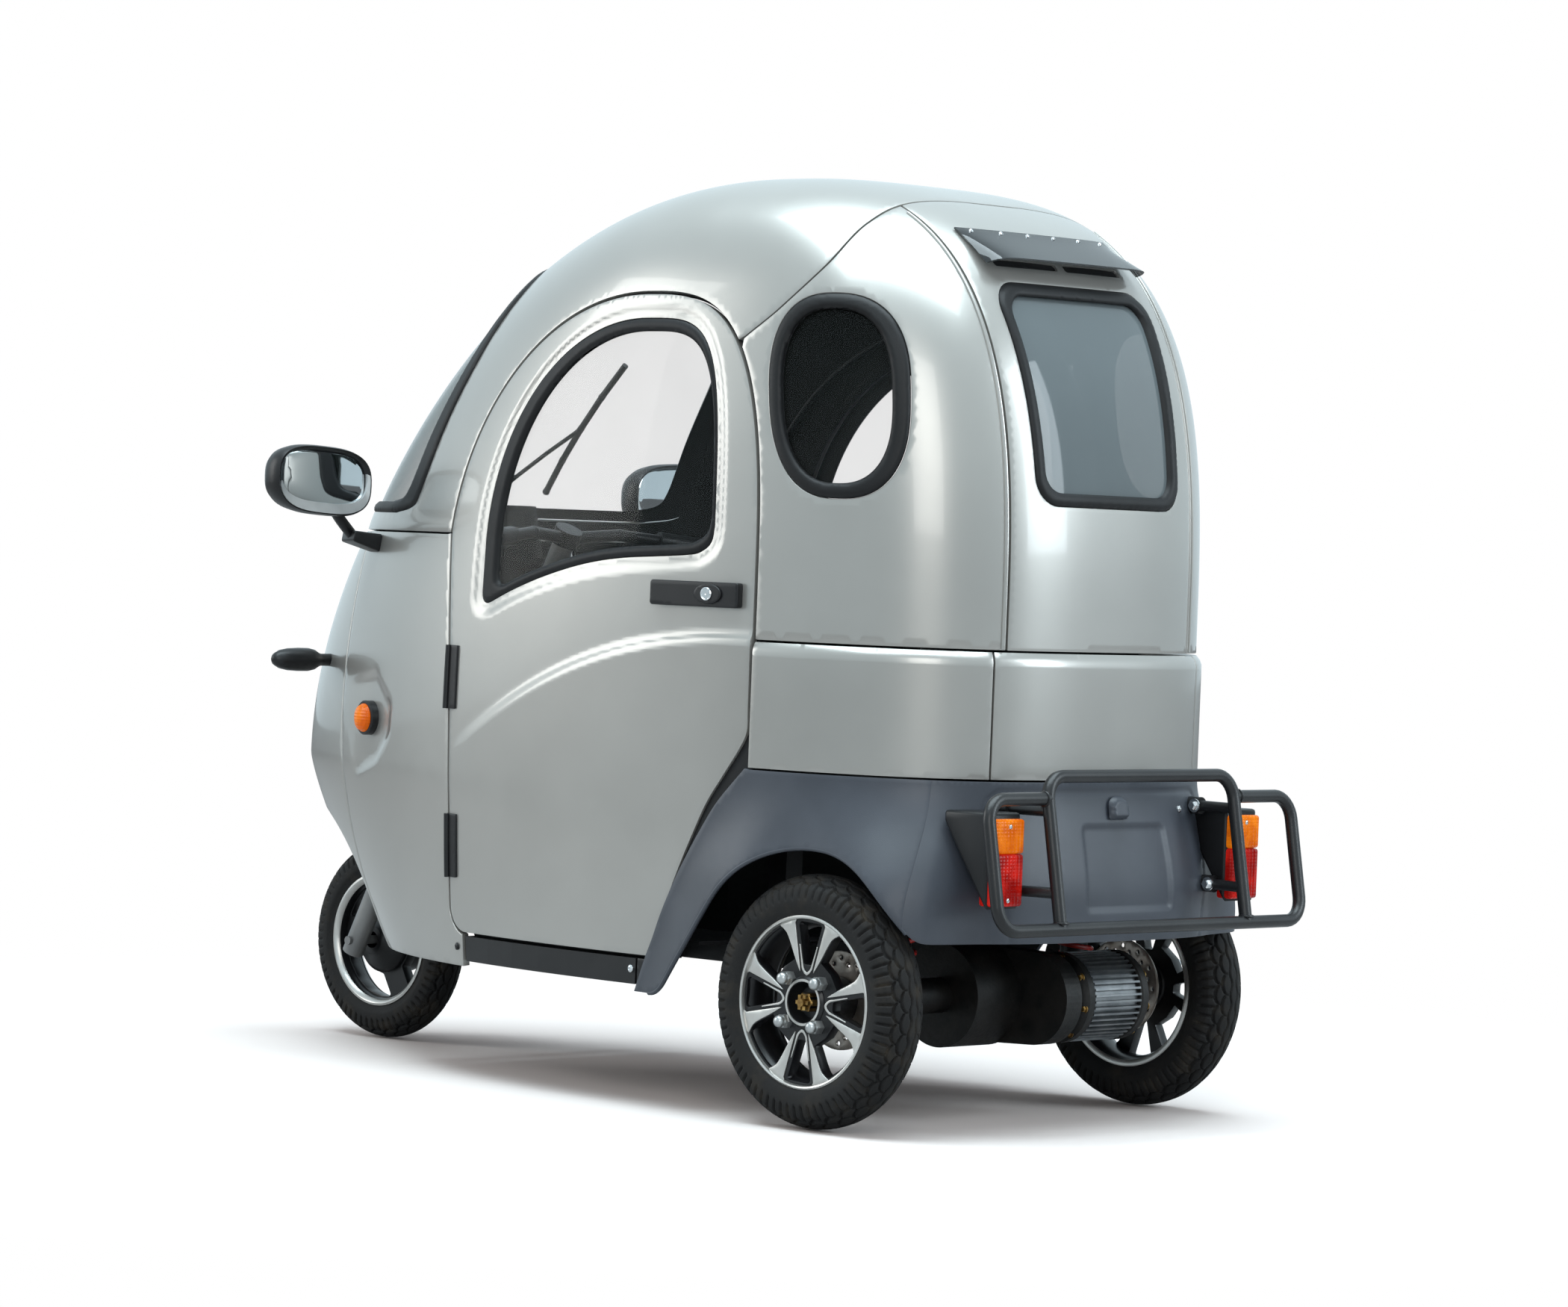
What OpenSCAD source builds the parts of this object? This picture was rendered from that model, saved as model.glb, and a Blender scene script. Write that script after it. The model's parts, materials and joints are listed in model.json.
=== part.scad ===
// Closed electric tricycle with two doors: X forward, Y left, Z up, millimetres.
// Lengths along X are measured from the rear axle; the whole stands on Z = 0.

/* [Wheels] */
// Distance between front and rear axle
wheelbase = 1485; // [1400:5:1600]
// Distance between the middles of the rear tyres
track = 832; // [780:2:880]
// Rear tyre: outer radius
rear_r = 210; // [190:1:225]
// Rear tyre: width
rear_w = 104; // [90:1:115]
// Rear rim: radius of its outer lip
rear_lip_r = 142; // [130:1:150]
// Front tyre: outer radius
front_r = 185; // [170:1:200]
// Front tyre: width
front_w = 80; // [65:1:90]
// Front rim: radius of its outer lip
front_lip_r = 125; // [112:1:130]
// Thickness of a rim's barrel
rim_t = 8; // [5:0.5:12]
// Pairs of spokes of a rear rim
spoke_pairs = 4; // [3:1:6]
// Angle between the two spokes of a pair
pair_angle = 40; // [30:1:44]
// Width of a spoke at the hub
spoke_w = 17; // [12:1:24]
// Width of a spoke at the rim
spoke_flare = 38; // [24:1:44]
// Thickness of a spoke
spoke_t = 20; // [12:1:26]
// Radius of a rear hub's face
hub_r = 58; // [50:1:64]
// Radius of the rear axle's ends
axle_end_r = 15; // [12:0.5:18]
// Radius of a rear brake disc
disc_r = 82; // [72:1:92]
// Thickness of a brake disc
disc_t = 5; // [3:0.5:7]

/* [Body form] */
// Half width of the body at the waist
half_width = 447; // [430:1:460]
// Height of the widest level, where the roof's curve begins
waist_z = 850; // [820:5:880]
// Rise of the roof above that level
roof_rise = 738; // [710:2:780]
// Level of the seam under the windscreen
cowl_z = 955; // [940:5:970]
// Level of the lowest body edge
body_low_z = 196; // [185:1:205]
// Level at which the nose reaches furthest forward
nose_z = 538; // [500:2:580]
// Where the plan is widest, ahead of the rear axle
wide_x = 350; // [310:5:390]
// Reach of the tail behind the rear axle
tail_back = 244; // [225:1:270]
// Reach of the nose ahead of the front axle
nose_ahead = 125; // [110:1:150]
// How far the nose falls back up to the cowl
nose_back = 146; // [120:2:170]
// How far the nose falls back down to its low edge
nose_tuck = 251; // [230:2:270]
// Thickness of the walls
wall_t = 24; // [16:1:28]
// Gap between panels
panel_gap = 0.8; // [0.5:0.1:2]

/* [Seams] */
// Half width of the upper tail panel
tail_half = 235; // [222:1:250]
// Half width of the tail piece of the waist band
band_half = 258; // [240:1:280]
// Level of the waist band's lower edge
band_low_z = 585; // [570:1:600]
// Level of the waist band's upper edge
band_top_z = 797; // [780:1:815]
// How far the band stands out from the upper body
band_out = 9; // [4:1:14]
// Rearmost place of the roof's seam
roof_seam_x = 52; // [30:2:70]
// How far the roof's seam runs forward to the door
roof_seam_run = 163; // [150:1:180]
// How far the roof's seam falls below the roof's top
roof_seam_drop = 290; // [270:1:310]
// Place of the nose seam behind the front axle
nose_seam_back = 183; // [165:1:200]
// How far the nose seam falls back to its foot
nose_seam_tuck = 100; // [80:1:120]

/* [Doors] */
// Middle of the door's arch, ahead of the rear axle
arch_x = 450; // [435:1:465]
// Level where the door's arch begins
arch_z = 900; // [885:1:915]
// Rise of the door's arch
arch_rise = 473; // [450:1:490]
// Reach of the door's arch forward
arch_front = 497; // [480:1:510]
// Reach of the door's arch back
arch_back = 293; // [280:1:305]
// Door's front edge at its foot
door_foot_x = 905; // [895:1:915]
// Door's lower edge
door_low_z = 257; // [250:1:266]
// Cut corner at the door's foot
door_corner = 45; // [30:1:60]
// Door's thickness
door_t = 30; // [24:1:34]
// Gap around a door
door_gap = 6; // [5.5:0.5:8]
// Fall of the door's crease towards its front
crease_fall = 226; // [180:2:260]
// Height of the ledge along the crease
crease_h = 14; // [8:1:24]
// Radius of a hinge's barrel
barrel_r = 9; // [8:0.5:11]
// Radius of a hinge's pin
pin_r = 4; // [3:0.5:5]
// Length of a hinge
hinge_len = 112; // [96:1:124]
// Level of the lower hinge
hinge_low_z = 407; // [395:1:420]
// Level of the upper hinge
hinge_top_z = 703; // [690:1:715]
// Length of a door handle's plate
handle_len = 198; // [160:1:220]
// Height of a door handle's plate
handle_h = 42; // [34:1:50]
// How far a door handle stands out
handle_out = 13; // [9:0.5:18]
// Level of a door handle's middle
handle_z = 870; // [860:1:880]

/* [Glass] */
// Door window: level where its arch begins
pane_z = 930; // [920:1:940]
// Door window: rise above that level
pane_rise = 403; // [385:1:412]
// Door window: reach forward
pane_front = 391; // [375:1:405]
// Door window: reach back
pane_back = 198; // [185:1:212]
// Door window: fall of its lower edge to the front
pane_drop = 104; // [80:1:115]
// Half width of the tail window
tail_pane_half = 198; // [185:1:208]
// Tail window: lower edge
tail_pane_low = 1037; // [1020:1:1060]
// Tail window: upper edge
tail_pane_top = 1408; // [1390:1:1412]
// Half width of the windscreen at its foot
screen_half = 346; // [330:1:352]
// Windscreen: lower edge
screen_low = 988; // [984:1:1005]
// Windscreen: upper edge
screen_top = 1452; // [1435:1:1460]
// Side porthole: half width
port_half = 124; // [110:1:130]
// Side porthole: half height
port_rise = 170; // [150:1:178]
// Side porthole: middle's place
port_x = 23; // [14:1:32]
// Side porthole: middle's level
port_z = 1206; // [1190:1:1220]
// Width of the rubber around a pane
seal_w = 24; // [18:1:28]
// Thickness of a pane
pane_t = 5; // [4:0.5:7]

/* [Tail] */
// How far the rear rack stands behind the tail
rack_back = 132; // [115:1:150]
// Radius of the rack's tube
rack_r = 11; // [9:0.5:13]
// Half width of the rack
rack_half = 394; // [375:1:405]
// Half distance of the rack's uprights
upright_half = 242; // [225:1:252]
// Level of the rack's lowest tube
rack_low_z = 352; // [345:1:365]
// Level of the rack's shoulders
rack_side_z = 562; // [545:1:575]
// Level of the rack's top tube
rack_top_z = 598; // [585:1:612]
// Radius of the rack's bends
rack_bend = 40; // [30:1:48]
// How far the rack leans in towards the tail over its height
rack_lean = 44; // [30:1:55]
// Radius of a wheel arch
arch_r = 258; // [250:1:266]
// How far the fenders flare out
flare = 40; // [30:1:46]
// Half width of the valance between the fenders
fender_half = 340; // [330:1:350]
// Lower edge of the valance
valance_low = 322; // [314:1:330]
// Width of the recess for a plate
plate_w = 276; // [240:1:300]
// Height of the recess for a plate
plate_h = 160; // [140:1:170]
// Distance between the plate's bolts
plate_bolts = 140; // [120:1:150]
// Radius of the plate's bolt holes
plate_hole_r = 3.5; // [2.5:0.25:4.5]
// Distance of a tail lamp from the middle
lamp_y = 308; // [300:1:316]
// Width of a tail lamp
lamp_w = 74; // [60:1:80]
// Height of a tail lamp
lamp_h = 130; // [110:1:140]
// Lower edge of a tail lamp
lamp_z = 398; // [390:1:405]
// Half width of the visor over the tail window
visor_half = 186; // [170:1:200]
// How far the visor's lip stands out
visor_out = 32; // [15:1:45]

/* [Nose and cab] */
// Radius of the headlamp
lamp_r = 82; // [70:1:90]
// Level of the headlamp
headlamp_z = 705; // [690:1:720]
// Length of a mirror's head
mirror_len = 216; // [190:1:230]
// Height of a mirror's head
mirror_h = 124; // [105:1:130]
// Distance of a mirror's middle from the car's middle
mirror_y = 446; // [440:1:452]
// Level of a mirror's middle
mirror_z = 1040; // [1030:1:1050]
// Radius of a side marker
marker_r = 33; // [26:1:36]
// Length of a turn signal with its stalk
signal_len = 181; // [160:1:190]
// Driver's seat: width
seat_w = 420; // [380:5:440]
// Driver's seat: length
seat_len = 400; // [370:5:420]
// Driver's seat: level of its underside
seat_z = 560; // [560:1:570]
// Rear bench: width
bench_w = 600; // [560:5:620]
// Rear bench: length
bench_len = 380; // [350:5:390]
// Height of a seat's back
seat_back_h = 300; // [260:5:330]
// Half width of the dashboard
dash_half = 300; // [270:5:320]

/* [Frame and running gear] */
// Side of the frame's square tube
tube = 40; // [30:1:44]
// Distance of the frame's rails from the middle
rail_y = 230; // [220:1:240]
// Level of the low rails' underside
rail_z = 240; // [232:1:248]
// Level of the rear rails' underside
kick_z = 500; // [490:1:510]
// Thickness of the floor
floor_t = 6; // [3:0.5:8]
// Length of the battery pack
battery_len = 340; // [300:5:360]
// Width of the battery pack
battery_w = 380; // [340:5:400]
// Rake of the steering head
rake = 27; // [24:0.5:30]
// Distance of the front axle ahead of the steering axis
fork_offset = 34; // [24:1:44]
// Half distance of the fork's legs
fork_half = 84; // [78:1:92]
// Radius of the steering column
column_r = 20; // [16:0.5:22]
// Length of the steering head
head_len = 190; // [170:1:210]
// Reach of a grip's end from the middle
grip_half = 290; // [260:1:300]
// Radius of the drive motor
motor_r = 76; // [66:1:82]
// Length of the drive motor
motor_len = 200; // [170:1:210]
// Number of the motor's fins
motor_fins = 40; // [24:1:60]
// Radius of the rear axle's tube
axle_tube_r = 30; // [25:1:34]
// Radius of a spring
spring_r = 24; // [18:1:28]

/* [Hidden] */

$fn = 48;
eps = 1;
clear = 0.25;
run_clear = 0.06;
far = 2000;
ring_n = 44;
axle_x = -(wheelbase + front_r - tail_back - rack_back) / 2;
roof_z = waist_z + roof_rise;
tail_reach = wide_x + tail_back;
nose_reach = wheelbase + nose_ahead - wide_x;
roof_power = 4.34;
rear_power = 3.22;
tail_power = 2.8;
front_power = 2.18;
screen_power = 1.154;
crown_power = 2.251;
brow_power = 1.94;
tuck_power = 1.272;
paint = [0.66, 0.65, 0.62];
dark = [0.2, 0.21, 0.23];
rubber = [0.08, 0.08, 0.09];
metal = [0.6, 0.6, 0.6];
glass = [0.7, 0.8, 0.85, 0.35];
amber = [0.95, 0.55, 0.1];
red = [0.7, 0.05, 0.05];

// Body form: horizontal sections, each of two half superellipses
function rise(z, off) = max(0, min(1, (z - waist_z) / (roof_rise + off)));
function half_w(z, off) = (half_width + off) * pow(1 - pow(rise(z, off), roof_power), 1 / roof_power);
function rear_a(z, off) = (tail_reach + off) * pow(1 - pow(rise(z, off), tail_power), 1 / tail_power);
function up_share(z, off) = min(1, max(0, (z - cowl_z) / (roof_z + off - cowl_z)));
function nose_up(z) = pow((z - nose_z) / (cowl_z - nose_z), brow_power);
function nose_down(z) = pow((nose_z - z) / (nose_z - body_low_z), tuck_power);
function front_a(z, off) = z >= cowl_z
    ? (nose_reach - nose_back + off) * pow(1 - pow(up_share(z, off), screen_power), 1 / crown_power)
    : off + nose_reach - (z >= nose_z ? nose_back * nose_up(z) : nose_tuck * nose_down(z));
// A point of the section at level z: angle 0 is the nose, 90 the left side, 180 the tail
function around(s, z, off) =
    let (ahead = abs(s) <= 90)
    let (t = ahead ? abs(s) : 180 - abs(s))
    let (power = ahead ? front_power : rear_power)
    let (reach = ahead ? front_a(z, off) : -rear_a(z, off))
    [wide_x + reach * pow(max(0, cos(t)), 2 / power), sign(s) * half_w(z, off) * pow(max(0, sin(t)), 2 / power), z];
// The angle at which a section passes a place along X, or a distance from the middle at the tail or the nose
function at_x(x, z, off) = x >= wide_x
    ? acos(pow(min(1, (x - wide_x) / front_a(z, off)), front_power / 2))
    : 180 - acos(pow(min(1, (wide_x - x) / rear_a(z, off)), rear_power / 2));
function at_tail(y, z, off) = 180 - asin(pow(min(1, y / half_w(z, off)), rear_power / 2));
function at_nose(y, z, off) = asin(pow(min(1, y / half_w(z, off)), front_power / 2));
function on_side(x, z, off) = around(at_x(x, z, off), z, off);
function on_nose(y, z, off) = around(sign(y) * at_nose(abs(y), z, off), z, off);
function steps(a, b, n) = [for (i = [0 : n]) a + (b - a) * i / n];
// Levels that crowd towards the upper one, where the roof turns in
function crowd(a, b, n) = [for (i = [0 : n]) a + (b - a) * sin(90 * i / n)];
function quad(a, b, c, d) = [[a, c, b], [a, d, c]];

// A closed solid between two equal grids of points
module skin(outer, inner) {
    m = len(outer);
    n = len(outer[0]);
    k = m * n;
    points = concat([for (row = outer) each row], [for (row = inner) each row]);
    faces = concat(
        [for (i = [0 : m - 2], j = [0 : n - 2])
            each quad(i * n + j, (i + 1) * n + j, (i + 1) * n + j + 1, i * n + j + 1)],
        [for (i = [0 : m - 2], j = [0 : n - 2])
            each quad(k + i * n + j, k + i * n + j + 1, k + (i + 1) * n + j + 1, k + (i + 1) * n + j)],
        [for (j = [0 : n - 2]) each quad(j, j + 1, k + j + 1, k + j)],
        [for (j = [0 : n - 2])
            each quad((m - 1) * n + j, k + (m - 1) * n + j, k + (m - 1) * n + j + 1, (m - 1) * n + j + 1)],
        [for (i = [0 : m - 2]) each quad(i * n, k + i * n, k + (i + 1) * n, (i + 1) * n)],
        [for (i = [0 : m - 2])
            each quad(i * n + n - 1, (i + 1) * n + n - 1, k + (i + 1) * n + n - 1, k + i * n + n - 1)]);
    polyhedron(points, faces, convexity = 10);
}

// A wall between two places along X on the left side, from depth `in` to depth `out`
module side_wall(x0, x1, levels, n, out, in) {
    skin([for (z = levels) [for (s = steps(at_x(x0, z, out), at_x(x1, z, out), n)) around(s, z, out)]],
        [for (z = levels) [for (s = steps(at_x(x0, z, in), at_x(x1, z, in), n)) around(s, z, in)]]);
}
// A wall across the tail, between two distances from the middle
module tail_wall(y0, y1, levels, n, out, in) {
    skin([for (z = levels) [for (y = steps(y0, y1, n)) around(sign(y + clear) * at_tail(abs(y), z, out), z, out)]],
        [for (z = levels) [for (y = steps(y0, y1, n)) around(sign(y + clear) * at_tail(abs(y), z, in), z, in)]]);
}
// A wall round the left rear corner, from a distance from the middle at the tail to a place along X
module corner_wall(y0, x1, levels, n, out, in) {
    skin([for (z = levels) [for (s = steps(at_tail(y0, z, out), at_x(x1, z, out), n)) around(s, z, out)]],
        [for (z = levels) [for (s = steps(at_tail(y0, z, in), at_x(x1, z, in), n)) around(s, z, in)]]);
}
// A wall across the nose, ahead of a place along X
module nose_wall(x0, levels, n, out, in) {
    skin([for (z = levels) [for (s = steps(at_x(x0, z, out), -at_x(x0, z, out), n)) around(s, z, out)]],
        [for (z = levels) [for (s = steps(at_x(x0, z, in), -at_x(x0, z, in), n)) around(s, z, in)]]);
}
// A wall across the nose, between two equal distances from the middle
module brow_wall(y, levels, n, out, in) {
    skin([for (z = levels) [for (s = steps(at_nose(y, z, out), -at_nose(y, z, out), n)) around(s, z, out)]],
        [for (z = levels) [for (s = steps(at_nose(y, z, in), -at_nose(y, z, in), n)) around(s, z, in)]]);
}
// All that lies within the body's sections between two levels
module within(z0, z1, off) {
    n = ring_n;
    levels = steps(z0, z1, 2);
    m = len(levels);
    points = [for (z = levels, j = [0 : n - 1]) around(180 - 360 * j / n, z, off)];
    faces = concat(
        [for (i = [0 : m - 2], j = [0 : n - 1])
            each quad(i * n + j, (i + 1) * n + j, (i + 1) * n + (j + 1) % n, i * n + (j + 1) % n)],
        [[for (j = [0 : n - 1]) n - 1 - j]],
        [[for (j = [0 : n - 1]) (m - 1) * n + j]]);
    polyhedron(points, faces, convexity = 4);
}

module from_axle() {
    translate([axle_x, 0, 0])
        children();
}
module both_sides() {
    children();
    mirror([0, 1, 0])
        children();
}
// A side outline drawn in X and Z, pushed through along Y between two distances
module through_y(y0, y1) {
    translate([0, y1, 0])
        rotate([90, 0, 0])
            linear_extrude(height = y1 - y0)
                children();
}
// A front outline drawn in Y and Z, pushed along X between two places
module through_x(x0, x1) {
    translate([x0, 0, 0])
        rotate([90, 0, 90])
            linear_extrude(height = x1 - x0)
                children();
}
// A round bar between two points
module rod(a, b, r) {
    d = b - a;
    len = norm(d);
    translate(a)
        rotate([0, acos(d[2] / len), atan2(d[1], d[0])])
            cylinder(h = len, r = r);
}

// Outlines of the doors, panes and seams
function arc(cx, cz, rx, rz, power, a0, a1, n) = [for (a = steps(a0, a1, n))
    [cx + sign(cos(a)) * rx * pow(abs(cos(a)), 2 / power), cz + rz * pow(abs(sin(a)), 2 / power)]];
fender_x = -30;
fender_z = 330;
fender_r = 318;
fender_foot_x = 392;
door_rear_x = arch_x - arch_back;
door_front_x = arch_x + arch_front;
module fender_lead(grow) {
    translate([fender_x, fender_z])
        circle(fender_r + grow);
    polygon([[0, 0], [fender_foot_x + grow, 0], [fender_foot_x + grow, body_low_z],
        [fender_x + fender_r + grow, fender_z + wall_t], [0, fender_z]]);
}
module door_outline(grow) {
    difference() {
        polygon(concat(
            arc(arch_x, arch_z, arch_front + grow, arch_rise + grow, 2, 0, 90, 10),
            arc(arch_x, arch_z, arch_back + grow, arch_rise + grow, 3, 90, 180, 8),
            [[door_rear_x - grow, door_low_z - grow],
                [door_foot_x - door_corner, door_low_z - grow],
                [door_foot_x + grow, door_low_z + door_corner - grow],
                [door_foot_x + grow, nose_z]]));
        fender_lead(door_gap - grow);
    }
}
// Door window's heel: [share of its length, share of its height]
heel_shares = [[0, 1], [0.33, 0.38], [1, 0.12]];
heel_len = 54;
heel_h = 32;
pane_dip = 4;
pane_over = 8;
pane_rear_x = arch_x - pane_back;
module pane_outline(inset) {
    edge = concat(
        [for (p = heel_shares) [pane_rear_x + p[0] * heel_len, pane_z + p[1] * heel_h + inset]],
        [[arch_x, pane_z - pane_dip + inset], [arch_x + pane_front + pane_over, pane_z - pane_drop + inset]]);
    intersection() {
        polygon(concat(
            arc(arch_x, pane_z, pane_front - inset, pane_rise - inset, 2, 0, 90, 10),
            arc(arch_x, pane_z, pane_back - inset, pane_rise - inset, 4, 90, 180, 8),
            [[pane_rear_x + inset, 0], [arch_x + pane_front - inset, 0]]));
        polygon(concat(edge, [[arch_x + pane_front + pane_over, far], [pane_rear_x, far]]));
    }
}
port_lean_share = 0.13;
port_power = 2.5;
module port_outline(inset) {
    polygon([for (a = [0 : 12 : 348])
        let (x = sign(cos(a)) * (port_half - inset) * pow(abs(cos(a)), 2 / port_power))
        let (z = sign(sin(a)) * (port_rise - inset) * pow(abs(sin(a)), 2 / port_power))
        [port_x + x + port_lean_share * z, port_z + z]]);
}
tail_corner = 50;
tail_taper = 14;
module tail_pane_outline(inset) {
    corner = tail_corner - inset;
    hull()
        for (side = [-1, 1]) {
            translate([side * (tail_pane_half - tail_taper - inset - corner), tail_pane_low + inset + corner])
                circle(corner, $fn = 24);
            translate([side * (tail_pane_half - inset - corner), tail_pane_top - inset - corner])
                circle(corner, $fn = 24);
        }
}
screen_corner = 34;
screen_brow = 80;
screen_taper = 58;
screen_fall = 26;
screen_flat = 60;
module screen_outline(inset) {
    corner = screen_corner - inset;
    brow = screen_brow - inset;
    hull()
        for (side = [-1, 1]) {
            translate([side * (screen_half - inset - corner), screen_low + inset + corner])
                circle(corner, $fn = 24);
            translate([side * (screen_half - screen_taper - inset - brow), screen_top - screen_fall - inset - brow])
                circle(brow, $fn = 24);
            translate([side * screen_flat, screen_top - inset - brow])
                circle(brow, $fn = 24);
        }
}
// Roof seam: [share of its run forward, share of its drop]
roof_seam_shares = [[1, 1], [0.55, 0.81], [0.15, 0.56], [0.012, 0.32], [0, 0.15]];
module roof_seam_outline(grow) {
    foot_x = roof_seam_x + roof_seam_run;
    polygon(concat(
        [[-far, 0], [foot_x - grow, 0]],
        [for (p = roof_seam_shares)
            [roof_seam_x + p[0] * roof_seam_run - grow, roof_z - p[1] * roof_seam_drop]],
        [[roof_seam_x - grow, far], [-far, far]]));
}
// Nose seam: [share of its tuck, share of its height]
nose_seam_shares = [[0.98, 0], [0.42, 0.35], [0.17, 0.675], [0, 1]];
nose_seam_h = 437;
nose_seam_x = wheelbase - nose_seam_back;
module nose_seam_outline(grow) {
    polygon(concat(
        [[nose_seam_x - nose_seam_tuck + grow, 0]],
        [for (p = nose_seam_shares)
            [nose_seam_x - p[0] * nose_seam_tuck + grow, body_low_z + p[1] * nose_seam_h]],
        [[nose_seam_x + grow, far], [far + nose_seam_x, far], [far + nose_seam_x, 0]]));
}

// Upper body
roof_cap = 1.5;
crown_levels = crowd(cowl_z + panel_gap / 2, roof_z - roof_cap, 13);
module dome(off) {
    n = ring_n;
    levels = [for (z = crown_levels) z > waist_z + roof_rise / 2 ? z + off * (z - cowl_z) / (roof_z - cowl_z) : z];
    m = len(levels);
    points = concat(
        [for (z = levels, j = [0 : n - 1]) around(180 - 360 * j / n, z, off)],
        [[wide_x, 0, roof_z + off]]);
    faces = concat(
        [for (i = [0 : m - 2], j = [0 : n - 1])
            each quad(i * n + j, (i + 1) * n + j, (i + 1) * n + (j + 1) % n, i * n + (j + 1) % n)],
        [for (j = [0 : n - 1]) [(m - 1) * n + j, (m - 1) * n + (j + 1) % n, m * n]],
        [[for (j = [0 : n - 1]) n - 1 - j]]);
    polyhedron(points, faces, convexity = 10);
}
module roof_shell() {
    color(paint)
        from_axle()
            difference() {
                dome(0);
                translate([0, 0, -eps])
                    dome(-wall_t);
                through_y(-far, far)
                    roof_seam_outline(-panel_gap / 2);
                through_y(-far, far)
                    door_outline(door_gap);
                through_x(wide_x, wide_x + far)
                    screen_outline(0);
            }
}
// What lies ahead of the roof's seam, and is cut from the panels behind it
module ahead_of_roof_seam() {
    difference() {
        translate([-far, 0])
            square(2 * far);
        roof_seam_outline(panel_gap / 2);
    }
}
quarter_below = 36;
quarter_top = roof_z - quarter_below;
tail_below = 23;
tail_top = roof_z - tail_below;
door_reach = 90;
behind_door_x = door_rear_x + door_reach;
module quarter_left() {
    levels = crowd(band_top_z + panel_gap, quarter_top, 12);
    color(paint)
        from_axle()
            difference() {
                corner_wall(tail_half + panel_gap / 2, behind_door_x, levels, 10, 0, -wall_t);
                through_y(0, far)
                    door_outline(door_gap);
                through_y(0, far)
                    ahead_of_roof_seam();
                through_y(0, far)
                    port_outline(0);
            }
}
module quarter_right() {
    mirror([0, 1, 0])
        quarter_left();
}
slot_len = 96;
slot_h = 12;
slot_y = 80;
slot_above = 24;
slot_z = tail_pane_top + slot_above;
module tail_panel() {
    levels = crowd(band_top_z + panel_gap, tail_top, 18);
    color(paint)
        from_axle()
            difference() {
                tail_wall(-tail_half + panel_gap / 2, tail_half - panel_gap / 2, levels, 10, 0, -wall_t);
                through_y(-far, far)
                    ahead_of_roof_seam();
                through_x(-far, wide_x)
                    tail_pane_outline(0);
                for (side = [-1, 1])
                    translate([-far / 2, side * slot_y, slot_z])
                        cube([far, slot_len, slot_h], center = true);
            }
}
// A smoked lip over the tail window's slots that flares out downwards
visor_above = 65;
visor_top = slot_z + visor_above;
visor_h = 45;
visor_t = 4;
visor_seat = 0.4;
module tail_visor() {
    shares = steps(0, 1, 4);
    outs = [for (s = shares) visor_seat + visor_t + visor_out * (1 - s) * (1 - s)];
    color(rubber)
        from_axle()
            skin([for (k = [0 : 4])
                    let (z = visor_top - visor_h * (1 - shares[k]))
                    [for (y = steps(-visor_half, visor_half, 10))
                        around(sign(y + clear) * at_tail(abs(y), z, outs[k]), z, outs[k])]],
                [for (k = [0 : 4])
                    let (z = visor_top - visor_h * (1 - shares[k]))
                    let (in = outs[k] - visor_t)
                    [for (y = steps(-visor_half, visor_half, 10))
                        around(sign(y + clear) * at_tail(abs(y), z, in), z, in)]]);
}

// Waist band
band_levels = steps(band_low_z, band_top_z, 3);
module band_left() {
    color(paint)
        from_axle()
            difference() {
                corner_wall(band_half + panel_gap / 2, behind_door_x, band_levels, 9, band_out, -wall_t);
                through_y(0, far)
                    door_outline(door_gap);
            }
}
module band_right() {
    mirror([0, 1, 0])
        band_left();
}
module band_tail() {
    color(paint)
        from_axle()
            tail_wall(-band_half + panel_gap / 2, band_half - panel_gap / 2, band_levels, 8, band_out, -wall_t);
}

// Nose: a centre piece and two sides
brow_step = 62;
nose_levels = concat(steps(body_low_z, nose_z, 6), steps(nose_z + brow_step, cowl_z - panel_gap / 2, 5));
wheel_room = 68;
nose_lap = 30;
module nose_centre() {
    color(paint)
        from_axle()
            difference() {
                nose_wall(nose_seam_x - nose_seam_tuck - nose_lap, nose_levels, 18, 0, -wall_t);
                through_y(-far, far)
                    difference() {
                        square(2 * far);
                        nose_seam_outline(panel_gap / 2);
                    }
                translate([wheelbase, 0, front_r])
                    rotate([90, 0, 0])
                        cylinder(h = far, r = front_r + wheel_room, center = true);
                lamp_at()
                    cylinder(h = 3 * lamp_deep, r = lamp_r + clear, center = true);
            }
}
module nose_left() {
    color(paint)
        from_axle()
            difference() {
                side_wall(door_foot_x - leaf_deep, nose_seam_x + nose_lap, nose_levels, 10, 0, -wall_t);
                through_y(0, far)
                    nose_seam_outline(-panel_gap / 2);
                through_y(0, far)
                    door_outline(door_gap);
                for (z = hinge_levels)
                    translate([hinge_x - leaf_len - door_gap, hinge_y - leaf_deep - wall_t, z - hinge_third / 2 - arm_room])
                        cube([leaf_len + wall_t, leaf_deep + wall_t, hinge_third + 2 * arm_room]);
            }
    hinge_posts();
}
module nose_right() {
    mirror([0, 1, 0])
        nose_left();
}

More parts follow.
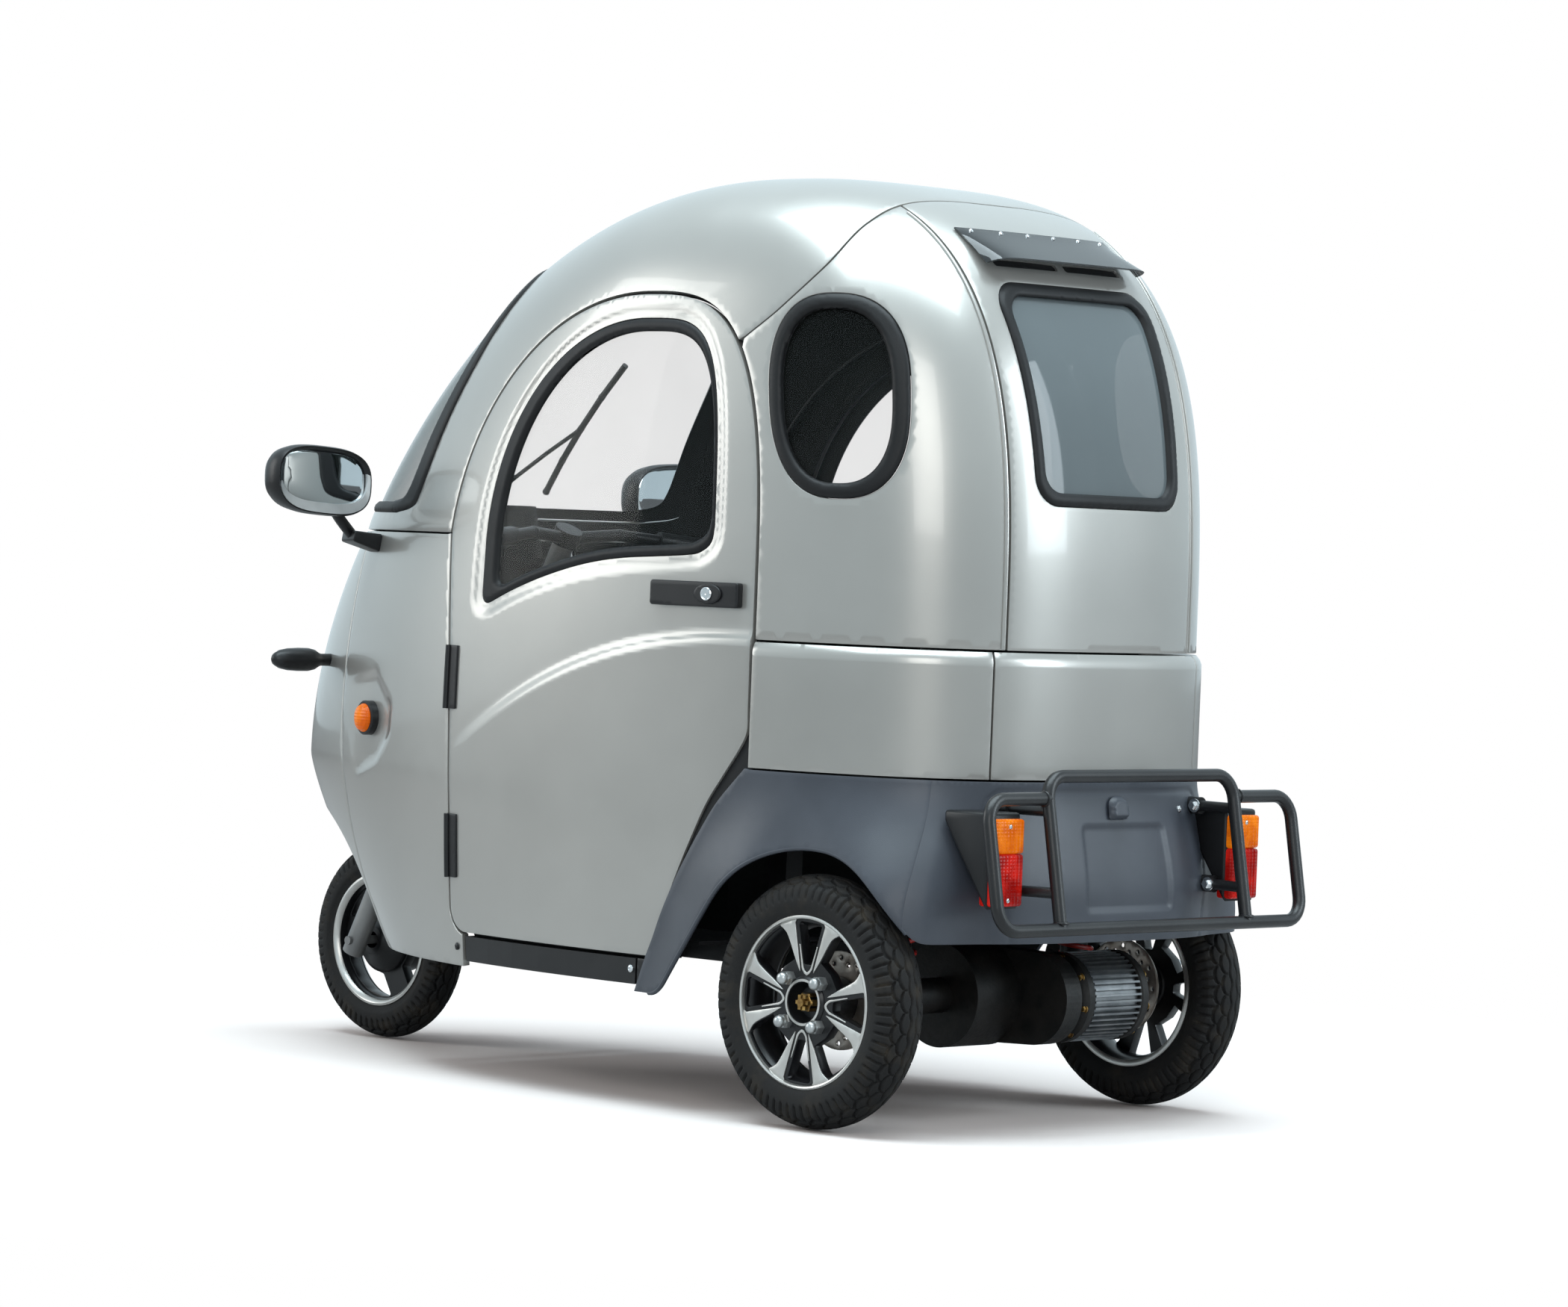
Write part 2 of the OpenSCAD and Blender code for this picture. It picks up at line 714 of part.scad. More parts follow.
// Door hinges: barrels and pins stand on the nose panels, the middle barrels on the doors
hinge_ahead = 11;
hinge_x = door_foot_x + hinge_ahead;
hinge_in = 23;
hinge_y = half_width - hinge_in;
hinge_levels = [hinge_low_z, hinge_top_z];
hinge_third = hinge_len / 3;
arm_room = 3;
leaf_len = 30;
leaf_deep = 34;
leaf_lap = 3;
leaf_back = 2;
post_room = 6;
module hinge_posts() {
    color(dark)
        from_axle()
            for (z = hinge_levels)
                translate([hinge_x, hinge_y, z]) {
                    cylinder(h = hinge_len, r = pin_r, center = true);
                    for (end = [-1, 1])
                        translate([0, 0, end * hinge_third]) {
                            cylinder(h = hinge_third, r = barrel_r, center = true);
                            translate([barrel_r - leaf_lap, -leaf_deep, -hinge_third / 2])
                                cube([leaf_len - barrel_r + leaf_lap, leaf_deep - leaf_back, hinge_third]);
                        }
                }
}
module hinge_arms() {
    arm = hinge_third - eps;
    color(dark)
        from_axle()
            for (z = hinge_levels)
                translate([hinge_x, hinge_y, z])
                    difference() {
                        union() {
                            cylinder(h = arm, r = barrel_r, center = true);
                            translate([-leaf_len, -leaf_deep, -arm / 2])
                                cube([leaf_len - barrel_r + leaf_lap, leaf_deep - leaf_back, arm]);
                        }
                        cylinder(h = 2 * arm, r = pin_r + run_clear, center = true);
                    }
}

// Doors: the lower part stands out below a crease that falls and fades towards the front
crease_power = 2.23;
function crease_share(x) = max(0, min(1, (x - door_rear_x) / (door_foot_x - door_rear_x)));
function crease_z(x) = band_top_z - crease_fall * pow(crease_share(x), crease_power);
function crease_out(x) = band_out * (1 - pow(crease_share(x), 2));
low_shares = [0, 0.35, 0.7, 1];
high_shares = [0, 0.17, 0.34, 0.5, 0.64, 0.77, 0.87, 0.94, 1];
door_edge = 15;
door_under = 8;
door_foot_z = door_low_z - door_under;
door_over = 12;
door_head_z = arch_z + arch_rise + door_over;
function door_points(x, off) =
    let (crease = crease_z(x))
    let (ledge = crease + crease_h)
    concat(
        [for (s = low_shares) on_side(x, door_foot_z + s * (crease - door_foot_z), off + s * crease_out(x))],
        [for (s = high_shares) on_side(x, ledge + s * (door_head_z - ledge), off)]);
function inner_points(x) =
    let (crease = crease_z(x))
    let (ledge = crease + crease_h)
    concat(
        [for (s = low_shares) on_side(x, door_foot_z + s * (crease - door_foot_z), -door_t)],
        [for (s = high_shares) on_side(x, ledge + s * (door_head_z - ledge), -door_t)]);
module door_left() {
    xs = steps(door_front_x + door_edge, door_rear_x - door_edge, 12);
    color(paint)
        from_axle()
            difference() {
                intersection() {
                    skin([for (x = xs) door_points(x, 0)], [for (x = xs) inner_points(x)]);
                    through_y(0, far)
                        door_outline(0);
                }
                through_y(0, far)
                    pane_outline(0);
                for (z = hinge_levels, end = [-1, 1])
                    translate([hinge_x - leaf_len / 2 - door_gap, hinge_y - leaf_deep - wall_t,
                            z + end * hinge_third - hinge_third / 2 - post_room])
                        cube([2 * leaf_len + door_gap, leaf_deep + wall_t, hinge_third + post_room + eps]);
            }
    color(rubber)
        from_axle()
            side_wall(door_rear_x + handle_set, door_rear_x + handle_set + handle_len,
                steps(handle_z - handle_h / 2, handle_z + handle_h / 2, 2), 4, handle_out, -handle_sink);
    hinge_arms();
}
handle_set = 28;
handle_sink = 4;
module door_right() {
    mirror([0, 1, 0])
        door_left();
}
pane_depth = 10;
pane_margin = 12;
pane_levels = crowd(pane_z - pane_drop - pane_margin, pane_z + pane_rise + pane_margin / 2, 8);
module door_left_pane() {
    color(glass)
        from_axle()
            intersection() {
                side_wall(pane_rear_x - pane_margin, arch_x + pane_front + pane_margin, pane_levels, 8,
                    -pane_depth, -pane_depth - pane_t);
                through_y(0, far)
                    pane_outline(clear);
            }
}
module door_right_pane() {
    mirror([0, 1, 0])
        door_left_pane();
}

// Glass of the body and its rubber
glass_depth = 6;
seal_out = 5;
seal_in = 18;
slice_room = 12;
module screen_slice(out, in) {
    brow_wall(screen_half + slice_room / 2, crowd(screen_low - slice_room, screen_top + slice_room, 8), 20, out, in);
}
module windscreen() {
    color(glass)
        from_axle()
            intersection() {
                screen_slice(-glass_depth, -glass_depth - pane_t);
                through_x(wide_x, wide_x + far)
                    screen_outline(seal_w + clear);
            }
}
module screen_seal() {
    color(rubber)
        from_axle()
            intersection() {
                screen_slice(seal_out, -seal_in);
                through_x(wide_x, wide_x + far)
                    difference() {
                        screen_outline(clear);
                        screen_outline(seal_w);
                    }
            }
}
module tail_slice(out, in) {
    tail_wall(-tail_half, tail_half, crowd(tail_pane_low - slice_room, tail_pane_top + slice_room, 6), 8, out, in);
}
module port_slice(out, in) {
    reach = port_half + port_lean_share * port_rise + slice_room;
    corner_wall(tail_half + slice_room, port_x + reach,
        crowd(port_z - port_rise - slice_room, port_z + port_rise + slice_room, 7), 10, out, in);
}
module rear_panes() {
    color(glass)
        from_axle() {
            intersection() {
                tail_slice(-glass_depth, -glass_depth - pane_t);
                through_x(-far, wide_x)
                    tail_pane_outline(seal_w + clear);
            }
            both_sides()
                intersection() {
                    port_slice(-glass_depth, -glass_depth - pane_t);
                    through_y(0, far)
                        port_outline(seal_w + clear);
                }
        }
}
module rear_seals() {
    color(rubber)
        from_axle() {
            intersection() {
                tail_slice(seal_out, -seal_in);
                through_x(-far, wide_x)
                    difference() {
                        tail_pane_outline(clear);
                        tail_pane_outline(seal_w);
                    }
            }
            both_sides()
                intersection() {
                    port_slice(seal_out, -seal_in);
                    through_y(0, far)
                        difference() {
                            port_outline(clear);
                            port_outline(seal_w);
                        }
                }
        }
}

// Fenders, tail valance and sills
fender_step = 62;
fender_levels = concat([body_low_z], crowd(valance_low - fender_step, band_low_z - panel_gap, 5));
valance_levels = crowd(valance_low, band_low_z - panel_gap, 4);
flare_h = 130;
fender_t = 18;
function flare_at(z) = band_out + (flare - band_out) * min(1, (band_low_z - z) / flare_h);
module fender_left() {
    color(dark)
        from_axle()
            difference() {
                skin([for (z = fender_levels)
                        let (o = flare_at(z))
                        [for (s = steps(at_tail(fender_half, z, o), at_x(fender_foot_x, z, o), 12)) around(s, z, o)]],
                    [for (z = fender_levels)
                        let (o = flare_at(z) - fender_t)
                        [for (s = steps(at_tail(fender_half, z, o), at_x(fender_foot_x, z, o), 12)) around(s, z, o)]]);
                through_y(0, far)
                    difference() {
                        translate([-far, 0])
                            square(2 * far);
                        union() {
                            fender_lead(0);
                            translate([-far, 0])
                                square([far, far]);
                        }
                    }
                translate([0, 0, rear_r])
                    rotate([90, 0, 0])
                        cylinder(h = far, r = arch_r, center = true);
                translate([-far, 0, 0])
                    cube([far, far, valance_low]);
            }
}
module fender_right() {
    mirror([0, 1, 0])
        fender_left();
}
plate_y = -20;
plate_z = 443;
plate_deep = 7;
bolt_z = 490;
module tail_valance() {
    y = fender_half - panel_gap;
    tail_x = wide_x - tail_reach - flare;
    color(dark)
        from_axle()
            difference() {
                skin([for (z = valance_levels)
                        let (o = flare_at(z))
                        [for (k = steps(-y, y, 8)) around(sign(k + clear) * at_tail(abs(k), z, o), z, o)]],
                    [for (z = valance_levels)
                        let (o = flare_at(z) - fender_t)
                        [for (k = steps(-y, y, 8)) around(sign(k + clear) * at_tail(abs(k), z, o), z, o)]]);
                translate([tail_x, plate_y, plate_z])
                    cube([2 * plate_deep, plate_w, plate_h], center = true);
                for (side = [-1, 1])
                    translate([tail_x, side * plate_bolts / 2, bolt_z])
                        rotate([0, 90, 0])
                            cylinder(h = 6 * fender_t, r = plate_hole_r, center = true);
            }
}
sill_set = 2;
sill_deep = 30;
sill_rise = 10;
sill_low = body_low_z + sill_rise;
sill_bracket_len = 40;
sill_bracket_t = 9;
module sills() {
    foot = fender_foot_x + door_gap;
    ends = door_foot_x - door_corner + sill_set;
    top = door_low_z - door_gap - eps;
    color(dark)
        both_sides()
            from_axle() {
                side_wall(foot, ends, steps(sill_low, top, 2), 6, -sill_set, -sill_deep);
                for (x = [foot + 2 * sill_bracket_len, ends - 2 * sill_bracket_len])
                    let (reach = on_side(x, top, -sill_deep)[1] + sill_deep / 2)
                    translate([x, rail_y + tube / 2 + clear, rail_z - sill_set])
                        cube([sill_bracket_len, reach - rail_y - tube / 2, sill_bracket_t]);
            }
}

// What lies inside the body's outer face, for pieces that sit on it
core_in = 150;
module core(x0, x1, z0, z1) {
    side_wall(x0, x1, steps(z0, z1, 2), 8, clear, -core_in);
}
module valance_core(z0, z1) {
    levels = [z0, z1];
    y = fender_half - panel_gap;
    skin([for (z = levels)
            let (o = flare_at(z) + clear)
            [for (k = steps(-y, y, 8)) around(sign(k + clear) * at_tail(abs(k), z, o), z, o)]],
        [for (z = levels) [for (k = steps(-y, y, 8)) around(sign(k + clear) * at_tail(abs(k), z, -core_in), z, -core_in)]]);
}
module valance_block() {
    y = fender_half - panel_gap;
    rows = [for (z = valance_levels)
        let (o = flare_at(z) + clear)
        [for (k = steps(-y, y, 8)) around(sign(k + clear) * at_tail(abs(k), z, o), z, o)]];
    skin(rows, [for (row = rows) [for (p = row) p + [core_in, 0, 0]]]);
}
// The room inside a fender's wall
module fender_inside() {
    skin([for (z = fender_levels)
            let (o = flare_at(z) - fender_t - clear)
            [for (s = steps(at_tail(fender_half, z, o), at_x(fender_foot_x, z, o), 12)) around(s, z, o)]],
        [for (z = fender_levels)
            [for (s = steps(at_tail(fender_half, z, -core_in), at_x(fender_foot_x, z, -core_in), 12))
                around(s, z, -core_in)]]);
}

// Lamps
lamp_deep = 50;
lamp_set = 36;
lamp_rim = 8;
bowl_share = 0.4;
module lamp_at() {
    translate([wide_x + nose_reach - lamp_set, 0, headlamp_z])
        rotate([0, 90, 0])
            children();
}
module headlamp() {
    color(metal)
        from_axle()
            lamp_at() {
                difference() {
                    cylinder(h = lamp_deep, r = lamp_r, center = true);
                    translate([0, 0, lamp_deep / 2])
                        cylinder(h = lamp_deep, r = lamp_r - lamp_rim, center = true);
                }
                translate([0, 0, -lamp_deep / 5])
                    scale([1, 1, bowl_share])
                        sphere(r = lamp_r - lamp_rim - 2 * eps);
            }
}
lamp_stand = 62;
lamp_x = -tail_back - lamp_stand;
lens_t = 8;
pod_rim = 6;
red_share = 0.53;
pod_inner_y = lamp_y - lamp_w / 2 - pod_rim;
module tail_lamps() {
    color(dark)
        from_axle()
            difference() {
                both_sides()
                    translate([lamp_x + lens_t, pod_inner_y, lamp_z - pod_rim])
                        cube([core_in, fender_half - 2 * panel_gap - pod_inner_y, lamp_h + 2 * pod_rim]);
                valance_block();
            }
    both_sides()
        from_axle() {
            color(red)
                translate([lamp_x, lamp_y - lamp_w / 2, lamp_z])
                    cube([lens_t, lamp_w, red_share * lamp_h]);
            color(amber)
                translate([lamp_x, lamp_y - lamp_w / 2, lamp_z + red_share * lamp_h])
                    cube([lens_t, lamp_w, (1 - red_share) * lamp_h]);
        }
}
// Amber side markers on the nose, and bullet signals on short stalks ahead of them
marker_set = 294;
marker_x = wheelbase - marker_set;
marker_z = 617;
marker_yaw = 70;
marker_base = 24;
marker_lens = 10;
signal_set = 81;
signal_x = wheelbase - signal_set;
signal_y = 225;
signal_z = 713;
signal_r = 25;
stalk_r = 12;
bullet_share = 0.37;
tip_share = 0.7;
module front_signals() {
    both_sides()
        from_axle() {
            difference() {
                translate(on_side(marker_x, marker_z, 0))
                    rotate([0, 90, marker_yaw]) {
                        color(rubber)
                            cylinder(h = marker_base, r = marker_r, center = true);
                        color(amber)
                            translate([0, 0, marker_base / 2 - eps])
                                cylinder(h = marker_lens, r1 = marker_r - pod_rim, r2 = marker_r - 2 * pod_rim);
                    }
                core(marker_x - core_in, marker_x + core_in * 2 / 3, marker_z - 2 * marker_r - pod_rim,
                    marker_z + 2 * marker_r + pod_rim);
            }
            difference() {
                translate([signal_x, signal_y, signal_z])
                    rotate([-90, 0, 0])
                        color(rubber) {
                            cylinder(h = signal_len * (1 - bullet_share), r = stalk_r);
                            translate([0, 0, signal_len * (1 - bullet_share)])
                                cylinder(h = signal_len * bullet_share, r1 = signal_r, r2 = tip_share * signal_r);
                        }
                core(signal_x - core_in * 2 / 3, signal_x + core_in * 2 / 3, signal_z - 2 * signal_r,
                    signal_z + 2 * signal_r);
            }
        }
}

// Mirrors: a flat-backed head on a bent arm that stands on the nose's shoulder
mirror_set = 249;
mirror_x = wheelbase - mirror_set;
mirror_t = 26;
mirror_back_t = 20;
mirror_inset = 16;
mirror_tilt = 6;
arm_r = 9;
knee_set = 239;
knee_y = 352;
knee_drop = 10;
arm_knee = [wheelbase - knee_set, knee_y, cowl_z - knee_drop];
foot_set = 217;
foot_y = 262;
foot_drop = 33;
arm_foot = [wheelbase - foot_set, foot_y, cowl_z - foot_drop];
neck_set = 245;
neck_y = 410;
neck_rise = 55;
arm_head = [wheelbase - neck_set, neck_y, cowl_z + neck_rise];
module mirror_outline(inset) {
    r = mirror_h / 2 - mirror_tilt;
    hull()
        for (side = [-1, 1])
            translate([mirror_y + side * (mirror_len / 2 - r), mirror_z + side * mirror_tilt])
                circle(r - inset, $fn = 24);
}
module mirrors() {
    color(rubber)
        both_sides()
            from_axle() {
                difference() {
                    rod(arm_foot, arm_knee, arm_r + 4 * eps);
                    core(arm_foot[0] - core_in * 2 / 3, arm_foot[0] + arm_r * 6, cowl_z - core_in / 2, cowl_z - eps);
                }
                translate(arm_knee)
                    sphere(r = arm_r + 6 * eps);
                rod(arm_knee, arm_head, arm_r);
                through_x(mirror_x - mirror_t / 2, mirror_x + mirror_t / 2)
                    mirror_outline(0);
                through_x(mirror_x + mirror_t / 2, mirror_x + mirror_t / 2 + mirror_back_t)
                    mirror_outline(mirror_inset);
            }
}
wiper_y = -110;
wiper_rise = 16;
wiper_z = cowl_z + wiper_rise;
blade_y = -215;
blade_rise = 52;
blade_low = screen_low + blade_rise;
blade_len = 240;
blade_links = 4;
blade_r = 6;
wiper_lift = 15;
wiper_arm_r = 4;
spindle_r = 9;
spindle_seat = 0.9;
module wiper() {
    arm_top = blade_low + blade_len / 2;
    link = blade_len / blade_links;
    color(rubber)
        from_axle() {
            difference() {
                rod(on_nose(wiper_y, wiper_z, -2 * wiper_lift), on_nose(wiper_y, wiper_z, wiper_lift + wiper_arm_r), spindle_r);
                within(cowl_z - spindle_r, wiper_z + 4 * spindle_r, -spindle_seat);
            }
            for (k = [0 : 3])
                let (a = k / 4)
                let (b = (k + 1) / 4) {
                    rod(on_nose(wiper_y + a * (blade_y - wiper_y), wiper_z + a * (arm_top - wiper_z), wiper_lift),
                        on_nose(wiper_y + b * (blade_y - wiper_y), wiper_z + b * (arm_top - wiper_z), wiper_lift),
                        wiper_arm_r);
                    translate(on_nose(wiper_y + b * (blade_y - wiper_y), wiper_z + b * (arm_top - wiper_z), wiper_lift))
                        sphere(r = wiper_arm_r + eps / 2);
                }
            for (k = [0 : blade_links - 1]) {
                rod(on_nose(blade_y, blade_low + k * link, wiper_lift), on_nose(blade_y, blade_low + (k + 1) * link, wiper_lift),
                    blade_r);
                translate(on_nose(blade_y, blade_low + k * link, wiper_lift))
                    sphere(r = blade_r + eps);
            }
        }
}

// Rear rack of bent tube, in one plane that leans towards the tail
arm_rise = 58;
arm_low_z = rack_low_z + arm_rise;
arm_drop = 20;
arm_top_z = rack_side_z - arm_drop;
rack_step = 2;
rack_arm_r = rack_r - rack_step;
module elbow(x, y, turn) {
    translate([x, y, 0])
        rotate([0, 0, turn])
            rotate_extrude(angle = 90)
                translate([rack_bend, 0])
                    circle(rack_r - clear);
}
module straight(x, y, turn, len) {
    translate([x, y, 0])
        rotate([0, 0, turn])
            rotate([90, 0, 0])
                cylinder(h = len + 2 * eps, r = rack_r, center = true);
}
module rear_rack() {
    x = rack_r - tail_back - rack_back;
    slope = atan2(rack_lean, rack_top_z - rack_low_z);
    side_h = (rack_side_z - rack_low_z) / cos(slope);
    top_h = (rack_top_z - rack_low_z) / cos(slope);
    color(rubber)
        from_axle() {
            translate([x, 0, rack_low_z])
                rotate([0, slope, 0])
                    rotate([90, 0, 90]) {
                        straight(0, 0, 90, 2 * (rack_half - rack_bend));
                        straight(0, top_h, 90, 2 * (upright_half - rack_bend));
                        for (side = [-1, 1]) {
                            elbow(side * (rack_half - rack_bend), rack_bend, side > 0 ? -90 : 180);
                            elbow(side * (rack_half - rack_bend), side_h - rack_bend, side > 0 ? 0 : 90);
                            elbow(side * (upright_half - rack_bend), top_h - rack_bend, side > 0 ? 0 : 90);
                            straight(side * rack_half, side_h / 2, 0, side_h - 2 * rack_bend);
                            straight(side * (rack_half - rack_bend + upright_half) / 2, side_h, 90,
                                rack_half - rack_bend - upright_half);
                            straight(side * upright_half, (top_h - rack_bend) / 2, 0, top_h - rack_bend);
                        }
                    }
            for (side = [-1, 1], z = [arm_low_z, arm_top_z])
                difference() {
                    rod([x + (z - rack_low_z) * tan(slope), side * upright_half, z],
                        [-tail_back, side * upright_half, z], rack_arm_r);
                    valance_core(z - 3 * rack_r, z + 3 * rack_r);
                }
        }
}

// Inside
dash_set = 355;
dash_x = wheelbase - dash_set;
dash_len = 90;
dash_z = 700;
dash_h = 215;
dash_seat = 0.3;
pod_set = 260;
pod_sink = 35;
slot_drop = 50;
pod_x = wheelbase - pod_set;
pod_r = 84;
pod_h = 130;
pod_share = 0.74;
column_slot_w = 110;
column_slot_len = 115;
column_slot_h = 240;
module dashboard() {
    color(rubber)
        from_axle()
            difference() {
                intersection() {
                    union() {
                        translate([dash_x, -dash_half, dash_z])
                            cube([dash_len, 2 * dash_half, dash_h]);
                        translate([pod_x, 0, dash_z + dash_h - pod_sink])
                            cylinder(h = pod_h, r1 = pod_r, r2 = pod_share * pod_r);
                    }
                    within(dash_z - core_in, cowl_z + core_in, dash_seat - wall_t);
                }
                translate([dash_x - dash_len / 3, -column_slot_w / 2, dash_z - slot_drop])
                    cube([column_slot_len, column_slot_w, column_slot_h]);
            }
}
cushion_h = 80;
back_t = 70;
back_lean = 10;
seat_x = 400;
module driver_seat() {
    color(rubber)
        from_axle() {
            translate([seat_x, -seat_w / 2, seat_z])
                cube([seat_len, seat_w, cushion_h]);
            translate([seat_x, -seat_w / 2, seat_z + cushion_h * 5 / 8])
                rotate([0, -back_lean, 0])
                    cube([back_t, seat_w, seat_back_h]);
        }
}
bench_ahead = 134;
bench_x = -tail_back + bench_ahead;
bench_h = 140;
bench_lean = 4;
bench_set = 14;
bench_back_t = 60;
module rear_bench() {
    color(rubber)
        from_axle() {
            translate([bench_x, -bench_w / 2, kick_z + tube + clear])
                cube([bench_len, bench_w, bench_h]);
            translate([bench_x + bench_set, -bench_w / 2 + bench_set, kick_z + tube + bench_h * 3 / 4])
                rotate([0, -bench_lean, 0])
                    cube([bench_back_t, bench_w - 2 * bench_set, seat_back_h]);
        }
}

// Frame with its floor
kick_x = 240;
frame_set = 104;
member_lap = 6;
floor_set = 5;
floor_short = 60;
frame_rear_x = -tail_back + frame_set;
frame_short = 365;
frame_front_x = wheelbase - frame_short;
frame_middle_x = 620;
head_at = 300;
head_wall = 14;
neck_r = 30;
module on_steer() {
    translate([wheelbase - fork_offset * cos(rake), 0, front_r - fork_offset * sin(rake)])
        rotate([0, -rake, 0])
            children();
}
module chassis() {
    inner = rail_y - tube / 2 - clear;
    color(dark)
        from_axle() {
            for (side = [-1, 1])
                translate([0, side * rail_y - tube / 2, 0]) {
                    translate([kick_x, 0, rail_z])
                        cube([frame_front_x - tube - clear - kick_x, tube, tube]);
                    translate([frame_rear_x + tube + clear, 0, kick_z])
                        cube([kick_x - frame_rear_x - clear, tube, tube]);
                    translate([kick_x, 0, rail_z])
                        cube([tube, tube, kick_z + tube - rail_z]);
                }
            for (at = [[kick_x, rail_z], [frame_middle_x, rail_z], [kick_x, kick_z]])
                translate([at[0], -inner, at[1]])
                    cube([tube, 2 * inner, tube]);
            intersection() {
                translate([frame_front_x - tube, -half_width, rail_z])
                    cube([tube, 2 * half_width, tube]);
                within(rail_z - tube, rail_z + 2 * tube, -wall_t - clear);
            }
            translate([frame_rear_x, -fender_half - member_lap, kick_z])
                cube([tube, 2 * (fender_half + member_lap), tube]);
            both_sides()
                intersection() {
                    translate([frame_rear_x, rail_y - tube, kick_z])
                        cube([tube, half_width - rail_y + tube, tube]);
                    fender_inside();
                }
            intersection() {
                translate([kick_x + tube + floor_set, -half_width, rail_z + tube + clear])
                    cube([frame_front_x - kick_x - tube - floor_short, 2 * half_width, floor_t - clear]);
                within(rail_z, rail_z + 3 * tube, -door_t - door_gap);
            }
            head();
        }
}
module head() {
    top = [wheelbase - fork_offset * cos(rake) - (head_at + head_len / 4) * sin(rake), 0,
        front_r - fork_offset * sin(rake) + (head_at + head_len / 4) * cos(rake)];
    difference() {
        union() {
            on_steer()
                translate([0, 0, head_at])
                    cylinder(h = head_len, r = column_r + head_wall);
            rod([frame_front_x - tube / 2, 0, rail_z + tube / 2], top, neck_r);
        }
        on_steer()
            translate([0, 0, head_at - 2 * neck_r])
                cylinder(h = head_len + 4 * neck_r, r = column_r + run_clear);
    }
}
battery_x = 430;
module battery_pack() {
    base = rail_z + tube + floor_t + clear;
    color([0.25, 0.25, 0.28])
        from_axle()
            translate([battery_x, -battery_w / 2, base])
                cube([battery_len, battery_w, seat_z - clear - base]);
}

// Steering: fork and handlebar
leg_r = 20;
leg_h = 300;
leg_foot = 26;
crown_at = 262;
crown_t = 30;
crown_len = 90;
crown_lap = 24;
bar_at = 880;
bar_r = 11;
grip_r = 17;
clamp_r = 26;
axle_r = 8;
bar_back_share = 0.28;
bar_up = 30;
module fork() {
    color(metal)
        from_axle()
            on_steer() {
                for (side = [-1, 1])
                    translate([fork_offset, side * fork_half, -leg_foot])
                        cylinder(h = leg_h, r = leg_r);
                translate([-neck_r, -fork_half - crown_lap, crown_at])
                    cube([crown_len, 2 * (fork_half + crown_lap), crown_t]);
                translate([0, 0, crown_at + eps])
                    cylinder(h = bar_at - bar_r - crown_at - eps - clear, r = column_r);
                translate([fork_offset, 0, 0])
                    rotate([90, 0, 0])
                        cylinder(h = 2 * (fork_half + leg_foot), r = axle_r, center = true);
            }
}
bend_share = 0.38;
neck_share = 0.65;
neck_back_share = 0.16;
module handlebar() {
    bend = [-bar_back_share * grip_half / 4, bend_share * grip_half, bar_up * 2 / 3];
    neck = [-neck_back_share * grip_half, neck_share * grip_half, bar_up * 5 / 6];
    tip = [-bar_back_share * grip_half, grip_half, bar_up];
    color(rubber)
        from_axle()
            on_steer()
                translate([0, 0, bar_at])
                    both_sides() {
                        translate([0, 0, -bar_r])
                            cylinder(h = bar_up, r = clamp_r);
                        rod([0, 0, 0], bend, bar_r);
                        translate(bend)
                            sphere(r = bar_r + eps);
                        rod(bend, neck, bar_r);
                        rod(neck, tip, grip_r);
                    }
}

// Wheels
crown_share = 0.42;
bead = 6;
wall_set = 10;
module tyre(r, w, lip_r) {
    crown = w * crown_share;
    rotate([90, 0, 0])
        rotate_extrude($fn = 64)
            difference() {
                hull() {
                    translate([r - crown, 0])
                        circle(crown);
                    translate([lip_r - bead, -w / 2 + wall_set])
                        square([4 * bead, w - 2 * wall_set]);
                }
                translate([0, -w])
                    square([lip_r - rim_t, 2 * w]);
            }
}
module barrel(lip_r, w) {
    difference() {
        cylinder(h = w, r = lip_r - rim_t - clear, center = true);
        cylinder(h = 2 * w, r = lip_r - 2 * rim_t, center = true);
    }
}
rim_inset = 13;
hub_t = 30;
hub_tube_r = 40;
hub_wall = 8;
spoke_set = 4;
module spoke() {
    inner = hub_r - 2 * rim_t;
    outer = rear_lip_r - rim_t * 3 / 2;
    linear_extrude(height = spoke_t)
        polygon([[inner, -spoke_w / 2], [outer, -spoke_flare / 2], [outer, spoke_flare / 2], [inner, spoke_w / 2]]);
}
module rear_rim() {
    w = rear_w - 2 * rim_inset;
    color(metal)
        rotate([90, 0, 0]) {
            barrel(rear_lip_r, w);
            translate([0, 0, -w / 2])
                difference() {
                    cylinder(h = hub_t, r = hub_r);
                    translate([0, 0, -eps])
                        cylinder(h = 2 * hub_t, r = axle_end_r);
                }
            translate([0, 0, w / 2 + hub_t / 2])
                difference() {
                    cylinder(h = disc_t, r = disc_r);
                    translate([0, 0, -eps])
                        cylinder(h = 2 * disc_t, r = hub_tube_r - hub_wall + eps);
                }
            difference() {
                translate([0, 0, -w / 2 + hub_t / 2])
                    cylinder(h = w + disc_t, r = hub_tube_r);
                cylinder(h = 4 * w, r = hub_tube_r - hub_wall, center = true);
            }
            for (k = [0 : spoke_pairs - 1], side = [-1, 1])
                rotate([0, 0, 360 * k / spoke_pairs + side * pair_angle / 2])
                    translate([0, 0, -w / 2 + spoke_set])
                        spoke();
        }
}
module rear_tyre() {
    color(rubber)
        tyre(rear_r, rear_w, rear_lip_r);
}
module rear_wheel_at(side) {
    from_axle()
        translate([0, side * track / 2, rear_r])
            rotate([0, 0, side < 0 ? 180 : 0])
                children();
}
module rear_tyre_left() {
    rear_wheel_at(1)
        rear_tyre();
}
module rear_tyre_right() {
    rear_wheel_at(-1)
        rear_tyre();
}
module rear_rim_left() {
    rear_wheel_at(1)
        rear_rim();
}
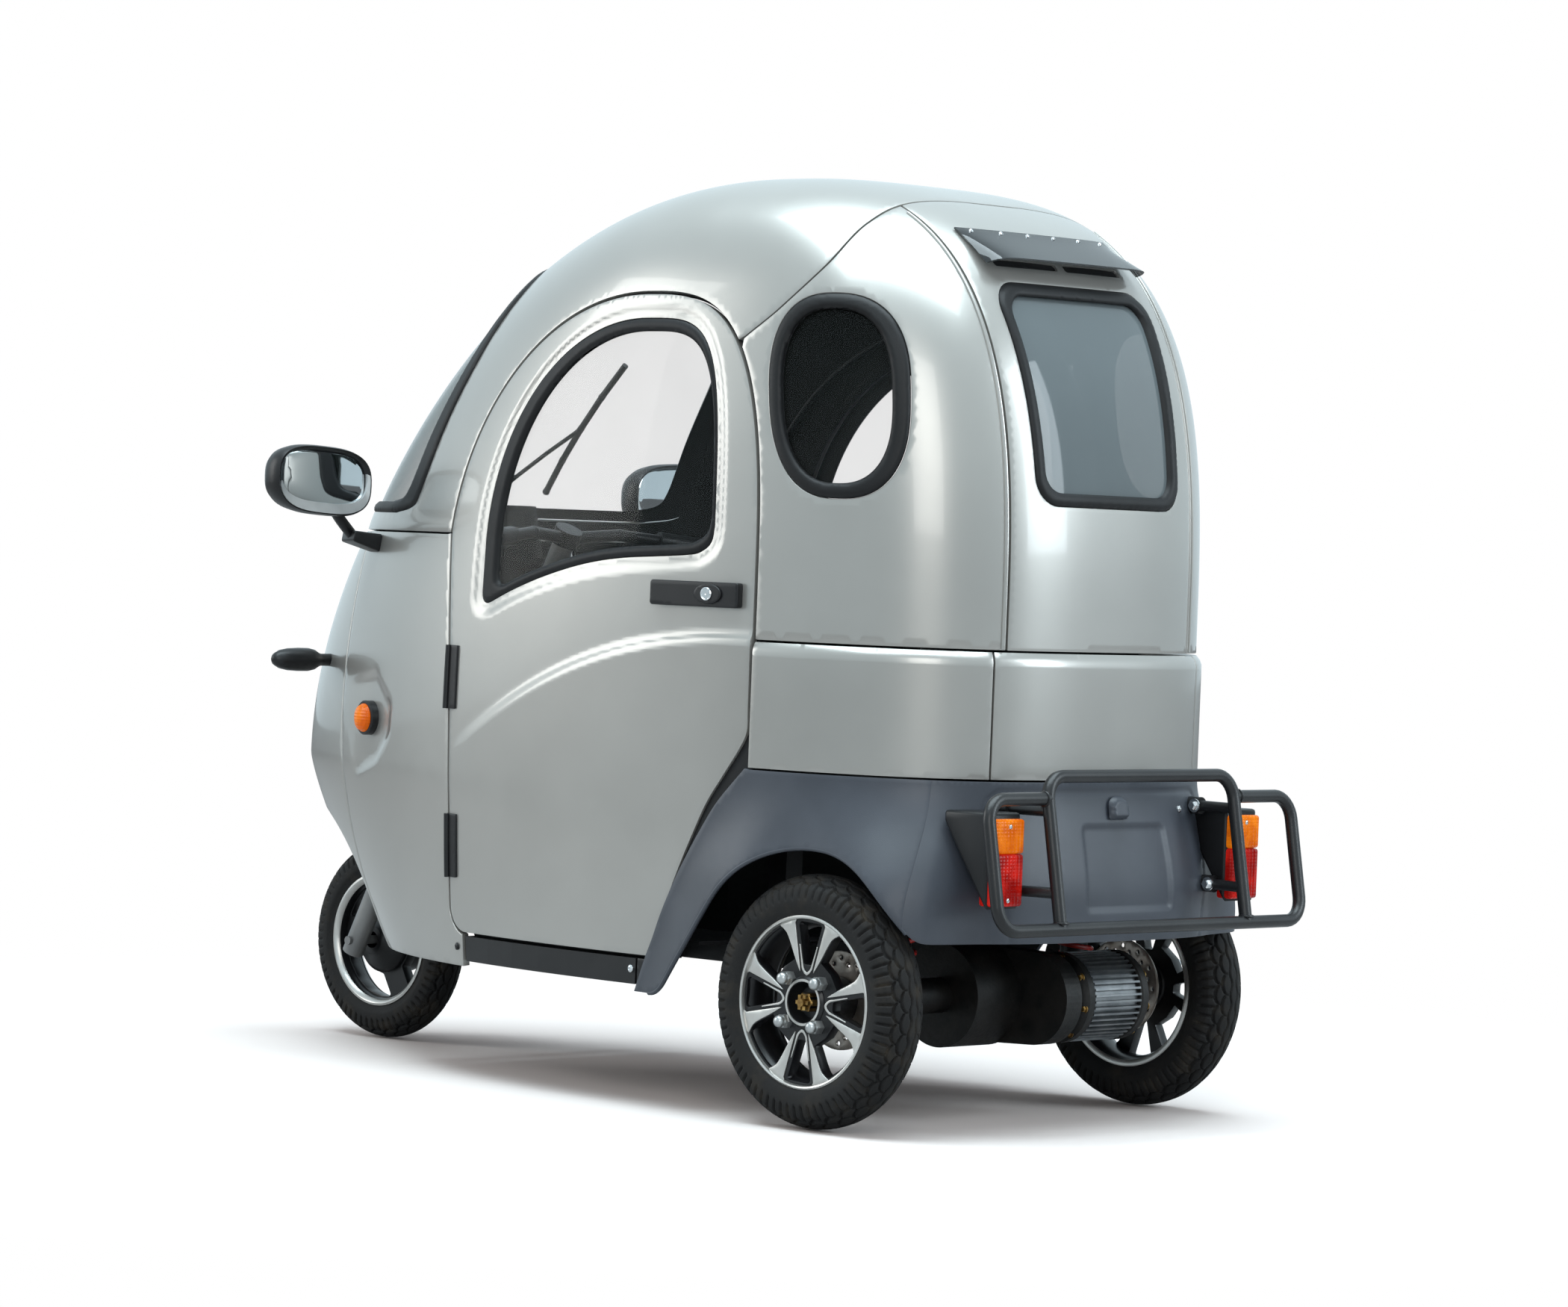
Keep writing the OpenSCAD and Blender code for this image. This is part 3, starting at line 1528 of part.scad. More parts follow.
module rear_rim_right() {
    rear_wheel_at(-1)
        rear_rim();
}
module front_at() {
    from_axle()
        translate([wheelbase, 0, front_r])
            children();
}
module front_tyre() {
    color(rubber)
        front_at()
            tyre(front_r, front_w, front_lip_r);
}
front_hub_r = 62;
front_hub_w = 100;
front_web_t = 16;
front_spokes = 3;
front_spoke_w = 50;
front_spoke_turn = 8;
module front_rim() {
    color(metal)
        front_at()
            rotate([90, 0, 0]) {
                barrel(front_lip_r, front_w - 2 * wall_set);
                difference() {
                    union() {
                        cylinder(h = front_hub_w, r = front_hub_r, center = true);
                        for (k = [0 : front_spokes - 1])
                            rotate([0, 0, k * 360 / front_spokes + front_spoke_turn])
                                translate([0, -front_spoke_w / 2, -front_web_t / 2])
                                    cube([front_lip_r - rim_t * 3 / 2, front_spoke_w, front_web_t]);
                    }
                    cylinder(h = 2 * front_hub_w, r = axle_r + run_clear, center = true);
                }
            }
}

// Rear axle, motor and springs
tube_in = 80;
axle_out = 35;
gear_y = -60;
gear_w = 120;
gear_r = 88;
case_r = 82;
motor_x = -112;
motor_y = -30;
motor_ring = 22;
fin_share = 0.55;
fin_deep = 7;
module rear_axle() {
    color(dark)
        from_axle()
            translate([0, 0, rear_r])
                rotate([90, 0, 0]) {
                    cylinder(h = track - 2 * tube_in, r = axle_tube_r, center = true);
                    cylinder(h = track + 2 * axle_out, r = axle_end_r - run_clear, center = true);
                    translate([0, 0, gear_y])
                        cylinder(h = gear_w, r = gear_r, center = true);
                    translate([0, 0, -motor_y - gear_w / 3])
                        linear_extrude(height = gear_w / 3 - clear)
                            hull() {
                                circle(case_r);
                                translate([motor_x, 0])
                                    circle(motor_r + 2 * eps);
                            }
                }
}
// The motor's body with fins along it between two plain end rings
module drive_motor() {
    half_pitch = 180 / motor_fins;
    color(metal)
        from_axle()
            translate([motor_x, motor_y, rear_r])
                rotate([90, 0, 0]) {
                    linear_extrude(height = motor_len)
                        polygon([for (k = [0 : motor_fins - 1], s = [-fin_share, fin_share, 1 - fin_share / 2, 1 + fin_share / 2])
                            let (a = (2 * k + s) * half_pitch)
                            let (r = s < 0.6 ? motor_r : motor_r - fin_deep)
                            [r * cos(a), r * sin(a)]]);
                    for (z = [0, motor_len - 2 * motor_ring])
                        translate([0, 0, z])
                            cylinder(h = z > 0 ? 2 * motor_ring : motor_ring, r = motor_r + eps);
                }
}
module shocks() {
    base = rear_r + axle_tube_r + clear;
    color(red)
        both_sides()
            from_axle()
                translate([0, rail_y, base])
                    cylinder(h = kick_z - clear - base, r = spring_r);
}

chassis();
battery_pack();
roof_shell();
quarter_left();
quarter_right();
tail_panel();
band_left();
band_right();
band_tail();
nose_centre();
nose_left();
nose_right();
fender_left();
fender_right();
tail_valance();
sills();
windscreen();
screen_seal();
rear_panes();
rear_seals();
tail_visor();
tail_lamps();
rear_rack();
front_signals();
headlamp();
mirrors();
wiper();
dashboard();
driver_seat();
rear_bench();
rear_axle();
drive_motor();
shocks();
door_left();
door_left_pane();
door_right();
door_right_pane();
fork();
handlebar();
front_tyre();
front_rim();
rear_tyre_left();
rear_rim_left();
rear_tyre_right();
rear_rim_right();
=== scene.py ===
"""Looks of the closed electric tricycle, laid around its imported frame. Metres, +X forward, +Y left, +Z up."""
import json
import math

import bmesh
import bpy
import numpy as np
from mathutils import Matrix, Vector
from mathutils.geometry import delaunay_2d_cdt
from mathutils.kdtree import KDTree


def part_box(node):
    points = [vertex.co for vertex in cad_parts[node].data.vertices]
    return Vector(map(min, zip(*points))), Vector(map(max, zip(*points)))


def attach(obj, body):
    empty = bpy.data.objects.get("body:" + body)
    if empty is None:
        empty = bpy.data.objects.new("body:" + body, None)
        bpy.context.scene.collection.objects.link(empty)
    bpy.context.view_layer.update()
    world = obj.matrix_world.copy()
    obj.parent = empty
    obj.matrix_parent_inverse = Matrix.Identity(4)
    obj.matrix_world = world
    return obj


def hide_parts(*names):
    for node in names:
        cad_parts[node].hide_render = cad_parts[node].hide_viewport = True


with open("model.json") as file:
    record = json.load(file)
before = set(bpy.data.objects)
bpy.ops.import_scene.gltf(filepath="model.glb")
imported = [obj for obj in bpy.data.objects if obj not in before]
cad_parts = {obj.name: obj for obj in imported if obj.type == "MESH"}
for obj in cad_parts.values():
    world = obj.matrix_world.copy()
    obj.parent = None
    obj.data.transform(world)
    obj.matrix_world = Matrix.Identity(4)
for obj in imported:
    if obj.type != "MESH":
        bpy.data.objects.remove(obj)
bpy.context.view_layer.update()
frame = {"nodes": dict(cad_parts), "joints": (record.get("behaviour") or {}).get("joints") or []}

# Camera: the photograph is taken from behind the left rear wheel, a little under eye level and far
# away, with a long lens. Its place and turn were solved from the wheels, sills and matching sides.
camera_at = Vector((-6.621, 6.933, 0.963))
camera_yaw, camera_pitch, camera_roll = (math.radians(a) for a in (-46.97, -1.19, 2.22))
camera_ahead = Vector((math.cos(camera_pitch) * math.cos(camera_yaw),
                       math.cos(camera_pitch) * math.sin(camera_yaw), math.sin(camera_pitch)))
level_right = Vector((math.sin(camera_yaw), -math.cos(camera_yaw), 0))
level_up = level_right.cross(camera_ahead)
camera_right = math.cos(camera_roll) * level_right + math.sin(camera_roll) * level_up
camera_up = math.cos(camera_roll) * level_up - math.sin(camera_roll) * level_right
camera = bpy.data.objects.new("camera", bpy.data.cameras.new("camera"))
camera.matrix_world = Matrix((camera_right, camera_up, -camera_ahead)).transposed().to_4x4()
camera.location = camera_at
camera.data.sensor_width = 36
camera.data.lens = 123.69
camera.data.clip_end = 100
bpy.context.collection.objects.link(camera)
bpy.context.scene.camera = camera


# Studio: a pale floor under a large overhead softbox with weaker fills at the sides. The backdrop is
# white to the camera and in reflections, and the floor fades into it away from the object.
class Value:
    """A node socket in an expression: arithmetic on it adds Math nodes."""

    def __init__(self, finish, socket):
        self.finish, self.socket = finish, socket

    def _math(self, operation, first, second):
        return self.finish.node("ShaderNodeMath", {"operation": operation}, {0: first, 1: second})

    def __add__(self, other):
        return self._math("ADD", self, other)

    def __radd__(self, other):
        return self._math("ADD", other, self)

    def __sub__(self, other):
        return self._math("SUBTRACT", self, other)

    def __rsub__(self, other):
        return self._math("SUBTRACT", other, self)

    def __mul__(self, other):
        return self._math("MULTIPLY", self, other)

    def __rmul__(self, other):
        return self._math("MULTIPLY", other, self)

    def above(self, edge, width):
        """0 below edge, 1 above edge + width."""
        return self.finish.node("ShaderNodeMapRange", {"interpolation_type": "SMOOTHSTEP"},
                                {"Value": self, "From Min": edge, "From Max": edge + width})


class Finish:
    """A node tree under construction."""

    def __init__(self, owner):
        owner.use_nodes = True
        self.tree = owner.node_tree
        self.tree.nodes.clear()

    def node(self, kind, settings=None, sockets=None, out=0):
        made = self.tree.nodes.new(kind)
        for key, value in (settings or {}).items():
            if key == "stops":
                ramp = made.color_ramp
                while len(ramp.elements) < len(value):
                    ramp.elements.new(0.5)
                for element, (place, colour) in zip(ramp.elements, value):
                    element.position = place
                    element.color = (*colour, 1)
            else:
                setattr(made, key, value)
        for key, value in (sockets or {}).items():
            if isinstance(value, Value):
                self.tree.links.new(value.socket, made.inputs[key])
            else:
                made.inputs[key].default_value = value
        return Value(self, made.outputs[out]) if made.outputs else None

    def blend(self, share, first, second):
        """Colour `first` where share is 0, `second` where it is 1."""
        colours = {key: value if isinstance(value, Value) else (*value, 1)
                   for key, value in ((6, first), (7, second))}
        return self.node("ShaderNodeMix", {"data_type": "RGBA"}, {0: share, **colours}, out=2)


bpy.context.scene.view_settings.view_transform = "Standard"
fill_tone, mirrored_tone, white, fill_strength = (0.80, 0.84, 0.88), (0.78, 0.93, 1.0), (1, 1, 1), 0.42
world = bpy.data.worlds.new("studio")
bpy.context.scene.world = world
sky = Finish(world)
rays = sky.node("ShaderNodeLightPath")
mirrored_ray = Value(sky, rays.socket.node.outputs["Is Glossy Ray"])
through_ray = Value(sky, rays.socket.node.outputs["Is Transmission Ray"])
direct_ray = sky.node("ShaderNodeMath", {"operation": "MAXIMUM"}, {0: rays, 1: through_ray})
shown_ray = sky.node("ShaderNodeMath", {"operation": "MAXIMUM"}, {0: direct_ray, 1: mirrored_ray})
sky.node("ShaderNodeOutputWorld", None, {"Surface": sky.node("ShaderNodeBackground", None, {
    "Color": sky.blend(direct_ray, sky.blend(mirrored_ray, fill_tone, mirrored_tone), white),
    "Strength": fill_strength + (1 - fill_strength) * shown_ray})})
floor_size, floor_z, floor_fade_from, floor_fade_to = 60, -0.002, 1.3, 2.6
floor_tone, bounce_tone = (0.98, 0.91, 0.88), (0.5, 0.5, 0.5)
bpy.ops.mesh.primitive_plane_add(size=floor_size, location=(0, 0, floor_z))
floor = bpy.context.object
floor.name = "floor"
floor_finish = bpy.data.materials.new("floor_pale")
floor.data.materials.append(floor_finish)
pale = Finish(floor_finish)
ground = pale.node("ShaderNodeVectorMath", {"operation": "LENGTH"}, {
    0: pale.node("ShaderNodeTexCoord", out=3)}, out=1)
camera_ray = pale.node("ShaderNodeLightPath")
pale.node("ShaderNodeOutputMaterial", None, {"Surface": pale.node("ShaderNodeMixShader", None, {
    0: camera_ray,
    1: pale.node("ShaderNodeBsdfDiffuse", None, {"Color": (*bounce_tone, 1)}),
    2: pale.node("ShaderNodeMixShader", None, {
        0: ground.above(floor_fade_from, floor_fade_to - floor_fade_from),
        1: pale.node("ShaderNodeBsdfDiffuse", None, {"Color": (*floor_tone, 1)}),
        2: pale.node("ShaderNodeEmission", None, {"Color": (*white, 1), "Strength": 1.0})})})})
# [place, aim, width, height, power, tint]
softboxes = [((-0.6, 0.6, 5.0), (0, 0, 0.6), 5.0, 4.0, 385, (0.80, 0.94, 1.0)),
             ((-4.5, 4.8, 2.8), (0, 0, 0.7), 2.4, 3.2, 82, (1.0, 0.985, 0.96)),
             ((-5.2, -2.6, 2.6), (-0.5, 0, 0.8), 2.0, 3.0, 128, (0.84, 0.94, 1.0)),
             ((4.6, 3.6, 2.4), (0.5, 0.2, 0.7), 2.0, 3.0, 74, (1.0, 0.985, 0.96))]
for number, (place, aim, width, height, power, tint) in enumerate(softboxes):
    lamp = bpy.data.lights.new(f"softbox_{number}", "AREA")
    lamp.shape, lamp.size, lamp.size_y, lamp.energy, lamp.color = "RECTANGLE", width, height, power, tint
    holder = bpy.data.objects.new(f"softbox_{number}", lamp)
    holder.location = place
    holder.rotation_euler = (Vector(aim) - Vector(place)).to_track_quat("-Z", "Y").to_euler()
    bpy.context.collection.objects.link(holder)

# Roof: one large lacquered moulding with the windscreen's frame, the door arches and the screen
# pillars in it. It meets the tail mouldings at a seam over the portholes.
axle_x = next(j["pos_m"][0] for j in frame["joints"] if j["name"] == "rear_wheel_left_spin")
wheelbase = next(j["pos_m"][0] for j in frame["joints"] if j["name"] == "front_wheel_spin") - axle_x
half_width, waist_z, roof_rise = 0.447, 0.850, 0.738
cowl_z, body_low_z, nose_z = 0.955, 0.196, 0.538
wide_x, tail_back, nose_ahead = 0.350, 0.244, 0.125
nose_back, nose_tuck = 0.146, 0.251
side_power, back_power, crown_power, crown_root = 4.34, 2.8, 1.154, 2.251
brow_power, tuck_power, nose_plan, tail_plan = 1.94, 1.272, 2.18, 3.22
roof_z = waist_z + roof_rise
panel_gap = 0.0034


def half_w(z, off=0.0):
    """The body's half width at a level."""
    rise = np.clip((z - waist_z) / (roof_rise + off), 0, 1)
    return (half_width + off) * (1 - rise ** side_power) ** (1 / side_power)


def rear_a(z, off=0.0):
    """The body's reach behind its widest section."""
    rise = np.clip((z - waist_z) / (roof_rise + off), 0, 1)
    return (wide_x + tail_back + off) * (1 - rise ** back_power) ** (1 / back_power)


def front_a(z, off=0.0):
    """The body's reach ahead of its widest section: the crown, the brow and the tuck under the nose."""
    reach = wheelbase + nose_ahead - wide_x
    up = np.clip((z - cowl_z) / (roof_z + off - cowl_z), 0, 1)
    crown = (reach - nose_back + off) * (1 - up ** crown_power) ** (1 / crown_root)
    brow = np.clip((z - nose_z) / (cowl_z - nose_z), 0, 1) ** brow_power * nose_back
    tuck = np.clip((nose_z - z) / (nose_z - body_low_z), 0, None) ** tuck_power * nose_tuck
    return np.where(z >= cowl_z, crown, off + reach - brow - tuck)


def around(angle, z, off=0.0):
    """Points of the body's sections: angle 0 is the nose, 90 the left side, 180 the tail."""
    angle, z, off = np.broadcast_arrays(np.asarray(angle, float), z, off)
    turn = np.radians(np.where(abs(angle) <= 90, abs(angle), 180 - abs(angle)))
    share = np.where(abs(angle) <= 90, 2 / nose_plan, 2 / tail_plan)
    reach = np.where(abs(angle) <= 90, front_a(z, off), -rear_a(z, off))
    x = wide_x + reach * np.clip(np.cos(turn), 0, 1) ** share
    y = np.sign(angle) * half_w(z, off) * np.clip(np.sin(turn), 0, 1) ** share
    return np.stack([x + axle_x, y, z], -1)


def behind_x(x, z, off=0.0):
    """The angle of a place [X, Z] on the rear half, `off` outside the form."""
    return 180 - np.degrees(np.arccos(np.clip((wide_x - x) / rear_a(z, off), 0, 1) ** (tail_plan / 2)))


def at_x(x, z):
    """The angle of a place [X, Z] on the left side."""
    ahead = np.degrees(np.arccos(np.clip((x - wide_x) / front_a(z), 0, 1) ** (nose_plan / 2)))
    return np.where(x >= wide_x, ahead, behind_x(x, z))


def at_tail(y, z):
    """The angle of a place [Y, Z] on the tail's left half."""
    return 180 - np.degrees(np.arcsin(np.clip(y / half_w(z), 0, 1) ** (tail_plan / 2)))


def at_nose(y, z):
    """The angle of a place [Y, Z] on the nose's left half."""
    return np.degrees(np.arcsin(np.clip(y / half_w(z), 0, 1) ** (nose_plan / 2)))


# The unrolled body: lengths around the waist from the nose, and up the side to the roof's middle
girth_angle = np.linspace(0, 180, 6001)
girth_steps = np.linalg.norm(np.diff(around(girth_angle, waist_z), axis=0), axis=1)
girth = np.concatenate([[0], np.cumsum(girth_steps)])
rise_from = 0.1
rise_z = np.concatenate([np.linspace(rise_from, waist_z, 60)[:-1],
                         waist_z + roof_rise * np.sin(np.linspace(0, math.pi / 2, 1500))])
rise_steps = np.hypot(np.diff(rise_z), np.diff(half_w(rise_z)))
rise_len = np.concatenate([[rise_from], rise_from + np.cumsum(rise_steps)])


def unroll(angle, z):
    """Unrolled places of points on the form."""
    angle, z = np.broadcast_arrays(np.asarray(angle, float), np.asarray(z, float))
    length = np.interp(abs(angle), girth_angle, girth)
    return np.stack([np.sign(angle) * length, np.interp(z, rise_z, rise_len)], -1)


def roll(flat, off=0.0, tail=False):
    """Unrolled points laid on the body, `off` outside its form. On the tail lengths count from its middle."""
    length = girth[-1] - abs(flat[:, 0]) if tail else abs(flat[:, 0])
    angle = np.where(flat[:, 0] < 0, -1, 1) * np.interp(length, girth, girth_angle)
    return around(angle, np.interp(flat[:, 1], rise_len, rise_z), off)


def from_side(points):
    """Outline points given as X from the rear axle and Z, unrolled."""
    points = np.asarray(points, float)
    return unroll(at_x(points[:, 0], points[:, 1]), points[:, 1])


def from_tail(points):
    points = np.asarray(points, float)
    side = np.where(points[:, 0] < 0, -1, 1)
    flat = unroll(at_tail(abs(points[:, 0]), points[:, 1]), points[:, 1])
    return np.stack([side * (girth[-1] - flat[:, 0]), flat[:, 1]], -1)


def from_nose(points):
    points = np.asarray(points, float)
    y = points[:, 0]
    return unroll(np.sign(y) * at_nose(abs(y), points[:, 1]), points[:, 1])


def line(*points, step=0.008):
    """A polyline through the points, cut into short steps."""
    points = np.asarray(points, float)
    cuts = [points[:1]]
    for a, b in zip(points[:-1], points[1:]):
        n = max(1, int(np.ceil(np.linalg.norm(b - a) / step)))
        cuts.append(a + (b - a) * (np.arange(1, n + 1) / n)[:, None])
    return np.concatenate(cuts)


def bow(cx, cz, rx, rz, power, a0, a1, n=60):
    """Part of a superellipse."""
    a = np.radians(np.linspace(a0, a1, n))
    return np.stack([cx + np.sign(np.cos(a)) * rx * abs(np.cos(a)) ** (2 / power),
                     cz + np.sign(np.sin(a)) * rz * abs(np.sin(a)) ** (2 / power)], -1)


def curve(*points, step=0.008):
    """A smooth line through the points."""
    p = np.asarray(points, float)
    p = np.concatenate([[2 * p[0] - p[1]], p, [2 * p[-1] - p[-2]]])
    cuts = []
    for a, b, c, d in zip(p[:-3], p[1:-2], p[2:-1], p[3:]):
        t = np.linspace(0, 1, max(2, int(np.ceil(np.linalg.norm(c - b) / step))), endpoint=False)[:, None]
        cuts.append(0.5 * (2 * b + (c - a) * t + (2 * a - 5 * b + 4 * c - d) * t ** 2
                           + (3 * b - a - 3 * c + d) * t ** 3))
    return np.concatenate(cuts + [p[-2:-1]])


def within(points, loops):
    """Which points lie inside an odd number of closed loops."""
    inside = np.zeros(len(points), bool)
    for loop in loops:
        ends = np.roll(loop, -1, 0)
        for (x0, y0), (x1, y1) in zip(loop, ends):
            if y0 != y1:
                crosses = (points[:, 1] < y0) != (points[:, 1] < y1)
                inside ^= crosses & (points[:, 0] < x0 + (points[:, 1] - y0) * (x1 - x0) / (y1 - y0))
    return inside


def nearness(points, loop):
    """Distance of each point from a closed line."""
    best = np.full(len(points), np.inf)
    for p, q in zip(loop, np.roll(loop, -1, 0)):
        d = q - p
        t = np.clip(((points - p) @ d) / max(d @ d, 1e-12), 0, 1)
        best = np.minimum(best, np.hypot(*(points - p - t[:, None] * d).T))
    return best


def ease(value):
    value = np.clip(value, 0, 1)
    return value * value * (3 - 2 * value)


def tidy_loop(loop, least=0.0015):
    """A closed loop without doubled points."""
    kept = [loop[0]]
    for p in loop[1:]:
        if np.linalg.norm(p - kept[-1]) > least:
            kept.append(p)
    if np.linalg.norm(kept[-1] - kept[0]) <= least:
        kept.pop()
    return np.array(kept)


def cut_sheet(loops, spacing, columns=None):
    """Triangles that fill closed outlines, with even points between them."""
    loops = [tidy_loop(np.asarray(loop, float)) for loop in loops]
    border = np.concatenate(loops)
    low, high = border.min(0), border.max(0)
    rows = np.arange(low[1] + spacing / 2, high[1], spacing * 0.87)
    fill = []
    for number, v in enumerate(rows):
        wide = spacing if columns is None else spacing * columns(v)
        u = np.arange(low[0] + (wide / 2 if number % 2 else wide), high[0], wide)
        fill.append(np.stack([u, np.full(len(u), v)], -1))
    fill = np.concatenate(fill)
    fill = fill[within(fill, loops)]
    tree = KDTree(len(border))
    for number, p in enumerate(border):
        tree.insert((*p, 0), number)
    tree.balance()
    fill = np.array([p for p in fill if tree.find((*p, 0))[2] > spacing * 0.55]).reshape(-1, 2)
    edges, start = [], 0
    for loop in loops:
        edges += [(start + k, start + (k + 1) % len(loop)) for k in range(len(loop))]
        start += len(loop)
    points = [Vector(p) for p in np.concatenate([border, fill])]
    flat, _, faces, *_ = delaunay_2d_cdt(points, edges, [], 0, 1e-7)
    flat = np.array([tuple(p) for p in flat])
    faces = np.array([f for f in faces if len(f) == 3])
    faces = faces[within(flat[faces].mean(1), loops)]
    return flat, faces


def piece(name, points, faces, finish, inner=None):
    """A new mesh object from points and faces, smooth, with its finish."""
    mesh = bpy.data.meshes.new(name)
    mesh.from_pydata([tuple(p) for p in points], [], [tuple(int(k) for k in f) for f in faces])
    mesh.polygons.foreach_set("use_smooth", [True] * len(mesh.polygons))
    mesh.materials.append(finish)
    if inner:
        mesh.materials.append(inner)
    made = bpy.data.objects.new(name, mesh)
    bpy.context.collection.objects.link(made)
    return made


def apply_all(made):
    """Makes the result of an object's modifiers its own mesh."""
    bpy.context.view_layer.update()
    shaped = bpy.data.meshes.new_from_object(made.evaluated_get(bpy.context.evaluated_depsgraph_get()))
    made.modifiers.clear()
    made.data = shaped
    return made


def thicken(made, wall, edge, sharp=50, inner=1):
    """Gives a sheet its wall inwards and rounds its edges."""
    solid = made.modifiers.new("wall", "SOLIDIFY")
    solid.thickness, solid.offset = wall, -1
    solid.material_offset = inner
    if edge:
        round_off = made.modifiers.new("edge", "BEVEL")
        round_off.width, round_off.segments = edge, 2
        round_off.limit_method, round_off.angle_limit = "ANGLE", math.radians(sharp)
        round_off.material = 0
    apply_all(made)
    made.data.set_sharp_from_angle(angle=math.radians(sharp))
    return made


def outwards(points, faces, middle):
    """Faces turned so that they look away from the middle."""
    a, b, c = (points[faces[:, k]] for k in range(3))
    inward = np.einsum("ij,ij->i", np.cross(b - a, c - a), (a + b + c) / 3 - middle) < 0
    faces = faces.copy()
    faces[inward] = faces[inward][:, ::-1]
    return faces


cabin_middle = np.array([axle_x + wide_x, 0, waist_z])
roof_pole = Vector((axle_x + wide_x, 0, roof_z))
pole_merge, pole_clear, pole_rim = 0.0004, 0.03, 0.1


def close_pole(made):
    """Merges the points that crowd at the roof's top and closes it there with one face."""
    shell = bmesh.new()
    shell.from_mesh(made.data)
    bmesh.ops.remove_doubles(shell, verts=shell.verts, dist=pole_merge)
    crowd = [v for v in shell.verts if (v.co - roof_pole).length < pole_clear]
    bmesh.ops.delete(shell, geom=crowd, context="VERTS")
    rim = [e for e in shell.edges if e.is_boundary and (e.verts[0].co - roof_pole).length < pole_rim]
    bmesh.ops.holes_fill(shell, edges=rim, sides=0)
    bmesh.ops.recalc_face_normals(shell, faces=shell.faces)
    shell.to_mesh(made.data)
    shell.free()


def panel(name, loops, finish, inner, spacing=0.012, wall=0.014, edge=0.0026, off=0.0, columns=None,
          tail=False, shift=None):
    """A body panel cut to unrolled outlines and laid `off` outside the form, then shifted.

    `off` may be a function of the unrolled points.
    """
    flat, faces = cut_sheet(loops, spacing, columns)
    points = roll(flat, off(flat) if callable(off) else off, tail)
    points = shift(points) if shift else points
    made = piece(name, points, outwards(points, faces, cabin_middle), finish, inner)
    if columns is not None:
        close_pole(made)
    return thicken(made, wall, edge)


def tie(made, node=None, body="cabin"):
    """Hangs a piece on its body and the node that it stands for."""
    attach(made, body)
    if node:
        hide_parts(node)
    return made


def grain(finish, scale, detail=3.0):
    """Noise on the object's own coordinates."""
    return finish.node("ShaderNodeTexNoise", None, {
        "Vector": finish.node("ShaderNodeTexCoord", out=3), "Scale": scale, "Detail": detail})


def surface(name, low, high, rough, metallic=0.0, scale=9.0, rough_spread=0.08, bump=0.0, bump_scale=400.0,
            **shader):
    """A material whose colour drifts between two tones, with its own roughness and fine relief."""
    made = bpy.data.materials.new(name)
    tree = Finish(made)
    sockets = {"Base Color": tree.blend(grain(tree, scale).above(0.3, 0.4), low, high), "Metallic": metallic,
               "Roughness": rough - rough_spread / 2 + rough_spread * grain(tree, scale * 7)}
    if bump:
        sockets["Normal"] = tree.node("ShaderNodeBump", None, {
            "Strength": 1.0, "Distance": bump, "Height": grain(tree, bump_scale, 2.0)})
    sockets.update(shader)
    tree.node("ShaderNodeOutputMaterial", None, {
        "Surface": tree.node("ShaderNodeBsdfPrincipled", None, sockets)})
    return made


paint = surface("silver_lacquer", (0.368, 0.360, 0.340), (0.400, 0.392, 0.371), 0.30, metallic=0.55,
                scale=3.0, rough_spread=0.05, bump=0.00004, bump_scale=900,
                **{"Coat Weight": 0.6, "Coat Roughness": 0.06})
lining = surface("cabin_lining", (0.008, 0.0085, 0.009), (0.014, 0.0145, 0.015), 0.85, bump=0.0004,
                 bump_scale=300, **{"Specular IOR Level": 0.25})

arch_x, arch_z, arch_rise, arch_front, arch_back = 0.450, 0.900, 0.473, 0.497, 0.293
door_foot_x, door_low_z, door_corner, door_gap = 0.905, 0.257, 0.045, 0.006
door_rear_x = arch_x - arch_back
roof_seam = [(0.215, 1.298), (0.142, 1.353), (0.076, 1.426), (0.054, 1.495), (0.052, 1.530)]


def door_arch(grow):
    """The door's top edge from its front foot over to its rear edge."""
    return np.concatenate([bow(arch_x, arch_z, arch_front + grow, arch_rise + grow, 2, 0, 90),
                           bow(arch_x, arch_z, arch_back + grow, arch_rise + grow, 3, 90, 180)[1:]])


def screen_loop(inset):
    """The windscreen's outline as seen from the front: [Y, Z]."""
    top, low, foot, shoulder = 1.452 - inset, 0.988 + inset, 0.346 - inset, 0.284 - inset
    half = np.concatenate([line((0, low), (foot - 0.03, low)),
                           curve((foot - 0.03, low), (foot - 0.006, low + 0.010), (foot, low + 0.036),
                                 (foot - 0.003, 1.12), (foot - 0.014, 1.25), (foot - 0.036, 1.34),
                                 (shoulder - 0.004, 1.40 - inset * 0.5), (shoulder - 0.05, top - 0.022),
                                 (0.13, top - 0.004), (0, top))])
    return np.concatenate([half, half[-2:0:-1] * (-1, 1)])


def roof_columns(v):
    z = np.interp(v, rise_len, rise_z)
    return max(1.0, 0.6 * half_width / max(half_w(z), 0.02))


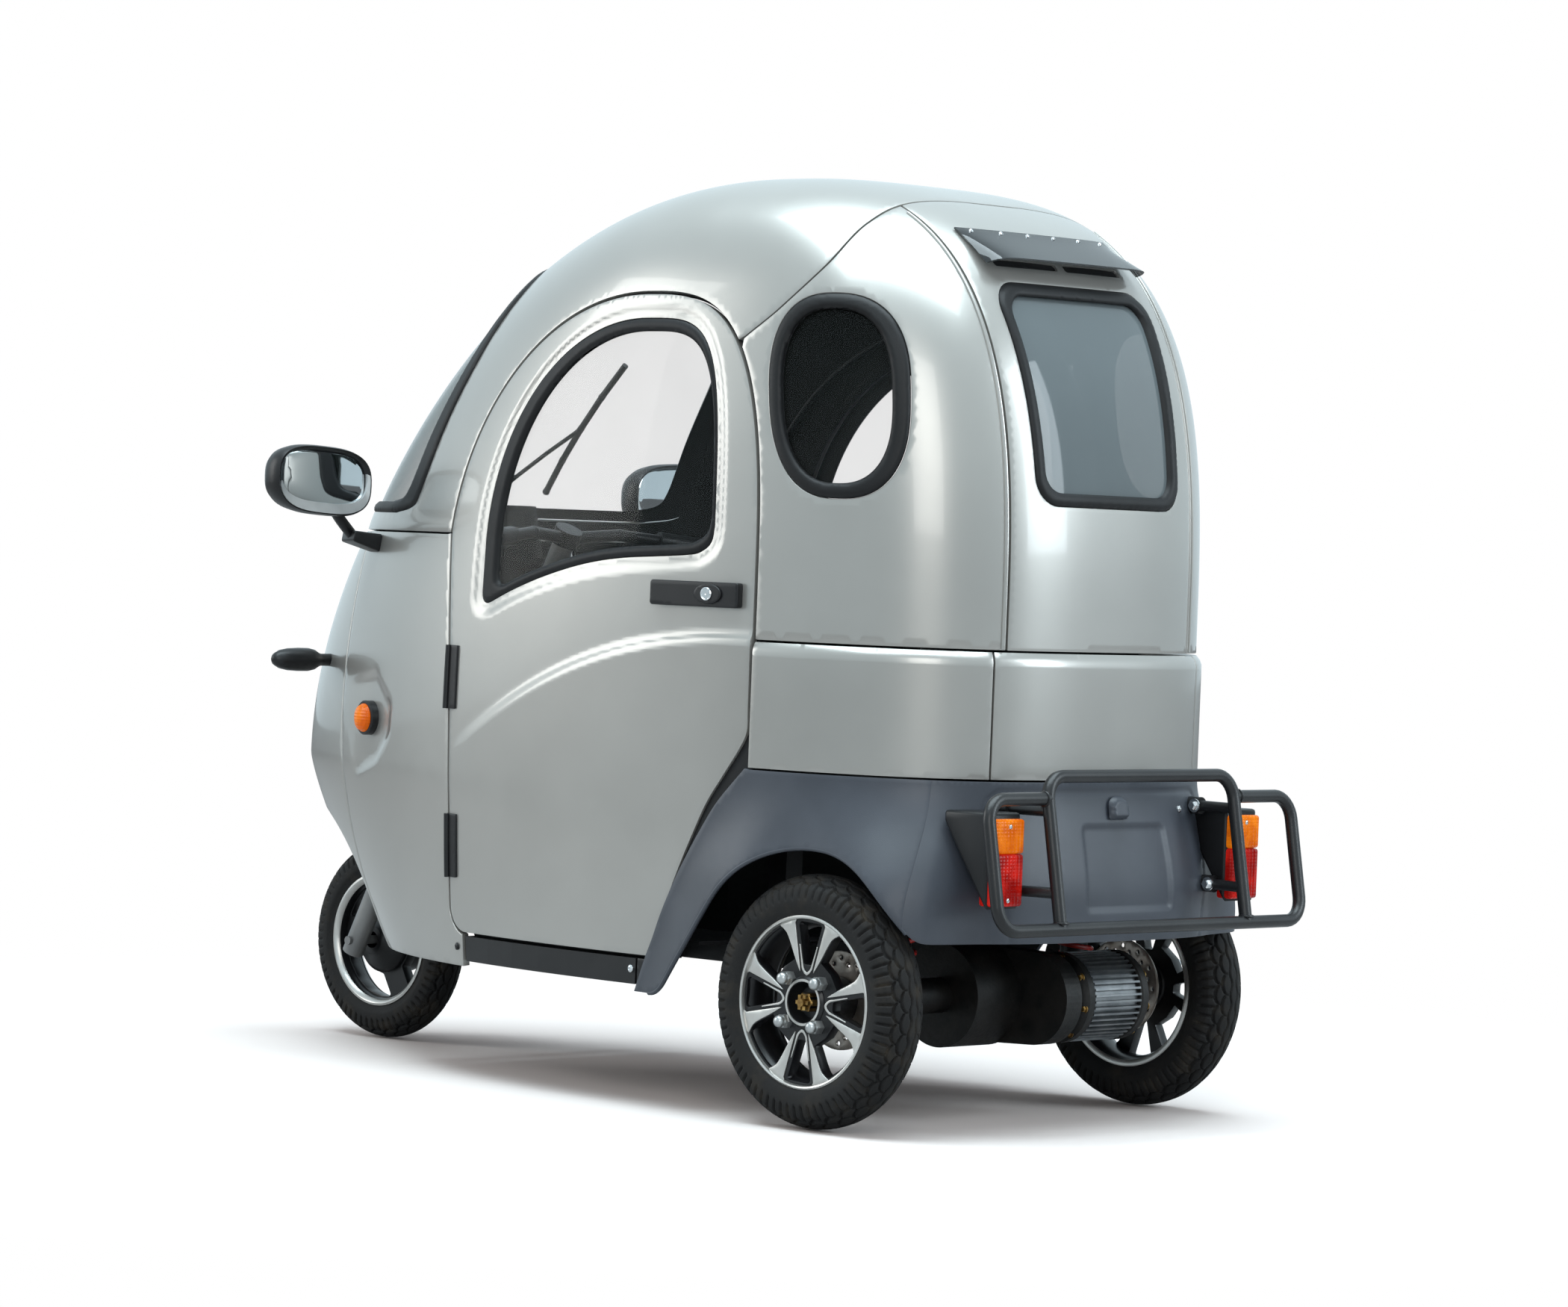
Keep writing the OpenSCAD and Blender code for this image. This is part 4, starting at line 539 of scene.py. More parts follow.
def roof_outline():
    """The roof's unrolled edge: cowl, door arch, the seam over the porthole and the cut across the tail."""
    arch = door_arch(door_gap)
    start = np.argmax(arch[:, 1] > cowl_z + panel_gap / 2)
    seam = curve(*roof_seam) + (panel_gap / 2, 0)
    meets = len(arch) - 1 - np.argmin(np.hypot(*(arch - seam[0]).T)[::-1])
    arch = arch[start:meets + 1]
    cowl_end = unroll(at_x(*arch[0]), arch[0, 1])[0]
    cowl_row = np.interp(cowl_z + panel_gap / 2, rise_z, rise_len)
    cowl = np.stack([np.linspace(0, cowl_end, 130), np.full(130, cowl_row)], -1)
    side = from_side(np.concatenate([arch, seam[1:]]))
    x = seam[-1, 0]
    z = np.linspace(seam[-1, 1], roof_z - 0.0005, 400)
    z = z[rear_a(z) > wide_x - x]
    across = from_side(np.stack([np.full(len(z), x), z], -1))
    last, pole = np.array([girth[-1], across[-1, 1]]), np.array([girth[-1], rise_len[-1]])
    half = np.concatenate([cowl, side, across, [last]])
    top = np.stack([np.linspace(girth[-1], -girth[-1], 24), np.full(24, rise_len[-1])], -1)
    back = line(last, pole, step=0.012)[1:-1]
    return np.concatenate([half, back, top, (back * (-1, 1))[::-1], (half * (-1, 1))[:0:-1]])


roof = panel("roof", [roof_outline(), from_nose(screen_loop(0.0))], paint, lining, columns=roof_columns)
tie(roof, "roof_shell")

# Rear quarters: lacquered mouldings round the rear corners, each with a porthole. They close against
# the door's rear edge, the roof and the tail panel at narrow seams.
band_low_z, band_top_z, band_out = 0.585, 0.797, 0.009
tail_half = 0.235
port_x, port_z, port_half, port_rise, port_lean = 0.023, 1.206, 0.124, 0.170, 0.13


def port_loop(inset):
    a = np.radians(np.arange(0, 360, 3))
    x = np.sign(np.cos(a)) * (port_half - inset) * abs(np.cos(a)) ** 0.8
    z = np.sign(np.sin(a)) * (port_rise - inset) * abs(np.sin(a)) ** 0.8
    return np.stack([port_x + x + port_lean * z, port_z + z], -1)


def level(u0, u1, z, step=0.01):
    """A line at one level between two unrolled lengths."""
    n = max(2, int(abs(u1 - u0) / step))
    return np.stack([np.linspace(u0, u1, n), np.full(n, np.interp(z, rise_z, rise_len))], -1)


def quarter_outline():
    low = band_top_z + panel_gap / 2
    arch = door_arch(door_gap)[::-1]
    seam = curve(*roof_seam) - (panel_gap / 2, 0)
    meets = np.argmin(np.hypot(*(arch - seam[0]).T))
    door_edge = np.concatenate([line((door_rear_x - door_gap, low), arch[0]), arch[1:meets], seam])
    z = np.linspace(seam[-1, 1], low, 90)
    back = unroll(at_tail(tail_half + panel_gap / 2, z), z)
    side = from_side(door_edge)
    side = side[side[:, 0] < back[0, 0]]
    return np.concatenate([side, back, level(back[-1, 0], side[0, 0], low)[1:-1]])


def mirrored(made, name):
    """The same piece for the other side."""
    mesh = made.data.copy()
    mesh.transform(Matrix.Diagonal((1, -1, 1, 1)))
    mesh.flip_normals()
    twin = bpy.data.objects.new(name, mesh)
    bpy.context.collection.objects.link(twin)
    return twin


def both_sides(made, name, node=None, body="cabin"):
    """A left piece and its twin, tied to their bodies and nodes."""
    twin = mirrored(made, f"{name}_right")
    for one, side in ((made, "left"), (twin, "right")):
        one.name = f"{name}_{side}"
        tie(one, node and node.format(side), body.format(side))


quarter = panel("quarter_left", [quarter_outline(), from_side(port_loop(0))], paint, lining)
both_sides(quarter, "quarter", "quarter_{}")

# Tail panel: the upright lacquered moulding between the quarters, with the rear window and two vent
# slots cut through it under the smoked visor.
window_low, window_top, window_half = 1.037, 1.408, 0.198
window_taper, window_corner = 0.014, 0.050
slot_y, slot_z, slot_len, slot_h, slot_corner = 0.086, 1.440, 0.154, 0.013, 0.005


def rounded(corners, radii, n=8):
    """A closed outline with filleted corners."""
    corners = np.asarray(corners, float)
    radii = np.broadcast_to(radii, len(corners))
    out = []
    for k, r in enumerate(radii):
        p, a, b = corners[k], corners[k - 1], corners[(k + 1) % len(corners)]
        da, db = (a - p) / np.linalg.norm(a - p), (b - p) / np.linalg.norm(b - p)
        half = math.acos(max(-1, min(1, float(da @ db)))) / 2
        reach = r / math.tan(half)
        middle = p + (da + db) / np.linalg.norm(da + db) * r / math.sin(half)
        t0, t1 = p + da * reach - middle, p + db * reach - middle
        a0, a1 = math.atan2(*t0[::-1]), math.atan2(*t1[::-1])
        turn = (a1 - a0 + math.pi) % (2 * math.pi) - math.pi
        out += [middle + r * np.array([math.cos(a0 + turn * j / n), math.sin(a0 + turn * j / n)])
                for j in range(n + 1)]
    return np.array(out)


def denser(loop, step=0.01):
    """A closed outline with extra points on its long runs."""
    return line(*loop, loop[0], step=step)[:-1]


def window_loop(inset):
    """The tail window's outline [Y, Z], a little narrower at its foot."""
    top, low = window_top - inset, window_low + inset
    wide, foot = window_half - inset, window_half - window_taper - inset
    corners = [(-foot, low), (foot, low), (wide, top), (-wide, top)]
    return denser(rounded(corners, window_corner - inset * 0.6))


def to_tail(flat):
    return np.stack([np.where(flat[:, 0] < 0, -1, 1) * (girth[-1] - abs(flat[:, 0])), flat[:, 1]], -1)


def tail_outline():
    low, y = band_top_z + panel_gap / 2, tail_half - panel_gap / 2
    x = roof_seam[-1][0] - panel_gap / 2
    z = np.linspace(low, 1.56, 800)
    angle = at_tail(y, z)
    top = np.argmax(around(angle, z)[:, 0] - axle_x > x)
    edge = unroll(angle, z)[:top:6]
    z = np.linspace(z[top], roof_z, 600)
    z = z[rear_a(z) > wide_x - x][::4]
    across = from_side(np.stack([np.full(len(z), x), z], -1))
    half = to_tail(np.concatenate([edge, across[1:]]))
    half = half[half[:, 0] > 0.002]
    return np.concatenate([half, (half * (-1, 1))[::-1], level(-half[0, 0], half[0, 0], low)[1:-1]])


def box_corners(x0, x1, z0, z1):
    return [(x0, z0), (x1, z0), (x1, z1), (x0, z1)]


def slot_loop(y, inset):
    """A vent slot's unrolled outline."""
    half, rise = slot_len / 2 - inset, slot_h / 2 - inset
    return from_tail(rounded(box_corners(y - half, y + half, slot_z - rise, slot_z + rise), slot_corner, 4))


slots = [slot_loop(y, 0) for y in (-slot_y, slot_y)]
tail = panel("tail_panel", [tail_outline(), from_tail(window_loop(0)), *slots], paint, lining, spacing=0.010,
             tail=True)
tie(tail, "tail_panel")

# Waist bands: the lacquered belt round the rear, standing 9 mm out under a soft ledge that carries on
# the door's crease. Three mouldings with seams on the tail.
band_half, band_ledge = 0.258, 0.016


def band_relief(flat):
    z = np.interp(flat[:, 1], rise_len, rise_z)
    return band_out * ease((band_top_z - z) / band_ledge)


def band_outline():
    low, top, x = band_low_z + panel_gap / 2, band_top_z - panel_gap / 2, door_rear_x - door_gap
    z = np.linspace(top, low, 24)
    back = unroll(at_tail(band_half + panel_gap / 2, z), z)
    door_edge = from_side(line((x, low), (x, top)))
    return np.concatenate([door_edge, level(door_edge[-1, 0], back[0, 0], top)[1:], back[1:],
                           level(back[-1, 0], door_edge[0, 0], low)[1:-1]])


band = panel("band_left", [band_outline()], paint, lining, spacing=0.009, off=band_relief)
both_sides(band, "band", "band_{}")
z = np.linspace(band_low_z + panel_gap / 2, band_top_z - panel_gap / 2, 24)
edge = to_tail(unroll(at_tail(band_half - panel_gap / 2, z), z))
band_tail = panel("band_tail", [np.concatenate([
    edge, level(edge[-1, 0], -edge[-1, 0], z[-1])[1:-1], (edge * (-1, 1))[::-1],
    level(-edge[0, 0], edge[0, 0], z[0])[1:-1]])], paint, lining, spacing=0.009, off=band_relief, tail=True)
tie(band_tail, "band_tail")

# Nose: a lacquered centre moulding over the front wheel, with a round opening for the headlamp, and two
# sides, each with a shallow recess round its marker lamp. They meet at seams that lean back to the foot.
nose_seam = [(1.302, cowl_z - panel_gap / 2), (1.302, 0.800), (1.302, 0.633), (1.285, 0.491), (1.260, 0.349),
             (1.204, body_low_z)]
door_front = curve((0.905, 0.302), (0.905, 0.420), (0.908, 0.514), (0.919, 0.707), (0.932, 0.844),
                   (0.9436, 0.955))
recess = from_side(rounded([(1.282, 0.686), (1.172, 0.708), (1.104, 0.650), (1.108, 0.590), (1.154, 0.537),
                            (1.246, 0.502)], [0.010, 0.012, 0.030, 0.030, 0.030, 0.020]))
recess_deep, recess_slope, recess_end_x, recess_run = 0.006, 0.016, 1.290, 0.11
nose_foot_x, foot_turn = 0.871, -77.5


def recess_depth(flat):
    """A shallow dish that runs out towards the seam with the nose."""
    inside = np.where(within(flat, [recess]), nearness(flat, recess), 0)
    ahead = recess_end_x - roll(flat)[:, 0] + axle_x
    return -recess_deep * ease(inside / recess_slope) * ease(ahead / recess_run)


def door_toe(grow, turn, n):
    """The door's round lower front corner: [X, Z]."""
    reach = door_corner + grow
    return bow(door_foot_x - door_corner, door_low_z + door_corner, reach, reach, 2, turn, 0, n)


def nose_side_outline():
    corner = door_toe(door_gap, foot_turn, 14)
    foot = np.concatenate([line((nose_foot_x, body_low_z), corner[0])[:-1], corner[:-1]])
    side = from_side(np.concatenate([foot, door_front + (door_gap, 0)]))
    front = from_side(curve(*nose_seam) - (panel_gap / 2, 0))
    return np.concatenate([side, level(side[-1, 0], front[0, 0], nose_seam[0][1])[1:-1], front,
                           level(front[-1, 0], side[0, 0], body_low_z)[1:-1]])


nose_side = panel("nose_left", [nose_side_outline()], paint, lining, spacing=0.009, off=recess_depth)
both_sides(nose_side, "nose", "nose_{}")
wheel_arch_r, wheel_arch_z, lamp_hole_r, headlamp_z = 0.253, 0.185, 0.0845, 0.705
turn = np.radians(np.linspace(2.6, 89, 90))
arch = np.stack([wheelbase - wheel_arch_r * np.cos(turn), wheel_arch_z + wheel_arch_r * np.sin(turn)], -1)
arch = arch[arch[:, 0] < wide_x + front_a(arch[:, 1]) - 0.0002]
seam = from_side(curve(*nose_seam) + (panel_gap / 2, 0))
foot = from_side(arch)
half = np.concatenate([level(0, seam[0, 0], nose_seam[0][1]), seam[1:],
                       level(seam[-1, 0], foot[0, 0], body_low_z)[1:-1], foot])
turn = np.linspace(0, 2 * math.pi, 72, endpoint=False)
lamp_hole = from_nose(np.stack([lamp_hole_r * np.sin(turn), headlamp_z + lamp_hole_r * np.cos(turn)], -1))
nose = panel("nose_centre", [np.concatenate([half, (half * (-1, 1))[:0:-1]]), lamp_hole], paint, lining,
             spacing=0.010)
tie(nose, "nose_centre")

# Fenders and tail valance: dark slate mouldings that flare out over the rear wheels, matt with a soft
# sheen, and lap at their seams. The valance has a hatch line and a shallow field for a plate, left blank.
slate = surface("slate_moulding", (0.034, 0.040, 0.053), (0.045, 0.052, 0.067), 0.46, bump=0.00012,
                bump_scale=700, **{"Coat Weight": 0.08, "Coat Roughness": 0.3})
arch_r, rear_wheel_z, arch_tuck, valance_low, fender_half = 0.252, 0.210, 0.020, 0.320, 0.340
arch_foot_z, arch_foot_r, arch_end_z = 0.36, 0.024, valance_low + 0.016
flare, flare_fall, lead_flare, lead_run = 0.040, 0.20, 0.15, 0.15
haunch_out, seam_lift, seam_lap = 0.064, 0.0004, 0.003
shell_wall, shell_edge = 0.008, 0.0003
# The fender's leading edge and the door's edge ahead of it: [X, Z] from the band down
fender_lead = curve((0.158, 0.585), (0.2134, 0.527), (0.2478, 0.478), (0.2777, 0.4295), (0.3033, 0.384),
                    (0.3287, 0.332), (0.3453, 0.290), (0.3621, 0.2516), (0.3830, body_low_z))
door_heel = curve((0.157, 0.680), (0.1575, 0.646), (0.1720, 0.6175), (0.2060, 0.571), (0.2420, 0.522),
                  (0.2740, 0.463), (0.2985, 0.4144), (0.3205, 0.3662), (0.3540, 0.285), (0.3662, 0.2572))


def flare_out(flat):
    """How far the mouldings stand out: from the band's face at the top to the full flare below."""
    z = np.interp(flat[:, 1], rise_len, rise_z)
    return band_out + (flare - band_out) * ease((band_low_z - z) / flare_fall + 0.02)


def fender_relief(flat):
    """The flare, which starts from nearly nothing at the leading edge."""
    point = roll(flat)
    behind = np.interp(point[:, 2], fender_lead[::-1, 1], fender_lead[::-1, 0]) - point[:, 0] + axle_x
    return band_out + (flare_out(flat) - band_out) * (lead_flare + (1 - lead_flare) * ease(behind / lead_run))


def haunch(points):
    """Stands the fender out sideways behind the wheel, where it covers the tyre."""
    x, y, z = points[:, 0] - axle_x, points[:, 1], points[:, 2]
    back, down = ease((0.05 - x) / 0.24), ease((band_low_z - 0.005 - z) / 0.23)
    out = haunch_out * back * down * ease((abs(y) - 0.285) / 0.06)
    return points + np.stack([0 * x, np.sign(y) * out, 0 * x], -1)


def round_turn(start, knee, end, n=8):
    """A smooth turn from start to end about the knee."""
    t = np.linspace(0, 1, n)[:, None]
    return (1 - t) ** 2 * start + 2 * t * (1 - t) * knee + t ** 2 * end


def fender_arch(z_to):
    """The arch's edge [X, Z]: round the foot's corner, up a straight, over the wheel and down to z_to."""
    start = math.asin((arch_foot_z - rear_wheel_z) / arch_r)
    a = np.linspace(start, math.pi - math.asin((z_to - rear_wheel_z) / (arch_r - arch_tuck)), 80)
    tucked = arch_r - arch_tuck * ease((a - 1.7) / 0.9)
    ring = np.stack([tucked * np.cos(a), rear_wheel_z + tucked * np.sin(a)], -1)
    foot = np.array([ring[0, 0] + (arch_foot_z - body_low_z) * math.tan(start), body_low_z])
    up = (ring[0] - foot) / np.linalg.norm(ring[0] - foot)
    bend_in = round_turn(foot + (arch_foot_r, 0), foot, foot + up * arch_foot_r)
    return np.concatenate([bend_in, line(bend_in[-1], ring[0])[1:-1], ring])


def flared(points):
    """Outline points [X, Z] on the flared form, unrolled."""
    x, z = points.T
    return unroll(behind_x(x, z, fender_relief(from_side(points))), z)


fender_seam = unroll(at_tail(fender_half, band_low_z), band_low_z)[0]


def fender_outline():
    top = band_low_z - panel_gap / 2
    lead, arch = from_side(fender_lead), flared(fender_arch(valance_low))
    arch = arch[arch[:, 0] < fender_seam + seam_lap]
    z = np.linspace(np.interp(arch[-1, 1], rise_len, rise_z), top, 30)
    back = np.stack([np.full(30, fender_seam + seam_lap), np.interp(z, rise_z, rise_len)], -1)
    return np.concatenate([lead, level(lead[-1, 0], arch[0, 0], body_low_z)[1:-1], arch, back,
                           level(back[-1, 0], lead[0, 0], top)[1:-1]])


fender = panel("fender_left", [fender_outline()], slate, lining, spacing=0.009, wall=shell_wall,
               edge=shell_edge, off=lambda flat: fender_relief(flat) + seam_lift, shift=haunch)
both_sides(fender, "fender", "fender_{}")
plate_y, plate_z, plate_half, plate_rise, plate_deep = -0.032, 0.441, 0.106, 0.072, 0.004
hatch_groove, hatch_width = 0.0022, 0.0026
hatch = from_tail(denser(rounded([(-0.212, 0.250), (0.212, 0.250), (0.272, 0.566), (-0.272, 0.566)], 0.030)))
plate_field = from_tail(denser(rounded(box_corners(
    plate_y - plate_half, plate_y + plate_half, plate_z - plate_rise, plate_z + plate_rise), 0.012)))


def valance_relief(flat):
    groove = hatch_groove * np.exp(-(nearness(flat, hatch) / hatch_width) ** 2)
    inside = np.where(within(flat, [plate_field]), nearness(flat, plate_field), 0)
    return flare_out(flat) - groove - plate_deep * ease(inside / 0.006)


def valance_outline():
    """Down the seam with the fender, along the arch's end, round its corner and along the low edge."""
    arch = flared(fender_arch(arch_end_z))
    arch = arch[arch[:, 0] > fender_seam - seam_lap]
    low, top = (np.interp(z, rise_z, rise_len) for z in (valance_low, band_low_z - panel_gap / 2))
    slope = (arch[-1] - arch[-2]) / (arch[-1, 1] - arch[-2, 1])
    knee = arch[-1] + slope * (low - arch[-1, 1])
    corner = round_turn(arch[-1], knee, knee + (0.022, 0))
    edge = to_tail(np.concatenate([[(fender_seam - seam_lap, top)], arch, corner[1:]]))
    edge = line(*edge, step=0.01)[::-1]
    return np.concatenate([edge, level(edge[-1, 0], -edge[-1, 0], band_low_z - panel_gap / 2)[1:-1],
                           (edge * (-1, 1))[::-1], level(-edge[0, 0], edge[0, 0], valance_low)[1:-1]])


valance = panel("tail_valance", [valance_outline()], slate, lining, spacing=0.0055, wall=shell_wall,
                edge=shell_edge, off=valance_relief, tail=True, shift=haunch)
tie(valance, "tail_valance")

# Doors: lacquered shells hung at the front on two black hinges. The lower part stands out below a
# crease that falls and fades to the front, and the skin dips to the window's rubber.
crease_fall, crease_power, crease_out, crease_soft = 0.226, 2.23, 0.009, 0.016
window_dip, window_dip_from, window_dip_run = 0.0035, 0.012, 0.010
window_foot_z, window_toe_r = 0.930, 0.030


def door_outline():
    """The door's edge [X, Z]: over the arch, down its heel, along the foot and up the front."""
    arch = door_arch(0)
    arch = arch[arch[:, 1] > cowl_z + 0.002]
    back = np.concatenate([line((door_rear_x, 0.94), door_heel[0]), door_heel[1:]])
    back = back[back[:, 1] > door_low_z + 0.001]
    corner = door_toe(0, -90, 12)
    sole = np.concatenate([line((door_heel[-1, 0], door_low_z), corner[0]), corner[1:]])
    return tidy_loop(np.concatenate([arch, back, sole, door_front[1:]]))


def door_window(front, back, rise, lift):
    """The door window's outline [X, Z]: arch, rear corner, falling sill and a rounded toe."""
    sill = curve((0.306, 0.934), (0.450, 0.926), (0.550, 0.914), (0.650, 0.892), (0.750, 0.862),
                 (0.849, 0.824)) + (0, lift)
    arc = np.concatenate([bow(arch_x, window_foot_z, front, rise, 2, 2, 90, 50),
                          bow(arch_x, window_foot_z, back, rise, 4, 90, 178, 50)[1:]])
    toe_x, heel_x = arch_x + front, arch_x - back
    toe_z, turn_z = np.interp((toe_x, toe_x - window_toe_r), sill[:, 0], sill[:, 1])
    foot = curve((heel_x, 0.985 + lift), (heel_x + 0.006, 0.958 + lift), (heel_x + 0.026, 0.942 + lift),
                 (heel_x + 0.062, 0.934 + lift), (0.450, 0.926 + lift))
    toe = round_turn(np.array([toe_x - window_toe_r, turn_z]), np.array([toe_x, toe_z]),
                     np.array([toe_x, toe_z + window_toe_r]), 9)
    sill = sill[(sill[:, 0] > 0.453) & (sill[:, 0] < toe_x - window_toe_r - 0.002)]
    return tidy_loop(np.concatenate([arc[arc[:, 1] > toe_z + window_toe_r], foot[foot[:, 1] < 0.99 + lift],
                                     sill, toe]))


window_edge = from_side(door_window(0.391, 0.198, 0.403, 0.0))


def door_relief(flat):
    """The lower part's step below the crease, and the dip to the window's rubber."""
    point = roll(flat)
    x, z = point[:, 0] - axle_x, point[:, 2]
    t = np.clip((x - door_rear_x) / (door_foot_x - door_rear_x), 0, 1)
    crease = band_top_z - crease_fall * t ** crease_power
    fade = np.clip((z - door_low_z) / (crease - door_low_z), 0, 1)
    step = ease((crease + 0.014 - z) / crease_soft)
    lower = crease_out * (1 - t ** 2) * step * np.minimum(1, 0.25 + 0.75 * fade)
    beside = ease((nearness(flat, window_edge) - window_dip_from) / window_dip_run)
    return lower - window_dip * (1 - beside)


door = panel("door_left", [from_side(door_outline()), window_edge], paint, lining, spacing=0.0085, wall=0.016,
             edge=0.002, off=door_relief)
both_sides(door, "door", "door_{}", body="door_{}")

# Glazing: thin clear panes, and a tail window of dark grey glass, held in black rubber profiles. The
# rubber is broad ahead of the door window and narrow behind it.
rubber = surface("black_rubber", (0.0045, 0.0045, 0.005), (0.008, 0.008, 0.009), 0.5, bump=0.00015,
                 bump_scale=500, **{"Specular IOR Level": 0.28})
seal_back, seal_round, seal_edge, seal_spacing = -0.011, 0.005, 0.008, 0.006
pane_wall, pane_spacing = 0.004, 0.014


def glazing(name, tint, clear, glance=0.2, gloss=0.7):
    """Glass as a tinted film with mirror-like sheen, streaked very faintly and denser at a glance."""
    made = bpy.data.materials.new(name)
    tree = Finish(made)
    streak = grain(tree, 6.0)
    slant = tree.node("ShaderNodeLayerWeight", None, {"Blend": 0.5}, out=1)
    film = tree.node("ShaderNodeBsdfPrincipled", None, {
        "Base Color": tree.blend(streak, tint, tuple(c * 1.15 for c in tint)),
        "Roughness": 0.03 + 0.03 * streak, "Specular IOR Level": gloss,
        "Alpha": 1 - clear + 0.04 * streak + glance * slant * slant * slant})
    tree.node("ShaderNodeOutputMaterial", None, {"Surface": film})
    return made


glass = glazing("clear_glass", (0.03, 0.038, 0.036), 0.96)
grey_glass = glazing("grey_glass", (0.13, 0.155, 0.165), 0.26, gloss=0.4)
screen_glass = glazing("screen_glass", (0.07, 0.09, 0.085), 0.95, 0.85, 0.4)


def seal(name, outer, inner, out=0.004, tail=False):
    """A rubber profile between two outlines, rounded across."""
    flat, faces = cut_sheet([outer, inner], seal_spacing)
    inside = np.minimum(nearness(flat, outer), nearness(flat, inner))
    bulge = out - seal_round * (1 - np.minimum(inside / seal_edge, 1)) ** 2
    face, back = roll(flat, bulge, tail), roll(flat, seal_back, tail)
    faces = [tuple(int(k) for k in f) for f in outwards(face, faces, cabin_middle)]
    sides = {(f[k - 1], f[k]) for f in faces for k in range(3)}
    n = len(flat)
    walls = [(b, a, a + n, b + n) for a, b in sides if (b, a) not in sides]
    faces += [tuple(k + n for k in f[::-1]) for f in faces]
    made = piece(name, np.concatenate([face, back]), faces + walls, rubber)
    made.data.set_sharp_from_angle(angle=math.radians(60))
    return made


def pane(name, outline, finish, off=-0.006, tail=False):
    """A thin pane whose edge lies behind its rubber."""
    return panel(name, [outline], finish, finish, spacing=pane_spacing, wall=pane_wall, edge=0.0, off=off,
                 tail=tail)


door_seal_inner = from_side(door_window(0.354, 0.188, 0.380, 0.019))
door_seal = seal("door_seal_left", window_edge, door_seal_inner, out=-0.001)
both_sides(door_seal, "door_seal", body="door_{}")
door_pane = pane("door_pane_left", from_side(door_window(0.372, 0.193, 0.390, 0.010)), glass, off=-0.008)
both_sides(door_pane, "door_pane", "door_{}_pane", body="door_{}")
tail_seal = seal("tail_seal", from_tail(window_loop(0.0005)), from_tail(window_loop(0.023)), tail=True)
tie(tail_seal, "rear_seals")
tie(pane("tail_pane", from_tail(window_loop(0.012)), grey_glass, tail=True), "rear_panes")
port_seal = seal("port_seal_left", from_side(port_loop(0.0005)), from_side(port_loop(0.026)))
both_sides(port_seal, "port_seal")
both_sides(pane("port_pane_left", from_side(port_loop(0.013)), glass), "port_pane")
screen_seal = seal("screen_seal", from_nose(screen_loop(0.0005)), from_nose(screen_loop(0.020)))
tie(screen_seal, "screen_seal")
tie(pane("windscreen", from_nose(screen_loop(0.010)), screen_glass), "windscreen")

# Seam beads and rubber strips: a raised lacquered bead beside each tail seam, a black gasket between
# door and fender, a rolled lip round each rear wheel arch, black pads behind the vent slots, which are
# painted shade standing in for the shade inside the slots, and black rubber strips behind the seams of
# doors, nose and sills, which stand for seals and are partly painted shade that keeps the gaps dark.
# Beads, lips and strips follow their edges as tubes.
def start_tree(name, inputs, output):
    """A geometry tree with named inputs, and its end, where a shape becomes plain mesh in one finish."""
    tree = bpy.data.node_groups.new(name, "GeometryNodeTree")
    for label, kind in (*inputs, ("Finish", "Material")):
        tree.interface.new_socket(label, in_out="INPUT", socket_type=f"NodeSocket{kind}")
    tree.interface.new_socket(output, in_out="OUTPUT", socket_type="NodeSocketGeometry")
    new, link = tree.nodes.new, tree.links.new
    given, result = new("NodeGroupInput"), new("NodeGroupOutput")
    plain, coat = new("GeometryNodeRealizeInstances"), new("GeometryNodeSetMaterial")
    link(plain.outputs["Geometry"], coat.inputs["Geometry"])
    link(given.outputs["Finish"], coat.inputs["Material"])
    link(coat.outputs["Geometry"], result.inputs[output])
    return tree, given.outputs, plain.inputs["Geometry"]


def tube_tree():
    """Sweeps a round section along the edges of a mesh."""
    tree, given, end = start_tree("tube_along_path", (
        ("Path", "Geometry"), ("Radius", "Float"), ("Sides", "Int")), "Tube")
    link = tree.links.new
    path, section, sweep = (tree.nodes.new(f"GeometryNode{kind}") for kind in (
        "MeshToCurve", "CurvePrimitiveCircle", "CurveToMesh"))
    sweep.inputs["Fill Caps"].default_value = True
    link(given["Path"], path.inputs["Mesh"])
    link(given["Sides"], section.inputs["Resolution"])
    link(given["Radius"], section.inputs["Radius"])
    link(path.outputs["Curve"], sweep.inputs["Curve"])
    link(section.outputs["Curve"], sweep.inputs["Profile Curve"])
    link(sweep.outputs["Mesh"], end)
    return tree


tube_nodes = tube_tree()


def grow(made, tree, **values):
    """Runs a node tree on an object and keeps its result as plain mesh."""
    run = made.modifiers.new("grow", "NODES")
    run.node_group = tree
    for socket in tree.interface.items_tree:
        if socket.in_out == "INPUT" and socket.name in values:
            run[socket.identifier] = values[socket.name]
    apply_all(made)
    made.data.polygons.foreach_set("use_smooth", [True] * len(made.data.polygons))
    made.data.set_sharp_from_angle(angle=math.radians(40))
    return made


def tube(name, paths, radius, finish, node=None, sides=12):
    """Tubes along 3-D paths; a path whose ends meet is closed."""
    points, edges = [], []
    for path in paths:
        path = np.asarray(path, float)
        closed = np.linalg.norm(path[0] - path[-1]) < 1e-5
        path = path[:-1] if closed else path
        start = len(points)
        points += [tuple(p) for p in path]
        edges += [(start + k, start + k + 1) for k in range(len(path) - 1)]
        if closed:
            edges.append((start + len(path) - 1, start))
    mesh = bpy.data.meshes.new(name)
    mesh.from_pydata(points, edges, [])
    made = bpy.data.objects.new(name, mesh)
    bpy.context.collection.objects.link(made)
    grow(made, tube_nodes, Radius=radius, Sides=sides, Finish=finish)
    return tie(made, node)


def twice(path):
    """A path and its twin on the other side."""
    return [path, path * (1, -1, 1)]


